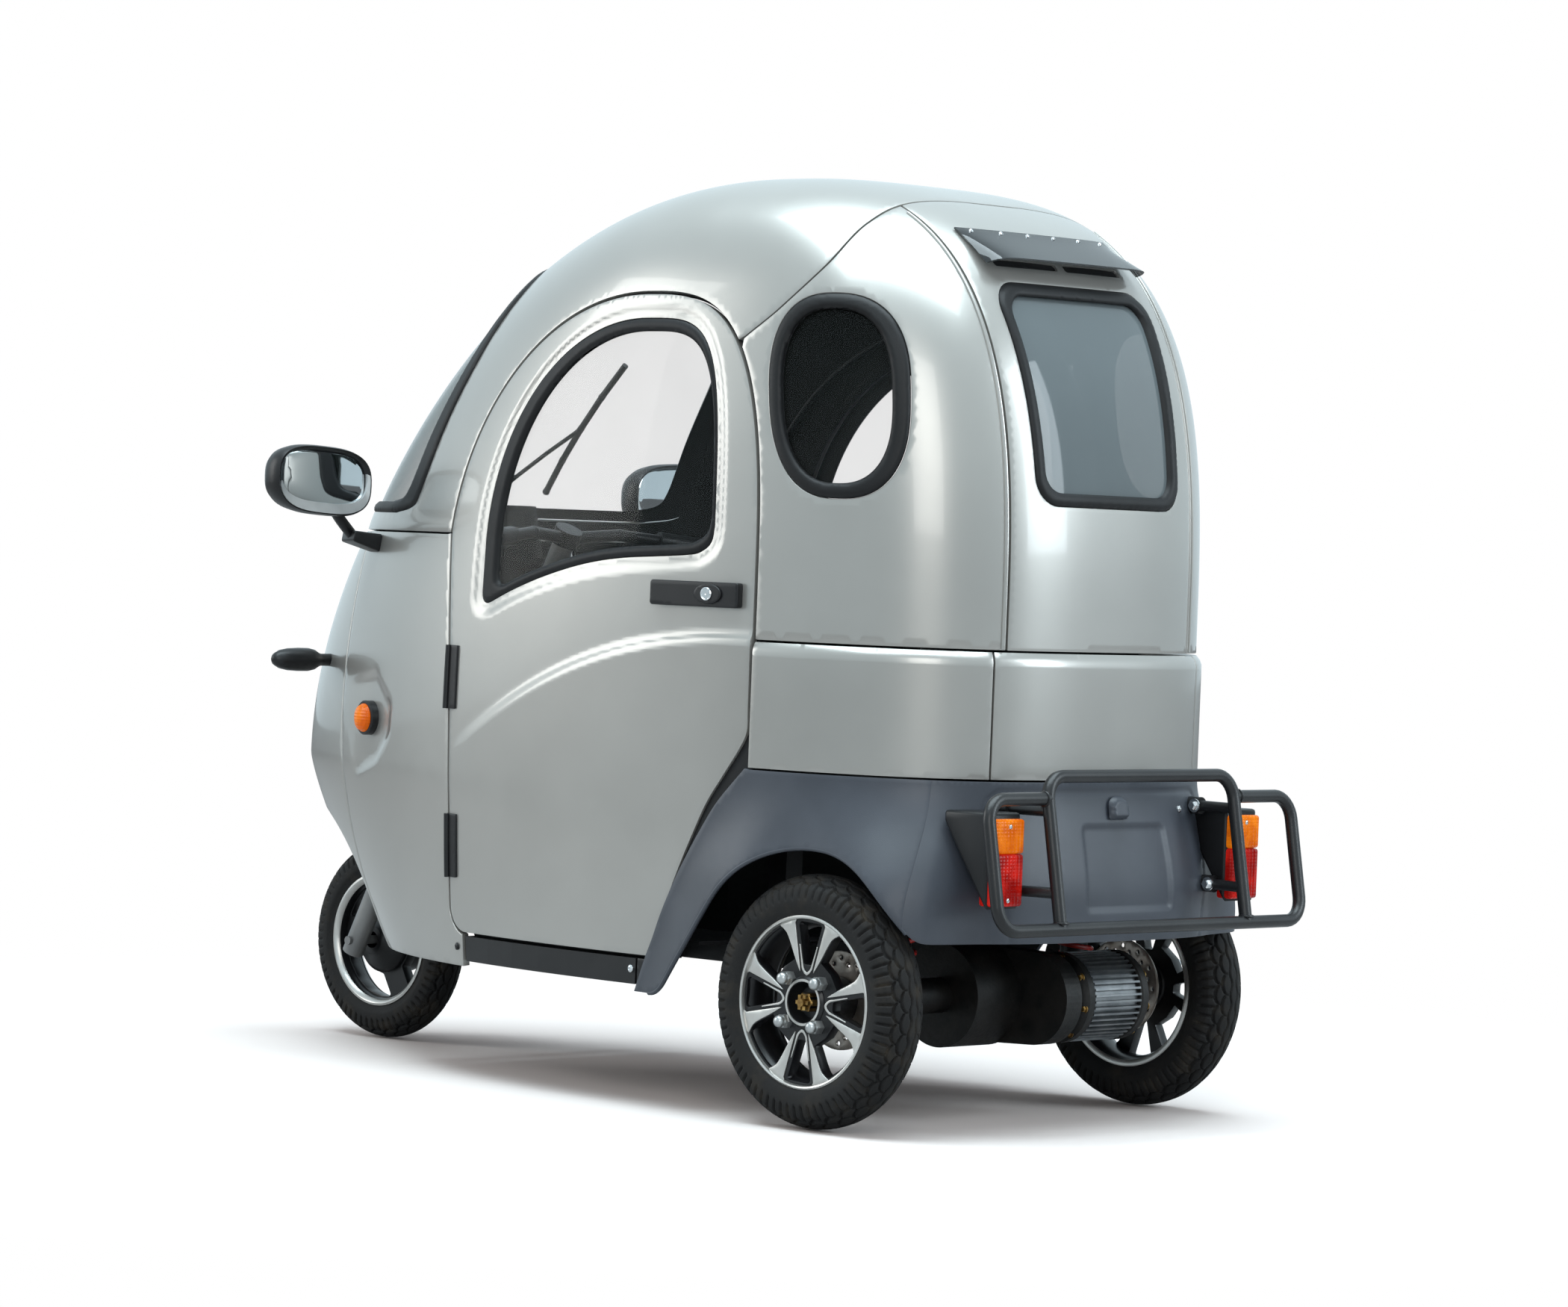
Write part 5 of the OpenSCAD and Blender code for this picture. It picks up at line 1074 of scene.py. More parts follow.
bead_from, bead_to, bead_aside, bead_r = band_top_z + 0.004, 1.518, 0.0075, 0.0028
z = np.linspace(bead_from, bead_to, 120)
bead = roll(unroll(at_tail(tail_half + bead_aside, z), z), 0.0004)
tube("tail_beads", twice(bead), bead_r, paint, sides=8)
gasket_x, gasket_top, gasket_end, gasket_low, gasket_under = door_rear_x - 0.005, 0.64, 0.588, 0.254, 0.014
gasket_loop = np.concatenate([
    line((gasket_x, gasket_top), (door_rear_x - 0.0012, gasket_top)),
    door_heel[door_heel[:, 1] < gasket_top][:-1] - (0.0014, 0),
    (fender_lead - (gasket_under, 0))[::-1][fender_lead[::-1, 1] > gasket_low], [(gasket_x, gasket_end)]])
gasket = panel("door_gasket_left", [from_side(gasket_loop)], rubber, rubber, spacing=0.005, wall=0.012,
               edge=0.0008, off=0.001)
both_sides(gasket, "door_gasket")
lip_r, lip_in = 0.0038, 0.003
lip = flared(fender_arch(arch_end_z))
lip = haunch(roll(lip, fender_relief(lip) - lip_in))
tube("arch_lips", twice(lip), lip_r, slate, sides=10)
strip_x = door_rear_x - door_gap / 2
strip = door_arch(door_gap / 2)
strip = np.concatenate([strip[strip[:, 1] > cowl_z + 0.002], line((strip_x, 0.90), (strip_x, 0.60))])
# The strips stand for seals under the seams, and their black is partly painted shade: it keeps the gaps as dark
# as the shade inside them.
# [name, path, depth under the skin, radius, sides]
hidden_strips = [("door_strips", strip, 0.0195, 0.0055, 10),
                 ("nose_strips", curve(*nose_seam), 0.0165, 0.005, 8),
                 ("sill_strips", line((0.372, 0.2545), (0.866, 0.2545)), 0.024, 0.006, 10)]
for name, path, depth, radius, sides in hidden_strips:
    tube(name, twice(roll(from_side(path), -depth)), radius, rubber, sides=sides)
# The black pads are painted shade: dark fills a little behind the vent slots that stand in for the shade inside
# the openings.
for name, y in (("slot_pad_left", slot_y), ("slot_pad_right", -slot_y)):
    tie(panel(name, [slot_loop(y, 0.0002)], rubber, rubber, spacing=0.004, wall=0.008, edge=0.0002,
              off=-0.004, tail=True))

# Tail visor: a smoked acrylic lip over the vent slots, flared at its lower edge, held by small screws
# along its top.
chrome = surface("chrome", (0.62, 0.63, 0.64), (0.72, 0.73, 0.74), 0.16, metallic=1.0, scale=60)
smoked = glazing("smoked_acrylic", (0.016, 0.018, 0.020), 0.28)
visor_top, visor_h, visor_half, visor_out = 1.497, 0.050, 0.190, 0.034
visor_rows, visor_columns = 15, 61
across, down = np.meshgrid(np.linspace(-1, 1, visor_columns), np.linspace(0, 1, visor_rows))
ends = 1 - abs(across) ** 12
visor_z = visor_top - visor_h * down - 0.010 * (1 - ends) * down
visor_flat = from_tail(np.stack([(across * visor_half).ravel(), visor_z.ravel()], -1))
visor_points = roll(visor_flat, (0.004 + visor_out * down ** 1.4 * (0.25 + 0.75 * ends)).ravel(), True)


def grid_faces(rows, columns, wrap=False):
    last = columns if wrap else columns - 1
    return [(r * columns + c, r * columns + (c + 1) % columns, (r + 1) * columns + (c + 1) % columns,
             (r + 1) * columns + c) for r in range(rows - 1) for c in range(last)]


def facing(points, faces, direction):
    """Faces turned so that they look along a direction on the whole."""
    total = Vector()
    for f in faces:
        a, b, c = (Vector(points[k]) for k in f[:3])
        total += (b - a).cross(c - a)
    return [tuple(f) for f in faces] if total.dot(Vector(direction)) > 0 else [tuple(f)[::-1] for f in faces]


visor_faces = facing(visor_points, grid_faces(visor_rows, visor_columns), (-1, 0, 0))
visor = thicken(piece("tail_visor", visor_points, visor_faces, smoked), 0.003, 0.0, inner=0)
tie(visor, "tail_visor")


def lathe(profile, n=48, axis="Y"):
    """Points and faces of a profile [radius, height] turned about an axis, poles closed."""
    turns = [2 * math.pi * k / n for k in range(n)]
    points, rows = [], []
    for r, h in profile:
        if r < 1e-6:
            rows.append([len(points)] * n)
            points.append((0, h, 0))
        else:
            rows.append(list(range(len(points), len(points) + n)))
            points += [(r * math.cos(a), h, r * math.sin(a)) for a in turns]
    faces = []
    for a, b in zip(rows[:-1], rows[1:]):
        for k in range(n):
            f = [a[k], a[(k + 1) % n], b[(k + 1) % n], b[k]]
            faces.append(tuple(dict.fromkeys(f)))
    points = np.array(points)
    if axis == "Z":
        points = points[:, [0, 2, 1]] * (1, -1, 1)
    if axis == "X":
        points = points[:, [1, 0, 2]] * (1, -1, 1)
    return points, [f for f in faces if len(f) > 2]


def solid(name, shapes, finish, sharp=35):
    """One object from several closed shapes [points, faces], faces outward."""
    shell = bmesh.new()
    for points, faces in shapes:
        corners = [shell.verts.new(tuple(p)) for p in points]
        made_faces = [shell.faces.new([corners[k] for k in f]) for f in faces]
        bmesh.ops.recalc_face_normals(shell, faces=made_faces)
    mesh = bpy.data.meshes.new(name)
    shell.to_mesh(mesh)
    shell.free()
    mesh.polygons.foreach_set("use_smooth", [True] * len(mesh.polygons))
    mesh.set_sharp_from_angle(angle=math.radians(sharp))
    mesh.materials.append(finish)
    made = bpy.data.objects.new(name, mesh)
    bpy.context.collection.objects.link(made)
    return made


def strew_tree():
    """Sets one shape on every point, its Z along the point's aim."""
    tree, given, end = start_tree("shapes_on_points", (
        ("Points", "Geometry"), ("Shape", "Object"), ("Size", "Float")), "Shapes")
    new, link = tree.nodes.new, tree.links.new
    shape, place, aim = (new(f"GeometryNode{kind}") for kind in (
        "ObjectInfo", "InstanceOnPoints", "InputNamedAttribute"))
    turn = new("FunctionNodeAlignRotationToVector")
    aim.data_type = "FLOAT_VECTOR"
    aim.inputs["Name"].default_value = "aim"
    turn.axis = "Z"
    link(given["Points"], place.inputs["Points"])
    link(given["Shape"], shape.inputs["Object"])
    link(shape.outputs["Geometry"], place.inputs["Instance"])
    link(aim.outputs["Attribute"], turn.inputs["Vector"])
    link(turn.outputs["Rotation"], place.inputs["Rotation"])
    link(given["Size"], place.inputs["Scale"])
    link(place.outputs["Instances"], end)
    return tree


strew_nodes = strew_tree()


def strew(name, places, aims, shape, finish, body="cabin"):
    """One steel shape [points, faces] on every place, standing along its aim."""
    mesh = bpy.data.meshes.new(name)
    mesh.from_pydata([tuple(p) for p in places], [], [])
    aim = mesh.attributes.new("aim", "FLOAT_VECTOR", "POINT")
    aim.data.foreach_set("vector", np.asarray(aims, float).ravel())
    made = bpy.data.objects.new(name, mesh)
    bpy.context.collection.objects.link(made)
    model = solid(name + "_model", [shape], finish)
    grow(made, strew_nodes, Shape=model, Size=1.0, Finish=finish)
    bpy.data.objects.remove(model)
    return tie(made, body=body)


def outward(angle, z):
    """The body's outward direction at points of its form."""
    d = around(angle, z, 0.02) - around(angle, z)
    return d / np.linalg.norm(d, axis=-1, keepdims=True)


def screw_head(r, h):
    """A domed head with a dimple in its top."""
    return lathe([(0, -h), (r, -h), (r, h * 0.35), (r * 0.8, h * 0.8), (r * 0.45, h), (r * 0.42, h * 0.6),
                  (0, h * 0.6)], 16, "Z")


def stacked(low, high):
    """Two shapes [points, faces] as one."""
    n = len(low[0])
    return np.concatenate([low[0], high[0]]), low[1] + [tuple(k + n for k in f) for f in high[1]]


def hex_bolt(r, h):
    """A hexagon head on a washer."""
    return stacked(lathe([(0, 0), (r * 1.45, 0), (r * 1.45, h * 0.22), (0, h * 0.22)], 20, "Z"),
                   lathe([(0, h * 0.22), (r, h * 0.22), (r, h * 0.85), (r * 0.82, h), (0, h)], 6, "Z"))


y, z = np.linspace(-0.165, 0.165, 6), np.full(6, visor_top - 0.006)
angle = np.where(y < 0, -1, 1) * at_tail(abs(y), z)
strew("visor_screws", around(angle, z, 0.0052), outward(angle, z), screw_head(0.0042, 0.002), chrome)

# Door furniture: a flat black handle plate with a lock cylinder on each door, and black hinge plates
# with their knuckles over the front edge of the door. Both lie on the skin.
satin_black = surface("satin_black", (0.006, 0.006, 0.007), (0.011, 0.011, 0.012), 0.36, bump=0.0001,
                      bump_scale=900, **{"Specular IOR Level": 0.35})
handle_rear, handle_front, handle_low, handle_top = 0.185, 0.383, 0.849, 0.891
lock_x, lock_z, lock_out = 0.250, 0.871, 0.0165
hinge_levels, hinge_len, hinge_rear, hinge_ahead, pin_r = (0.407, 0.703), 0.112, 0.024, 0.001, 0.0052


def skin_plate(name, corners, radius, out, wall, edge=0.002):
    """A flat black plate laid on the body's side."""
    loop = from_side(denser(rounded(corners, radius, 5), 0.006))
    return panel(name, [loop], satin_black, satin_black, spacing=0.006, wall=wall, edge=edge, off=out)


handle = skin_plate("handle_left", box_corners(handle_rear, handle_front, handle_low, handle_top), 0.005,
                    0.013, 0.016)
both_sides(handle, "handle", body="door_{}")
boss = panel("lock_boss_left", [from_side(bow(lock_x, lock_z, 0.030, 0.017, 2, 0, 350, 36))], satin_black,
             satin_black, spacing=0.004, wall=0.006, edge=0.002, off=lock_out)
both_sides(boss, "lock_boss", body="door_{}")
z = np.array([lock_z])
cylinder = lathe([(0, 0), (0.011, 0), (0.011, 0.003), (0.0095, 0.004), (0.0085, 0.0028), (0.002, 0.0028),
                  (0, 0.001)], 28, "Z")
for side, name in ((1, "left"), (-1, "right")):
    angle = side * at_x(np.array([lock_x]), z)
    strew(f"lock_{name}", around(angle, z, lock_out), outward(angle, z), cylinder, chrome, f"door_{name}")
hinge_plates, hinge_pins = [], []
for middle in hinge_levels:
    x = np.interp(middle, door_front[:, 1], door_front[:, 0])
    low, top = middle - hinge_len / 2, middle + hinge_len / 2
    corners = box_corners(x - hinge_rear, x - hinge_ahead, low, top)
    hinge_plates.append(skin_plate("hinge", corners, 0.002, 0.004, 0.012, 0.001))
    z = np.linspace(low, top, 12)
    hinge_pins.append(around(at_x(np.full(12, x + 0.002), z), z, 0.0045))


def gather(name, parts):
    """Joins pieces into one object; every part keeps its finish."""
    shell = bmesh.new()
    finishes = []
    for part in parts:
        start = len(shell.faces)
        own = list(part.data.materials)
        shell.from_mesh(part.data)
        shell.faces.ensure_lookup_table()
        for f in shell.faces[start:]:
            finish = own[min(f.material_index, len(own) - 1)]
            if finish not in finishes:
                finishes.append(finish)
            f.material_index = finishes.index(finish)
    mesh = bpy.data.meshes.new(name)
    shell.to_mesh(mesh)
    shell.free()
    for finish in finishes:
        mesh.materials.append(finish)
    for part in parts:
        bpy.data.objects.remove(part)
    made = bpy.data.objects.new(name, mesh)
    bpy.context.collection.objects.link(made)
    return made


plates = gather("hinge_plates_left", hinge_plates)
both_sides(plates, "hinge_plates", body="door_{}")
tube("hinge_pins", [p for pin in hinge_pins for p in twice(pin)], pin_r, satin_black, sides=14)

# Sills: black trims under the doors, each closed at the rear by a short end piece behind the fender's
# foot, and held by a bright screw at the rear and a black bolt at the front.
sill_end_loop = denser([(0.352, 0.206), (0.3955, 0.206), (0.3955, 0.2505), (0.345, 0.2505)], 0.006)
sill_fasteners = [("sill_screws", 0.4065, 0.2320, chrome), ("foot_bolts", 0.887, 0.2300, satin_black)]


def recoat(node, finish):
    """Gives a node of the frame that shows its finish."""
    frame["nodes"][node].data.materials.clear()
    frame["nodes"][node].data.materials.append(finish)


recoat("sills", satin_black)
sill_end = panel("sill_end_left", [from_side(sill_end_loop)], satin_black, satin_black, spacing=0.006,
                 wall=0.020, edge=0.0010, off=-0.003)
both_sides(sill_end, "sill_end")
for name, x, z, finish in sill_fasteners:
    angle, z = at_x(np.array([x, x]), z) * (1, -1), np.array([z, z])
    strew(name, around(angle, z, 0.001), outward(angle, z), screw_head(0.0065, 0.003), finish)

# Rear rack: bent black tube in one leaning plane, welded at the joints and bolted to the valance by
# four arms.
rack_coat = surface("black_coating", (0.008, 0.008, 0.009), (0.014, 0.014, 0.015), 0.34, bump=0.0002,
                    bump_scale=350, **{"Specular IOR Level": 0.4})
rack_r, rack_half, upright_half, rack_bend = 0.011, 0.394, 0.242, 0.040
rack_low, rack_side, rack_top, rack_lean = 0.352, 0.562, 0.598, 0.044
rack_foot_x = axle_x - tail_back - 0.132 + rack_r
rack_slope = math.atan2(rack_lean, rack_top - rack_low)
arm_levels, arm_r, boss_r, boss_len = (0.410, 0.542), 0.009, 0.0145, 0.026
weld_r, weld_off, weld_bead = 0.0112, 0.0108, 0.0022


def bend(corners, radius, n=9):
    """An open path with rounded corners."""
    p = np.asarray(corners, float)
    out = [p[:1]]
    for a, b, c in zip(p[:-2], p[1:-1], p[2:]):
        da, dc = (a - b) / np.linalg.norm(a - b), (c - b) / np.linalg.norm(c - b)
        half = math.acos(np.clip(da @ dc, -1, 1)) / 2
        reach = radius / math.tan(half)
        middle = b + (da + dc) / np.linalg.norm(da + dc) * radius / math.sin(half)
        u = b + da * reach - middle
        w = b + dc * reach - middle
        span = math.pi - 2 * half
        t = np.linspace(0, 1, n)[:, None]
        out.append(middle + (np.sin((1 - t) * span) * u + np.sin(t * span) * w) / math.sin(span))
    return np.concatenate(out + [p[-1:]])


def rack_plane(points):
    """Places [Y, Z] in the rack's leaning plane."""
    y, z = np.asarray(points, float).T
    return np.stack([rack_foot_x + (z - rack_low) * math.tan(rack_slope), y, z], -1)


rack_loop = [(upright_half, rack_side), (rack_half, rack_side), (rack_half, rack_low),
             (-rack_half, rack_low), (-rack_half, rack_side), (-upright_half, rack_side)]
rack_frame = [(upright_half, rack_low), (upright_half, rack_top), (-upright_half, rack_top),
              (-upright_half, rack_low)]
rack_paths = [bend(rack_plane(path), rack_bend) for path in (rack_loop, rack_frame)]
tube("rear_rack", rack_paths, rack_r, rack_coat, node="rear_rack", sides=24)
a = np.linspace(0, 2 * math.pi, 33)
arms, arm_bolts, welds = [], [], []
for side in (-1, 1):
    for level_z in arm_levels:
        start = rack_plane([(side * upright_half, level_z)])[0]
        flat = from_tail([(side * upright_half, level_z)])
        foot = roll(flat, flare_out(flat) - 0.002, True)[0]
        arms.append(np.array([start, foot]))
        arm_bolts.append(foot + np.array([-0.022, side * -0.013, 0]))
    for level_z in (rack_low, rack_side):
        ring = np.stack([weld_r * np.cos(a), weld_r * np.sin(a), np.full(33, weld_off)], -1)
        if level_z == rack_side:
            ring = ring[:, [0, 2, 1]] * (1, side, 1)
        welds.append(rack_plane([(side * upright_half, level_z)])[0] + ring)
tube("rack_arms", arms, arm_r, rack_coat, sides=20)
tube("rack_bosses", [np.array([foot - (boss_len, 0, 0), foot]) for _, foot in arms], boss_r, rack_coat, sides=24)
strew("rack_bolts", arm_bolts, [(0, -np.sign(p[1]), 0) for p in arm_bolts], hex_bolt(0.008, 0.010), chrome)
tube("rack_welds", welds, weld_bead, rack_coat, sides=8)

# Valance fittings: a rounded lamp housing above the plate field, moulded in slate like the valance, and
# bright screws that hold the valance to the frame.
tab_out, tab_base, tab_round = 0.010, 0.004, 0.006
tab = from_tail(denser(rounded([(-0.038, 0.522), (0.008, 0.522), (0.007, 0.560), (-0.037, 0.560)],
                               [0.004, 0.004, 0.018, 0.018])))
plate_lamp = panel("plate_lamp", [tab], slate, slate, spacing=0.005, wall=0.012, edge=0.003, tail=True,
                   off=lambda flat: flare_out(flat) + tab_out * ease(nearness(flat, tab) / tab_round) + tab_base)
tie(plate_lamp)
flat = from_tail([(0.212, 0.345), (-0.212, 0.345), (0.0, 0.338), (0.192, 0.536), (-0.192, 0.536)])
foot, head = (roll(flat, flare_out(flat) + lift, True) for lift in (0, 0.01))
strew("valance_screws", foot, (head - foot) * 100, screw_head(0.0062, 0.003), chrome)

# Tail lamps: amber over red ribbed lenses in black pods that stand out from the valance, with two
# small screws in each lens.
def ribbed(name, deep, bright):
    """Moulded lens plastic: fine ribs and a grid of prisms in the relief, with a painted glow: a faint emission
    in the lens colour that stands in for light coming through from behind.
    """
    made = bpy.data.materials.new(name)
    tree = Finish(made)
    ribs, steps = (tree.node("ShaderNodeTexWave", {"wave_type": "BANDS", "bands_direction": way}, {
        "Vector": tree.node("ShaderNodeTexCoord", out=3), "Scale": scale}, out=1)
        for way, scale in (("Y", 38.0), ("Z", 55.0)))
    cloud = grain(tree, 22.0)
    colour = tree.blend(cloud.above(0.35, 0.35), deep, bright)
    relief = tree.node("ShaderNodeBump", None, {
        "Strength": 0.55, "Distance": 0.0012, "Height": 0.6 * ribs + 0.4 * steps})
    # The emission is a painted glow in the lens colour, standing in for light coming through the lens.
    tree.node("ShaderNodeOutputMaterial", None, {"Surface": tree.node("ShaderNodeBsdfPrincipled", None, {
        "Base Color": colour, "Roughness": 0.10 + 0.08 * cloud, "Emission Color": colour,
        "Emission Strength": 0.34, "Specular IOR Level": 0.12, "Coat Weight": 0.06, "Coat Roughness": 0.06,
        "Normal": relief})})
    return made


amber = ribbed("amber_lens", (0.52, 0.085, 0.001), (0.80, 0.20, 0.004))
red = ribbed("red_lens", (0.22, 0.003, 0.002), (0.55, 0.012, 0.006))
lamp_back = axle_x - tail_back - 0.062
lamp_y, lamp_w, lamp_low, lamp_h, red_share = 0.308, 0.074, 0.386, 0.142, 0.60
lens_deep, lens_edge, lens_gap = 0.032, 0.005, 0.0006
pod_front, pod_deep, pod_rise, pod_edge = 0.012, 0.108, 0.142, 0.006


def block(low, high):
    """A box [points, faces] between two corners."""
    (x0, y0, z0), (x1, y1, z1) = low, high
    points = [(x, y, z) for z in (z0, z1) for x, y in ((x0, y0), (x1, y0), (x1, y1), (x0, y1))]
    return np.array(points), [(0, 3, 2, 1), (4, 5, 6, 7), (0, 1, 5, 4), (1, 2, 6, 5), (2, 3, 7, 6),
                              (3, 0, 4, 7)]


def soften(made, edge, segments=3):
    """Rounds a piece's sharp edges."""
    round_off = made.modifiers.new("edge", "BEVEL")
    round_off.width, round_off.segments = edge, segments
    round_off.limit_method, round_off.angle_limit = "ANGLE", math.radians(30)
    apply_all(made)
    made.data.polygons.foreach_set("use_smooth", [True] * len(made.data.polygons))
    made.data.set_sharp_from_angle(angle=math.radians(35))
    return made


lens_split, lamp_top = lamp_low + red_share * lamp_h, lamp_low + lamp_h
lamp_in, lamp_out = lamp_y - lamp_w / 2, lamp_y + lamp_w / 2
lenses = [soften(solid(name, [block((lamp_back, lamp_in, low), (lamp_back + lens_deep, lamp_out, top))], finish),
                 lens_edge)
          for name, low, top, finish in (("red", lamp_low, lens_split, red),
                                         ("amber", lens_split + lens_gap, lamp_top, amber))]
pod_points, pod_faces = block((lamp_back + pod_front, lamp_in - 0.003, lamp_low - 0.008),
                              (lamp_back + pod_deep, lamp_out + 0.005, lamp_top + 0.010))
pod_points[(pod_points[:, 0] > lamp_back + 0.05) & (pod_points[:, 2] < 0.45), 2] += pod_rise
pod = soften(solid("pod", [(pod_points, pod_faces)], satin_black), pod_edge)
tail_lamp = gather("tail_lamp_left", [*lenses, pod])
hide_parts("tail_lamps")
both_sides(tail_lamp, "tail_lamp")
spots = [(lamp_back, side * lamp_y, z) for side in (-1, 1) for z in (lamp_low + 0.010, lamp_top - 0.012)]
strew("lamp_screws", spots, [(-1, 0, 0)] * 4, screw_head(0.004, 0.0018), chrome)

# Mirrors: black shells with the glass facing back and a bright band under it, each on a short stem
# over a wedge bracket bolted to the nose's shoulder.
mirror_glass = bpy.data.materials.new("mirror_glass")
tree = Finish(mirror_glass)
haze = grain(tree, 7.0)
tree.node("ShaderNodeOutputMaterial", None, {"Surface": tree.node("ShaderNodeBsdfPrincipled", None, {
    "Base Color": tree.blend(haze, (0.55, 0.60, 0.62), (0.70, 0.74, 0.76)), "Metallic": 1.0,
    "Roughness": 0.02 + 0.04 * haze})})
bright_trim = surface("bright_trim", (0.50, 0.51, 0.51), (0.60, 0.61, 0.61), 0.3, metallic=0.6, scale=20)
mirror_at = np.array([axle_x + wheelbase - 0.249, 0.446, 1.040])
mirror_len, mirror_h, mirror_turn, mirror_tilt = 0.216, 0.124, 0.06, 0.055
stem_r, foot_x, foot_deep = 0.010, axle_x + 1.222, 0.062


def mirror_ring(scale_y, scale_z, x, lift=0.0):
    """The mirror's outline, scaled, at a depth along the vehicle."""
    a = np.linspace(0, 2 * math.pi, 64, endpoint=False)
    y = np.sign(np.cos(a)) * abs(np.cos(a)) ** 0.66 * mirror_len / 2 * scale_y
    z = np.sign(np.sin(a)) * abs(np.sin(a)) ** 0.72 * mirror_h / 2 * scale_z + mirror_tilt * y + lift
    return np.stack([np.full(64, x) + mirror_turn * y, y, z], -1) + mirror_at


def loft(rings):
    """A closed shape [points, faces] through rings of points."""
    n = len(rings[0])
    points, faces = np.concatenate(rings), grid_faces(len(rings), n, wrap=True)
    return points, faces + [tuple(range(n))[::-1], tuple(range(n * (len(rings) - 1), n * len(rings)))]


shell_rings = [mirror_ring(*size) for size in (
    (0.90, 0.86, -0.008), (0.93, 0.90, -0.015), (0.975, 0.965, -0.017), (1.0, 1.0, -0.010), (1.0, 1.0, 0.004),
    (0.97, 0.95, 0.020), (0.88, 0.84, 0.035), (0.70, 0.62, 0.046), (0.40, 0.34, 0.052))]
shell = solid("shell", [loft(shell_rings)], satin_black, 60)
glass_rings = [mirror_ring(0.80, 0.72, -0.0105, 0.006), mirror_ring(0.88, 0.82, -0.0085, 0.003)]
glass_face = solid("glass_face", [loft(glass_rings)], mirror_glass, 30)
trim_wall, trim_span = (0.006, 0, 0), slice(30, 63)
trim_outer = mirror_ring(0.945, 0.93, -0.0178)[trim_span]
trim_inner = mirror_ring(0.90, 0.74, -0.0150, 0.006)[trim_span]
trim_rings = np.stack([trim_outer, trim_inner, trim_inner + trim_wall, trim_outer + trim_wall], 1)
trim = solid("trim", [loft(trim_rings)], bright_trim, 30)
mirror = gather("mirror_left", [shell, glass_face, trim])
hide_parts("mirrors")
both_sides(mirror, "mirror")
stem = curve(mirror_at + (0.004, -0.036, -0.045), (axle_x + 1.246, 0.384, 0.972), (axle_x + 1.250, 0.350, 0.944),
             step=0.006)
tube("mirror_stems", twice(stem), stem_r, satin_black, sides=16)
foot_rings = [[(x, y, z) for y, z in ring] for x, ring in (
    (foot_x, [(0.300, 0.914), (0.372, 0.934), (0.368, 0.953), (0.300, 0.948)]),
    (foot_x + foot_deep, [(0.270, 0.914), (0.346, 0.932), (0.342, 0.951), (0.270, 0.948)]))]
wedge = soften(solid("mirror_foot_left", [loft(foot_rings)], satin_black), 0.004)
both_sides(wedge, "mirror_foot")

# Signals: black bullet signals on stalks ahead of the nose, and amber side markers in black rings
# in the recesses of the nose's sides.
signal_at = np.array([axle_x + wheelbase - 0.081, 0.213, 0.713])
bullet = lathe([(0, 0.0), (0.0138, 0.0), (0.0138, 0.010), (0.0116, 0.014), (0.0112, 0.064), (0.0130, 0.071),
                (0.0188, 0.083), (0.0212, 0.096), (0.0214, 0.120), (0.0202, 0.144), (0.0170, 0.162),
                (0.0115, 0.174), (0.005, 0.180), (0, 0.181)], 36)
stalk = solid("stalk", [(bullet[0] + signal_at, bullet[1])], satin_black)
marker_x, marker_z, marker_r, lens_r = 1.191, 0.617, 0.031, 0.0255
marker_angle = at_x(np.array([marker_x]), np.array([marker_z]))
marker_at = around(marker_angle, np.array([marker_z]), -0.003)[0]
marker_aim = Vector((0.235, 0.972, 0.0))
marker_turn = np.array(marker_aim.to_track_quat("Z", "X").to_matrix())


def on_marker(name, profile, finish):
    """A turned part of the side marker."""
    points, faces = lathe(profile, 40, "Z")
    return solid(name, [(points @ marker_turn.T + marker_at, faces)], finish)


marker_ring = on_marker("ring", [
    (0, -0.016), (marker_r, -0.016), (marker_r, 0.011), (marker_r - 0.002, 0.013), (marker_r - 0.005, 0.013),
    (marker_r - 0.006, 0.008), (0, 0.008)], satin_black)
# The marker's lens carries the same painted glow as the tail lamps' lenses.
marker_lens = on_marker("lens", [(0, 0.006), (lens_r, 0.006), (lens_r, 0.014), (marker_r - 0.009, 0.020),
                                 (marker_r - 0.018, 0.023), (0, 0.024)], amber)
signals = gather("front_signals_left", [stalk, marker_ring, marker_lens])
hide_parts("front_signals")
both_sides(signals, "front_signals")

# Tyres: black rubber with scalloped shoulder lugs and wavy grooves, dusty in the tread, seated on the
# lips of the rims.
tyre_rubber = bpy.data.materials.new("tyre_rubber")
tree = Finish(tyre_rubber)
dust = grain(tree, 26.0, 6.0)
groove = tree.node("ShaderNodeAttribute", {"attribute_name": "groove"}, out=2)
dusty = dust.above(0.45, 0.35) * (0.25 + 0.5 * groove)
tree.node("ShaderNodeOutputMaterial", None, {"Surface": tree.node("ShaderNodeBsdfPrincipled", None, {
    "Base Color": tree.blend(dusty, (0.0075, 0.007, 0.007), (0.085, 0.070, 0.052)),
    "Roughness": 0.60 + 0.25 * dust, "Specular IOR Level": 0.3, "Normal": tree.node("ShaderNodeBump", None, {
        "Strength": 0.6, "Distance": 0.0006, "Height": grain(tree, 240.0)})})})
crown_points, lobe_points, groove_deep, groove_half = 61, 18, 0.0055, 0.045


def pulse(distance, half):
    """1 in the middle of a groove, 0 outside it."""
    return 1 - ease((abs(distance) - half * 0.45) / (half * 0.9))


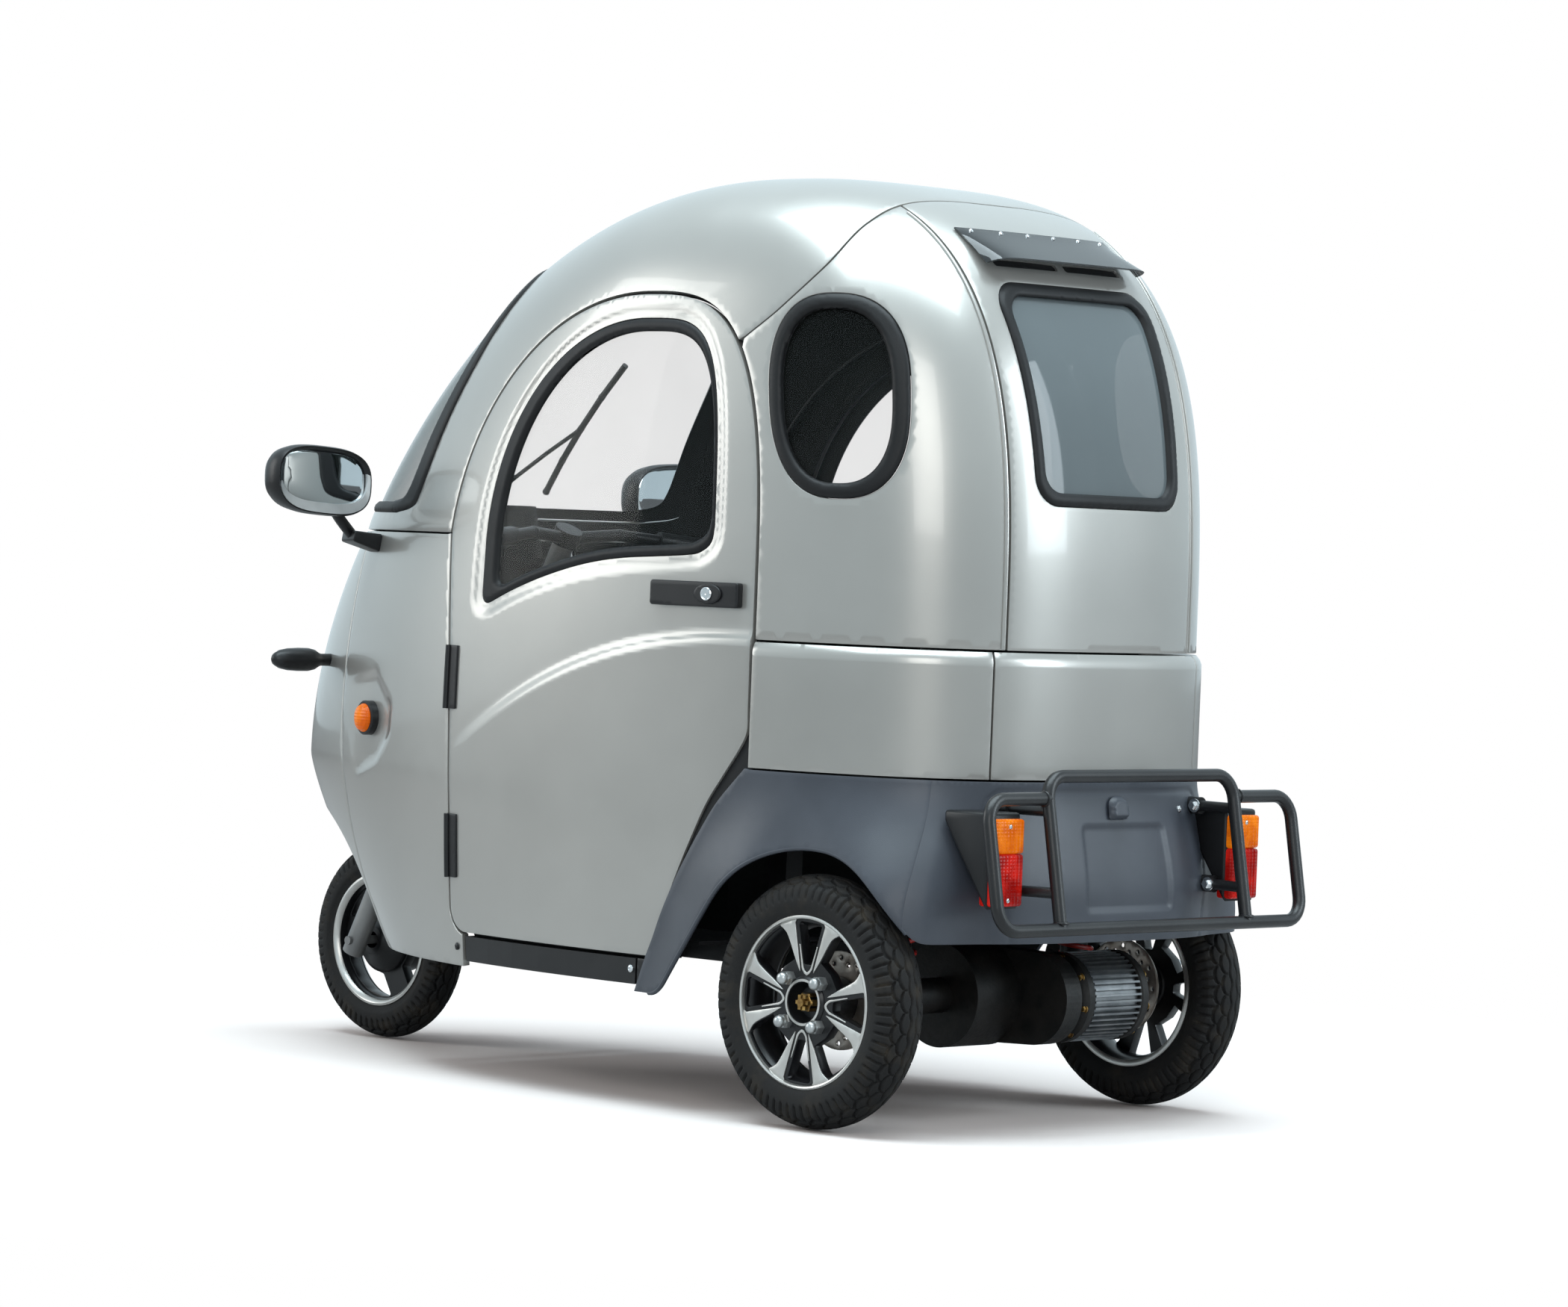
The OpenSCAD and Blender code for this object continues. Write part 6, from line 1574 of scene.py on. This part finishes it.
def tyre(name, at, radius, half, lip, lobes):
    """A turned tyre whose tread is pressed in along wavy and scalloped grooves."""
    drop = 0.022 * radius / rear_r
    crown = np.linspace(-1, 1, crown_points)
    tread = np.stack([crown * half * 0.93, radius - drop * abs(crown) ** 2.2], -1)
    side = curve((half * 0.93, radius - drop), (half * 1.01, radius - drop - 0.012),
                 (half * 1.02, radius - 0.045), (half * 0.96, lip + 0.010), (half * 0.86, lip + 0.001),
                 (half * 0.80, lip - 0.005), step=0.0045)
    bore = line((half * 0.80, lip - 0.006), (-half * 0.80, lip - 0.006), step=0.02)[1:-1]
    ring = np.concatenate([tread, side[1:], bore, (side * (-1, 1))[:0:-1]])
    n, columns = lobes * lobe_points, len(ring)
    theta = np.arange(n) * 2 * math.pi / n
    down = 1 + np.linalg.norm(side[1:] - side[0], axis=1) / half
    place = np.concatenate([crown, down, np.zeros(len(bore)), -down[::-1]])
    s, t = np.meshgrid(place, theta * lobes / (2 * math.pi))
    u, v = 2 * (t % 1) - 1, 2 * ((t + 0.5) % 1) - 1
    in_tread = (abs(s) < 1.42) & (s != 0) | (np.arange(columns) < crown_points)
    wave = pulse(abs(s) - 0.17 - 0.045 * np.cos(2 * math.pi * t), groove_half)
    scale_a = pulse(abs(s) - 0.36 - 0.20 * np.sqrt(np.clip(1 - u ** 2, 0, 1)), groove_half) * (abs(s) < 0.66)
    scale_b = pulse(abs(s) - 0.62 - 0.20 * np.sqrt(np.clip(1 - v ** 2, 0, 1)), groove_half) * (abs(s) < 0.9)
    slots = pulse(((2 * t + 0.25) % 1) - 0.5, 0.13)
    slots = slots * ease((abs(s) - 0.80) / 0.06) * ease((1.40 - abs(s)) / 0.05)
    deep = np.maximum.reduce([wave, scale_a, scale_b, slots]) * in_tread
    run = np.roll(ring, -1, 0) - np.roll(ring, 1, 0)
    run /= np.maximum(np.linalg.norm(run, axis=1, keepdims=True), 1e-9)
    r = ring[None, :, 1] - groove_deep * deep * run[None, :, 0]
    y = ring[None, :, 0] + groove_deep * deep * run[None, :, 1]
    points = np.stack([r * np.cos(theta)[:, None], y, r * np.sin(theta)[:, None]], -1).reshape(-1, 3)
    faces = [(k * columns + c, k * columns + (c + 1) % columns, (k + 1) % n * columns + (c + 1) % columns,
              (k + 1) % n * columns + c) for k in range(n) for c in range(columns)]
    a, b, d = (points[faces[0][k]] for k in (0, 1, 3))
    if np.cross(b - a, d - a) @ a < 0:
        faces = [f[::-1] for f in faces]
    made = piece(name, points + at, faces, tyre_rubber)
    made.data.attributes.new("groove", "FLOAT", "POINT").data.foreach_set("value", deep.ravel())
    return made


track, rear_r, rear_lip, front_r, front_lip = 0.832, 0.210, 0.142, 0.185, 0.125
rear_half, rear_lobes, front_half, front_lobes = 0.047, 36, 0.036, 32
rear_at = np.array([axle_x, track / 2, rear_r])
front_at = np.array([axle_x + wheelbase, 0, front_r])
rear_tyre = tyre("rear_tyre_left", rear_at, rear_r, rear_half, rear_lip, rear_lobes)
both_sides(rear_tyre, "rear_tyre", "rear_tyre_{}", body="rear_wheel_{}")
front_tyre = tyre("front_tyre", front_at, front_r, front_half, front_lip, front_lobes)
tie(front_tyre, "front_tyre", "front_wheel")

# Rear rims: cast wheels with black pockets, machined spoke faces in four pairs, thin inlays between
# them, chrome wheel nuts, a brass castle nut in the hub and a drilled brake disc behind.
machined = surface("machined_alloy", (0.50, 0.485, 0.46), (0.60, 0.585, 0.56), 0.30, metallic=0.85, scale=18,
                   bump=0.00003, bump_scale=1200)
wheel_black = surface("wheel_black", (0.005, 0.005, 0.006), (0.010, 0.010, 0.011), 0.30,
                      **{"Specular IOR Level": 0.35})
brass = surface("aged_brass", (0.16, 0.085, 0.025), (0.48, 0.31, 0.10), 0.42, metallic=0.8, scale=70,
                rough_spread=0.2)
disc_steel = surface("brake_disc", (0.30, 0.25, 0.21), (0.46, 0.42, 0.38), 0.36, metallic=0.75, scale=30,
                     rough_spread=0.2)
zinc = surface("zinc_plating", (0.36, 0.37, 0.37), (0.48, 0.49, 0.49), 0.34, metallic=0.85, scale=60)
quarters = [math.radians(3) + k * math.pi / 2 for k in range(4)]
face_y, plate_r, rim_r, hub_hole_r, nut_circle_r = 0.035, 0.1380, 0.1372, 0.034, 0.0505


def turned(loop, angle):
    c, s = math.cos(angle), math.sin(angle)
    return np.asarray(loop, float) @ np.array([[c, s], [-s, c]])


def disc_piece(name, loops, front, wall, finish, at, spacing=0.006, edge=0.0012):
    """A flat piece across a wheel's axis, its face looking outward."""
    flat, faces = cut_sheet(loops, spacing)
    points = np.stack([flat[:, 0], np.full(len(flat), front), flat[:, 1]], -1) + at
    return thicken(piece(name, points, facing(points, faces, (0, 1, 0)), finish), wall, edge, inner=0)


def turned_piece(name, profile, finish, at, n, side=1):
    """A profile [radius, width] turned about an axle, or its twin on the other side."""
    points, faces = lathe(profile, n)
    return solid(name, [(points * (1, side, 1) + at, faces)], finish)


def circle(r, n=96, middle=(0, 0)):
    a = np.linspace(0, 2 * math.pi, n, endpoint=False)
    return np.stack([middle[0] + r * np.cos(a), middle[1] + r * np.sin(a)], -1)


spoke_out = curve((0.0145, 0.049), (0.0215, 0.060), (0.0305, 0.075), (0.0420, 0.096), (0.0520, 0.110),
                  (0.0680, 0.1195), step=0.004)
spoke = np.concatenate([spoke_out, bow(0, 0, rim_r, rim_r, 2, 60.8, 77.0, 8),
                        line((0.0335, 0.128), (0.0142, 0.050), step=0.006)])
pair_window = rounded([(-0.0270, 0.1315), (0.0270, 0.1315), (0.0085, 0.062), (-0.0085, 0.062)],
                      [0.006, 0.006, 0.005, 0.005], 5)
wing = spoke_out[spoke_out[:, 1] > 0.068] + (0.0016, 0.0)
wing = wing[np.hypot(*wing.T) < 0.132]
wing_twin = turned(wing * (-1, 1), -math.pi / 2)
wing_tip = turned([(0.0, 0.0735)], -math.pi / 4)
far_a, far_b = (math.degrees(math.atan2(*edge[-1][::-1])) for edge in (wing, wing_twin))
wing_window = np.concatenate([wing, bow(0, 0, 0.1335, 0.1335, 2, far_a - 2, far_b + 2, 12), wing_twin[::-1],
                              wing_tip])
inlay_in = [(0.0188, 0.094), (0.0108, 0.066), (0.0070, 0.055), (0.0, 0.0495), (-0.0070, 0.055),
            (-0.0108, 0.066), (-0.0188, 0.094)]
inlay_out = [(-0.0206, 0.094), (-0.0138, 0.066), (-0.0104, 0.0535), (0.0, 0.0445), (0.0104, 0.0535),
             (0.0138, 0.066), (0.0206, 0.094)]
inlay = np.concatenate([curve(*edge, step=0.004) for edge in (inlay_in, inlay_out)])
windows = [turned(window, q) for q in quarters for window in (pair_window, wing_window)]
plate = disc_piece("plate", [circle(plate_r, 144), circle(hub_hole_r), *windows], face_y, 0.020, wheel_black,
                   rear_at, edge=0.0018)
spokes = [disc_piece("spoke", [turned(spoke * (flip, 1), q)], face_y + 0.0022, 0.004, machined, rear_at,
                     spacing=0.008, edge=0.0008) for q in quarters for flip in (1, -1)]
inlays = [disc_piece("inlay", [turned(inlay, q)], face_y + 0.0018, 0.003, machined, rear_at, spacing=0.004,
                     edge=0.0005) for q in quarters]
lip_ring = turned_piece("lip", [
    (0.1365, 0.030), (0.1365, 0.0385), (0.138, 0.0415), (0.1405, 0.0425), (0.1430, 0.041), (0.1430, 0.034),
    (0.138, 0.030), (0.1365, 0.030)], machined, rear_at, 144)
well = turned_piece("well", [
    (0.134, 0.030), (0.128, 0.024), (0.124, 0.010), (0.124, -0.020), (0.128, -0.028), (0.133, -0.038),
    (0.141, -0.040), (0.141, -0.036), (0.138, -0.030), (0.134, -0.020), (0.132, 0.0), (0.134, 0.020),
    (0.138, 0.030), (0.134, 0.030)], wheel_black, rear_at, 144)
inner_lip = turned_piece("inner_lip", [
    (0.130, -0.0385), (0.136, -0.0415), (0.1415, -0.041), (0.1415, -0.0385), (0.130, -0.0385)], machined,
    rear_at, 144)
hub = turned_piece("hub", [
    (0, 0.018), (0.026, 0.018), (0.0335, 0.030), (0.0335, 0.0395), (0.0395, 0.0395), (0.043, 0.036),
    (0.043, 0.014), (0.040, 0.012), (0.040, -0.054), (0, -0.054)], wheel_black, rear_at, 72)
hub_ring = turned_piece("hub_ring", [
    (0.0345, 0.039), (0.0345, 0.0412), (0.0385, 0.0412), (0.0385, 0.039), (0.0345, 0.039)], machined, rear_at, 72)
castle_r, castle_half = 0.0105, 0.003
castle = [lathe([(0, 0.016), (0.017, 0.016), (0.017, 0.034), (0.0145, 0.036), (0, 0.036)], 6),
          lathe([(0, 0.035), (0.007, 0.035), (0.007, 0.047), (0, 0.048)], 20)]
tooth, tooth_faces = block((-castle_half, 0.035, -castle_half), (castle_half, 0.043, castle_half))
castle += [(tooth + (castle_r * math.cos(a), 0, castle_r * math.sin(a)), tooth_faces)
           for a in np.arange(6) * math.pi / 3]
nut = solid("nut", [(points + rear_at, faces) for points, faces in castle], brass)
disc_r, disc_bore_r, disc_hole_r, hole_rings = 0.082, 0.040, 0.0042, (0.071, 0.062)
holes = [circle(disc_hole_r, 14, (hole_rings[k % 2] * math.cos(a), hole_rings[k % 2] * math.sin(a)))
         for k, a in enumerate(np.arange(24) * math.pi / 12)]
disc = disc_piece("disc", [circle(disc_r), circle(disc_bore_r, 48), *holes], -0.0495, 0.005, disc_steel, rear_at,
                  spacing=0.008, edge=0.0005)
rim = gather("rear_rim_left", [plate, *spokes, *inlays, lip_ring, well, inner_lip, hub, hub_ring, nut, disc])
both_sides(rim, "rear_rim", "rear_rim_{}", body="rear_wheel_{}")
wheel_nut = stacked(
    lathe([(0, 0), (0.0122, 0), (0.0122, 0.015), (0.0108, 0.017), (0, 0.017)], 6, "Z"),
    lathe([(0, 0.016), (0.0100, 0.016), (0.0100, 0.021), (0.0088, 0.0245), (0.0055, 0.027), (0, 0.028)], 24, "Z"))
for side, name in ((1, "left"), (-1, "right")):
    spots = [rear_at * (1, side, 1) + (nut_circle_r * math.cos(a), side * face_y, nut_circle_r * math.sin(a))
             for a in np.array(quarters) * side + math.pi / 4]
    strew(f"wheel_nuts_{name}", spots, [(0, side, 0)] * 4, wheel_nut, zinc, f"rear_wheel_{name}")

# Front rim: a black cast wheel with three broad curved spokes and bright lips, round a brake drum on
# the fork's axle.
window_in_r, window_out_r = 0.066, 0.108


def front_window(k):
    """One opening between two spokes."""
    a0, a1 = math.radians(120 * k + 24), math.radians(120 * k + 112)
    edge = [(window_in_r, a) for a in np.linspace(a0 + 0.16, a1 - 0.10, 12)]
    edge += [(window_out_r, a) for a in np.linspace(a1, a0 - 0.08, 20)]
    corners = [(edge[n][0] * math.cos(edge[n][1]), edge[n][0] * math.sin(edge[n][1]))
               for n in (0, 3, 6, 9, 11, 12, 16, 20, 24, 28, 31)]
    return denser(rounded(corners, 0.004, 3), 0.006)


web = disc_piece("web", [circle(0.113, 120), circle(0.030, 40)] + [front_window(k) for k in range(3)], 0.011,
                 0.022, wheel_black, front_at, edge=0.003)
barrel = turned_piece("barrel", [
    (0.112, 0.0), (0.110, 0.012), (0.113, 0.024), (0.117, 0.030), (0.121, 0.031), (0.121, 0.027), (0.116, 0.020),
    (0.114, 0.0), (0.116, -0.020), (0.121, -0.027), (0.121, -0.031), (0.117, -0.030), (0.113, -0.024),
    (0.110, -0.012), (0.112, 0.0)], wheel_black, front_at, 120)
front_lips = [turned_piece("front_lip", [
    (0.1125, 0.0255), (0.1165, 0.0315), (0.1205, 0.0335), (0.1245, 0.0325), (0.1245, 0.0300), (0.1200, 0.0300),
    (0.1125, 0.0255)], machined, front_at, 120, side) for side in (-1, 1)]
drum = turned_piece("drum", [
    (0.016, -0.048), (0.058, -0.048), (0.062, -0.043), (0.062, 0.020), (0.050, 0.034), (0.032, 0.040),
    (0.026, 0.048), (0.016, 0.048), (0.016, -0.048)], wheel_black, front_at, 72)
front_rim = gather("front_rim", [web, barrel, *front_lips, drum])
tie(front_rim, "front_rim", "front_wheel")

# Drive: a finned aluminium motor between dark end bells beside the gear case, on the axle tubes, with
# red coil springs over the dampers.
grimy = surface("grimy_steel", (0.0035, 0.0035, 0.0035), (0.013, 0.011, 0.010), 0.5, metallic=0.1, scale=24,
                rough_spread=0.3, bump=0.0003, bump_scale=200, **{"Specular IOR Level": 0.35})
raw_alloy = surface("raw_aluminium", (0.186, 0.195, 0.205), (0.273, 0.282, 0.291), 0.42, metallic=0.9, scale=30,
                    rough_spread=0.15)
spring_red = surface("spring_red", (0.42, 0.012, 0.010), (0.55, 0.022, 0.016), 0.35, **{"Coat Weight": 0.3})
motor_low, motor_high = (np.array(corner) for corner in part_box("drive_motor"))
motor_at = (motor_low + motor_high) / 2
_, motor_half, motor_r = (motor_high - motor_low) / 2
body_half = motor_half - 0.040
core_r = motor_r - 0.010
core = turned_piece("core", [(0, -body_half), (core_r, -body_half), (core_r, body_half), (0, body_half)],
                    raw_alloy, motor_at, 80)
bells = [turned_piece("bell", [
    (0, body_half), (motor_r - 0.003, body_half), (motor_r, body_half + 0.004), (motor_r, body_half + 0.018),
    (motor_r - 0.006, body_half + 0.024), (motor_r * 0.72, body_half + 0.032), (motor_r * 0.5, motor_half),
    (0, motor_half)], grimy, motor_at, 64, side) for side in (-1, 1)]
tie(gather("drive_motor", [core, *bells]), "drive_motor")
fin_count, fin_half, fin_out, bell_bolts, bolt_circle = 44, 0.0018, 0.010, 8, 0.9 * motor_r
a = (np.arange(fin_count) + 0.3) * 2 * math.pi / fin_count
radial = np.stack([np.cos(a), 0 * a, np.sin(a)], -1)
fin = block((-fin_half, -body_half, -0.006), (fin_half, body_half, fin_out))
strew("motor_fins", motor_at + radial * (motor_r - 0.011), radial, fin, raw_alloy)
turns = [(side, a) for side in (-1, 1) for a in np.arange(bell_bolts) * 2 * math.pi / bell_bolts + 0.2]
spots = [motor_at + (bolt_circle * math.cos(a), side * (body_half + 0.021), bolt_circle * math.sin(a))
         for side, a in turns]
strew("motor_bolts", spots, [(0, side, 0) for side, _ in turns], hex_bolt(0.0052, 0.006), brass)
coil_r, coil_wire, coil_turns, coil_inset = 0.030, 0.0045, 8, 0.03
(sx0, _, sz0), (sx1, sy1, sz1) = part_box("shocks")
t = np.linspace(0, 1, 220)
turn = t * coil_turns * 2 * math.pi
coil = np.stack([(sx0 + sx1) / 2 + coil_r * np.cos(turn), sy1 - (sx1 - sx0) / 2 + coil_r * np.sin(turn),
                 sz0 + coil_inset + (sz1 - sz0 - 2 * coil_inset) * t], -1)
tube("springs", twice(coil), coil_wire, spring_red, sides=8)

# Pieces of the frame that show as they are: running gear, cab and inside, in worn steel, coatings and
# moulded plastics.
plastic = surface("moulded_plastic", (0.006, 0.0065, 0.0065), (0.011, 0.0115, 0.0115), 0.6, bump=0.0003,
                  bump_scale=260, **{"Specular IOR Level": 0.12})
fork_grey = surface("fork_grey", (0.20, 0.20, 0.20), (0.27, 0.27, 0.265), 0.42, metallic=0.6, scale=14)
lamp_clear = surface("lamp_reflector", (0.55, 0.57, 0.58), (0.72, 0.74, 0.75), 0.12, metallic=0.9, scale=40)
for node, finish in (("chassis", rack_coat), ("battery_pack", plastic), ("dashboard", plastic),
                     ("rear_axle", grimy), ("shocks", rack_coat), ("fork", fork_grey), ("handlebar", rack_coat),
                     ("wiper", satin_black), ("headlamp", lamp_clear)):
    recoat(node, finish)

# Seats: padded cushions under black artificial leather on the driver's seat and the rear bench,
# puffed up by a short cloth simulation so that the cover rounds between its edges.
leather = surface("black_leather", (0.014, 0.013, 0.013), (0.026, 0.025, 0.025), 0.5, bump=0.0008,
                  bump_scale=120)
cushion_edge, cushion_voxel, cover_pressure, cover_steps, cover_reach = 0.022, 0.009, 4, 12, 0.008


def corners_of(made):
    return np.array([tuple(v.co) for v in made.data.vertices])


def cushion(name, low, high, lean=0.0):
    """A block of padding, rounded, puffed up and leaned about its lowest corner."""
    made = soften(solid(name, [block(low, high)], leather), cushion_edge, 4)
    remesh = made.modifiers.new("skin", "REMESH")
    remesh.mode, remesh.voxel_size = "VOXEL", cushion_voxel
    apply_all(made)
    before = corners_of(made)
    cover = made.modifiers.new("cover", "CLOTH")
    cover.settings.use_pressure = True
    cover.settings.uniform_pressure_force = cover_pressure
    cover.settings.effector_weights.gravity = 0
    cover.settings.quality = 4
    for number in range(1, cover_steps + 1):
        bpy.context.scene.frame_set(number)
    apply_all(made)
    bpy.context.scene.frame_set(1)
    move = corners_of(made) - before
    reach = np.linalg.norm(move, axis=1, keepdims=True)
    after = before + move * np.minimum(1, cover_reach / np.maximum(reach, 1e-9))
    made.data.vertices.foreach_set("co", after.ravel())
    if lean:
        pivot = Matrix.Translation(low)
        made.data.transform(pivot @ Matrix.Rotation(lean, 4, "Y") @ pivot.inverted())
    made.data.polygons.foreach_set("use_smooth", [True] * len(made.data.polygons))
    made.data.materials.clear()
    made.data.materials.append(leather)
    return made


def seat(name, cushion_box, back_box, lean):
    """A cushion and its back as one padded piece, in place of the node of the same name."""
    made = gather(name, [cushion(name + "_cushion", *cushion_box), cushion(name + "_back", *back_box, lean)])
    tie(made, name)


seat("driver_seat", ((axle_x + 0.405, -0.205, 0.563), (axle_x + 0.795, 0.205, 0.636)),
     ((axle_x + 0.405, -0.200, 0.616), (axle_x + 0.465, 0.200, 0.900)), math.radians(-10))
seat("rear_bench", ((axle_x - 0.105, -0.295, 0.545), (axle_x + 0.265, 0.295, 0.676)),
     ((axle_x - 0.090, -0.280, 0.648), (axle_x - 0.040, 0.280, 0.938)), math.radians(-4))
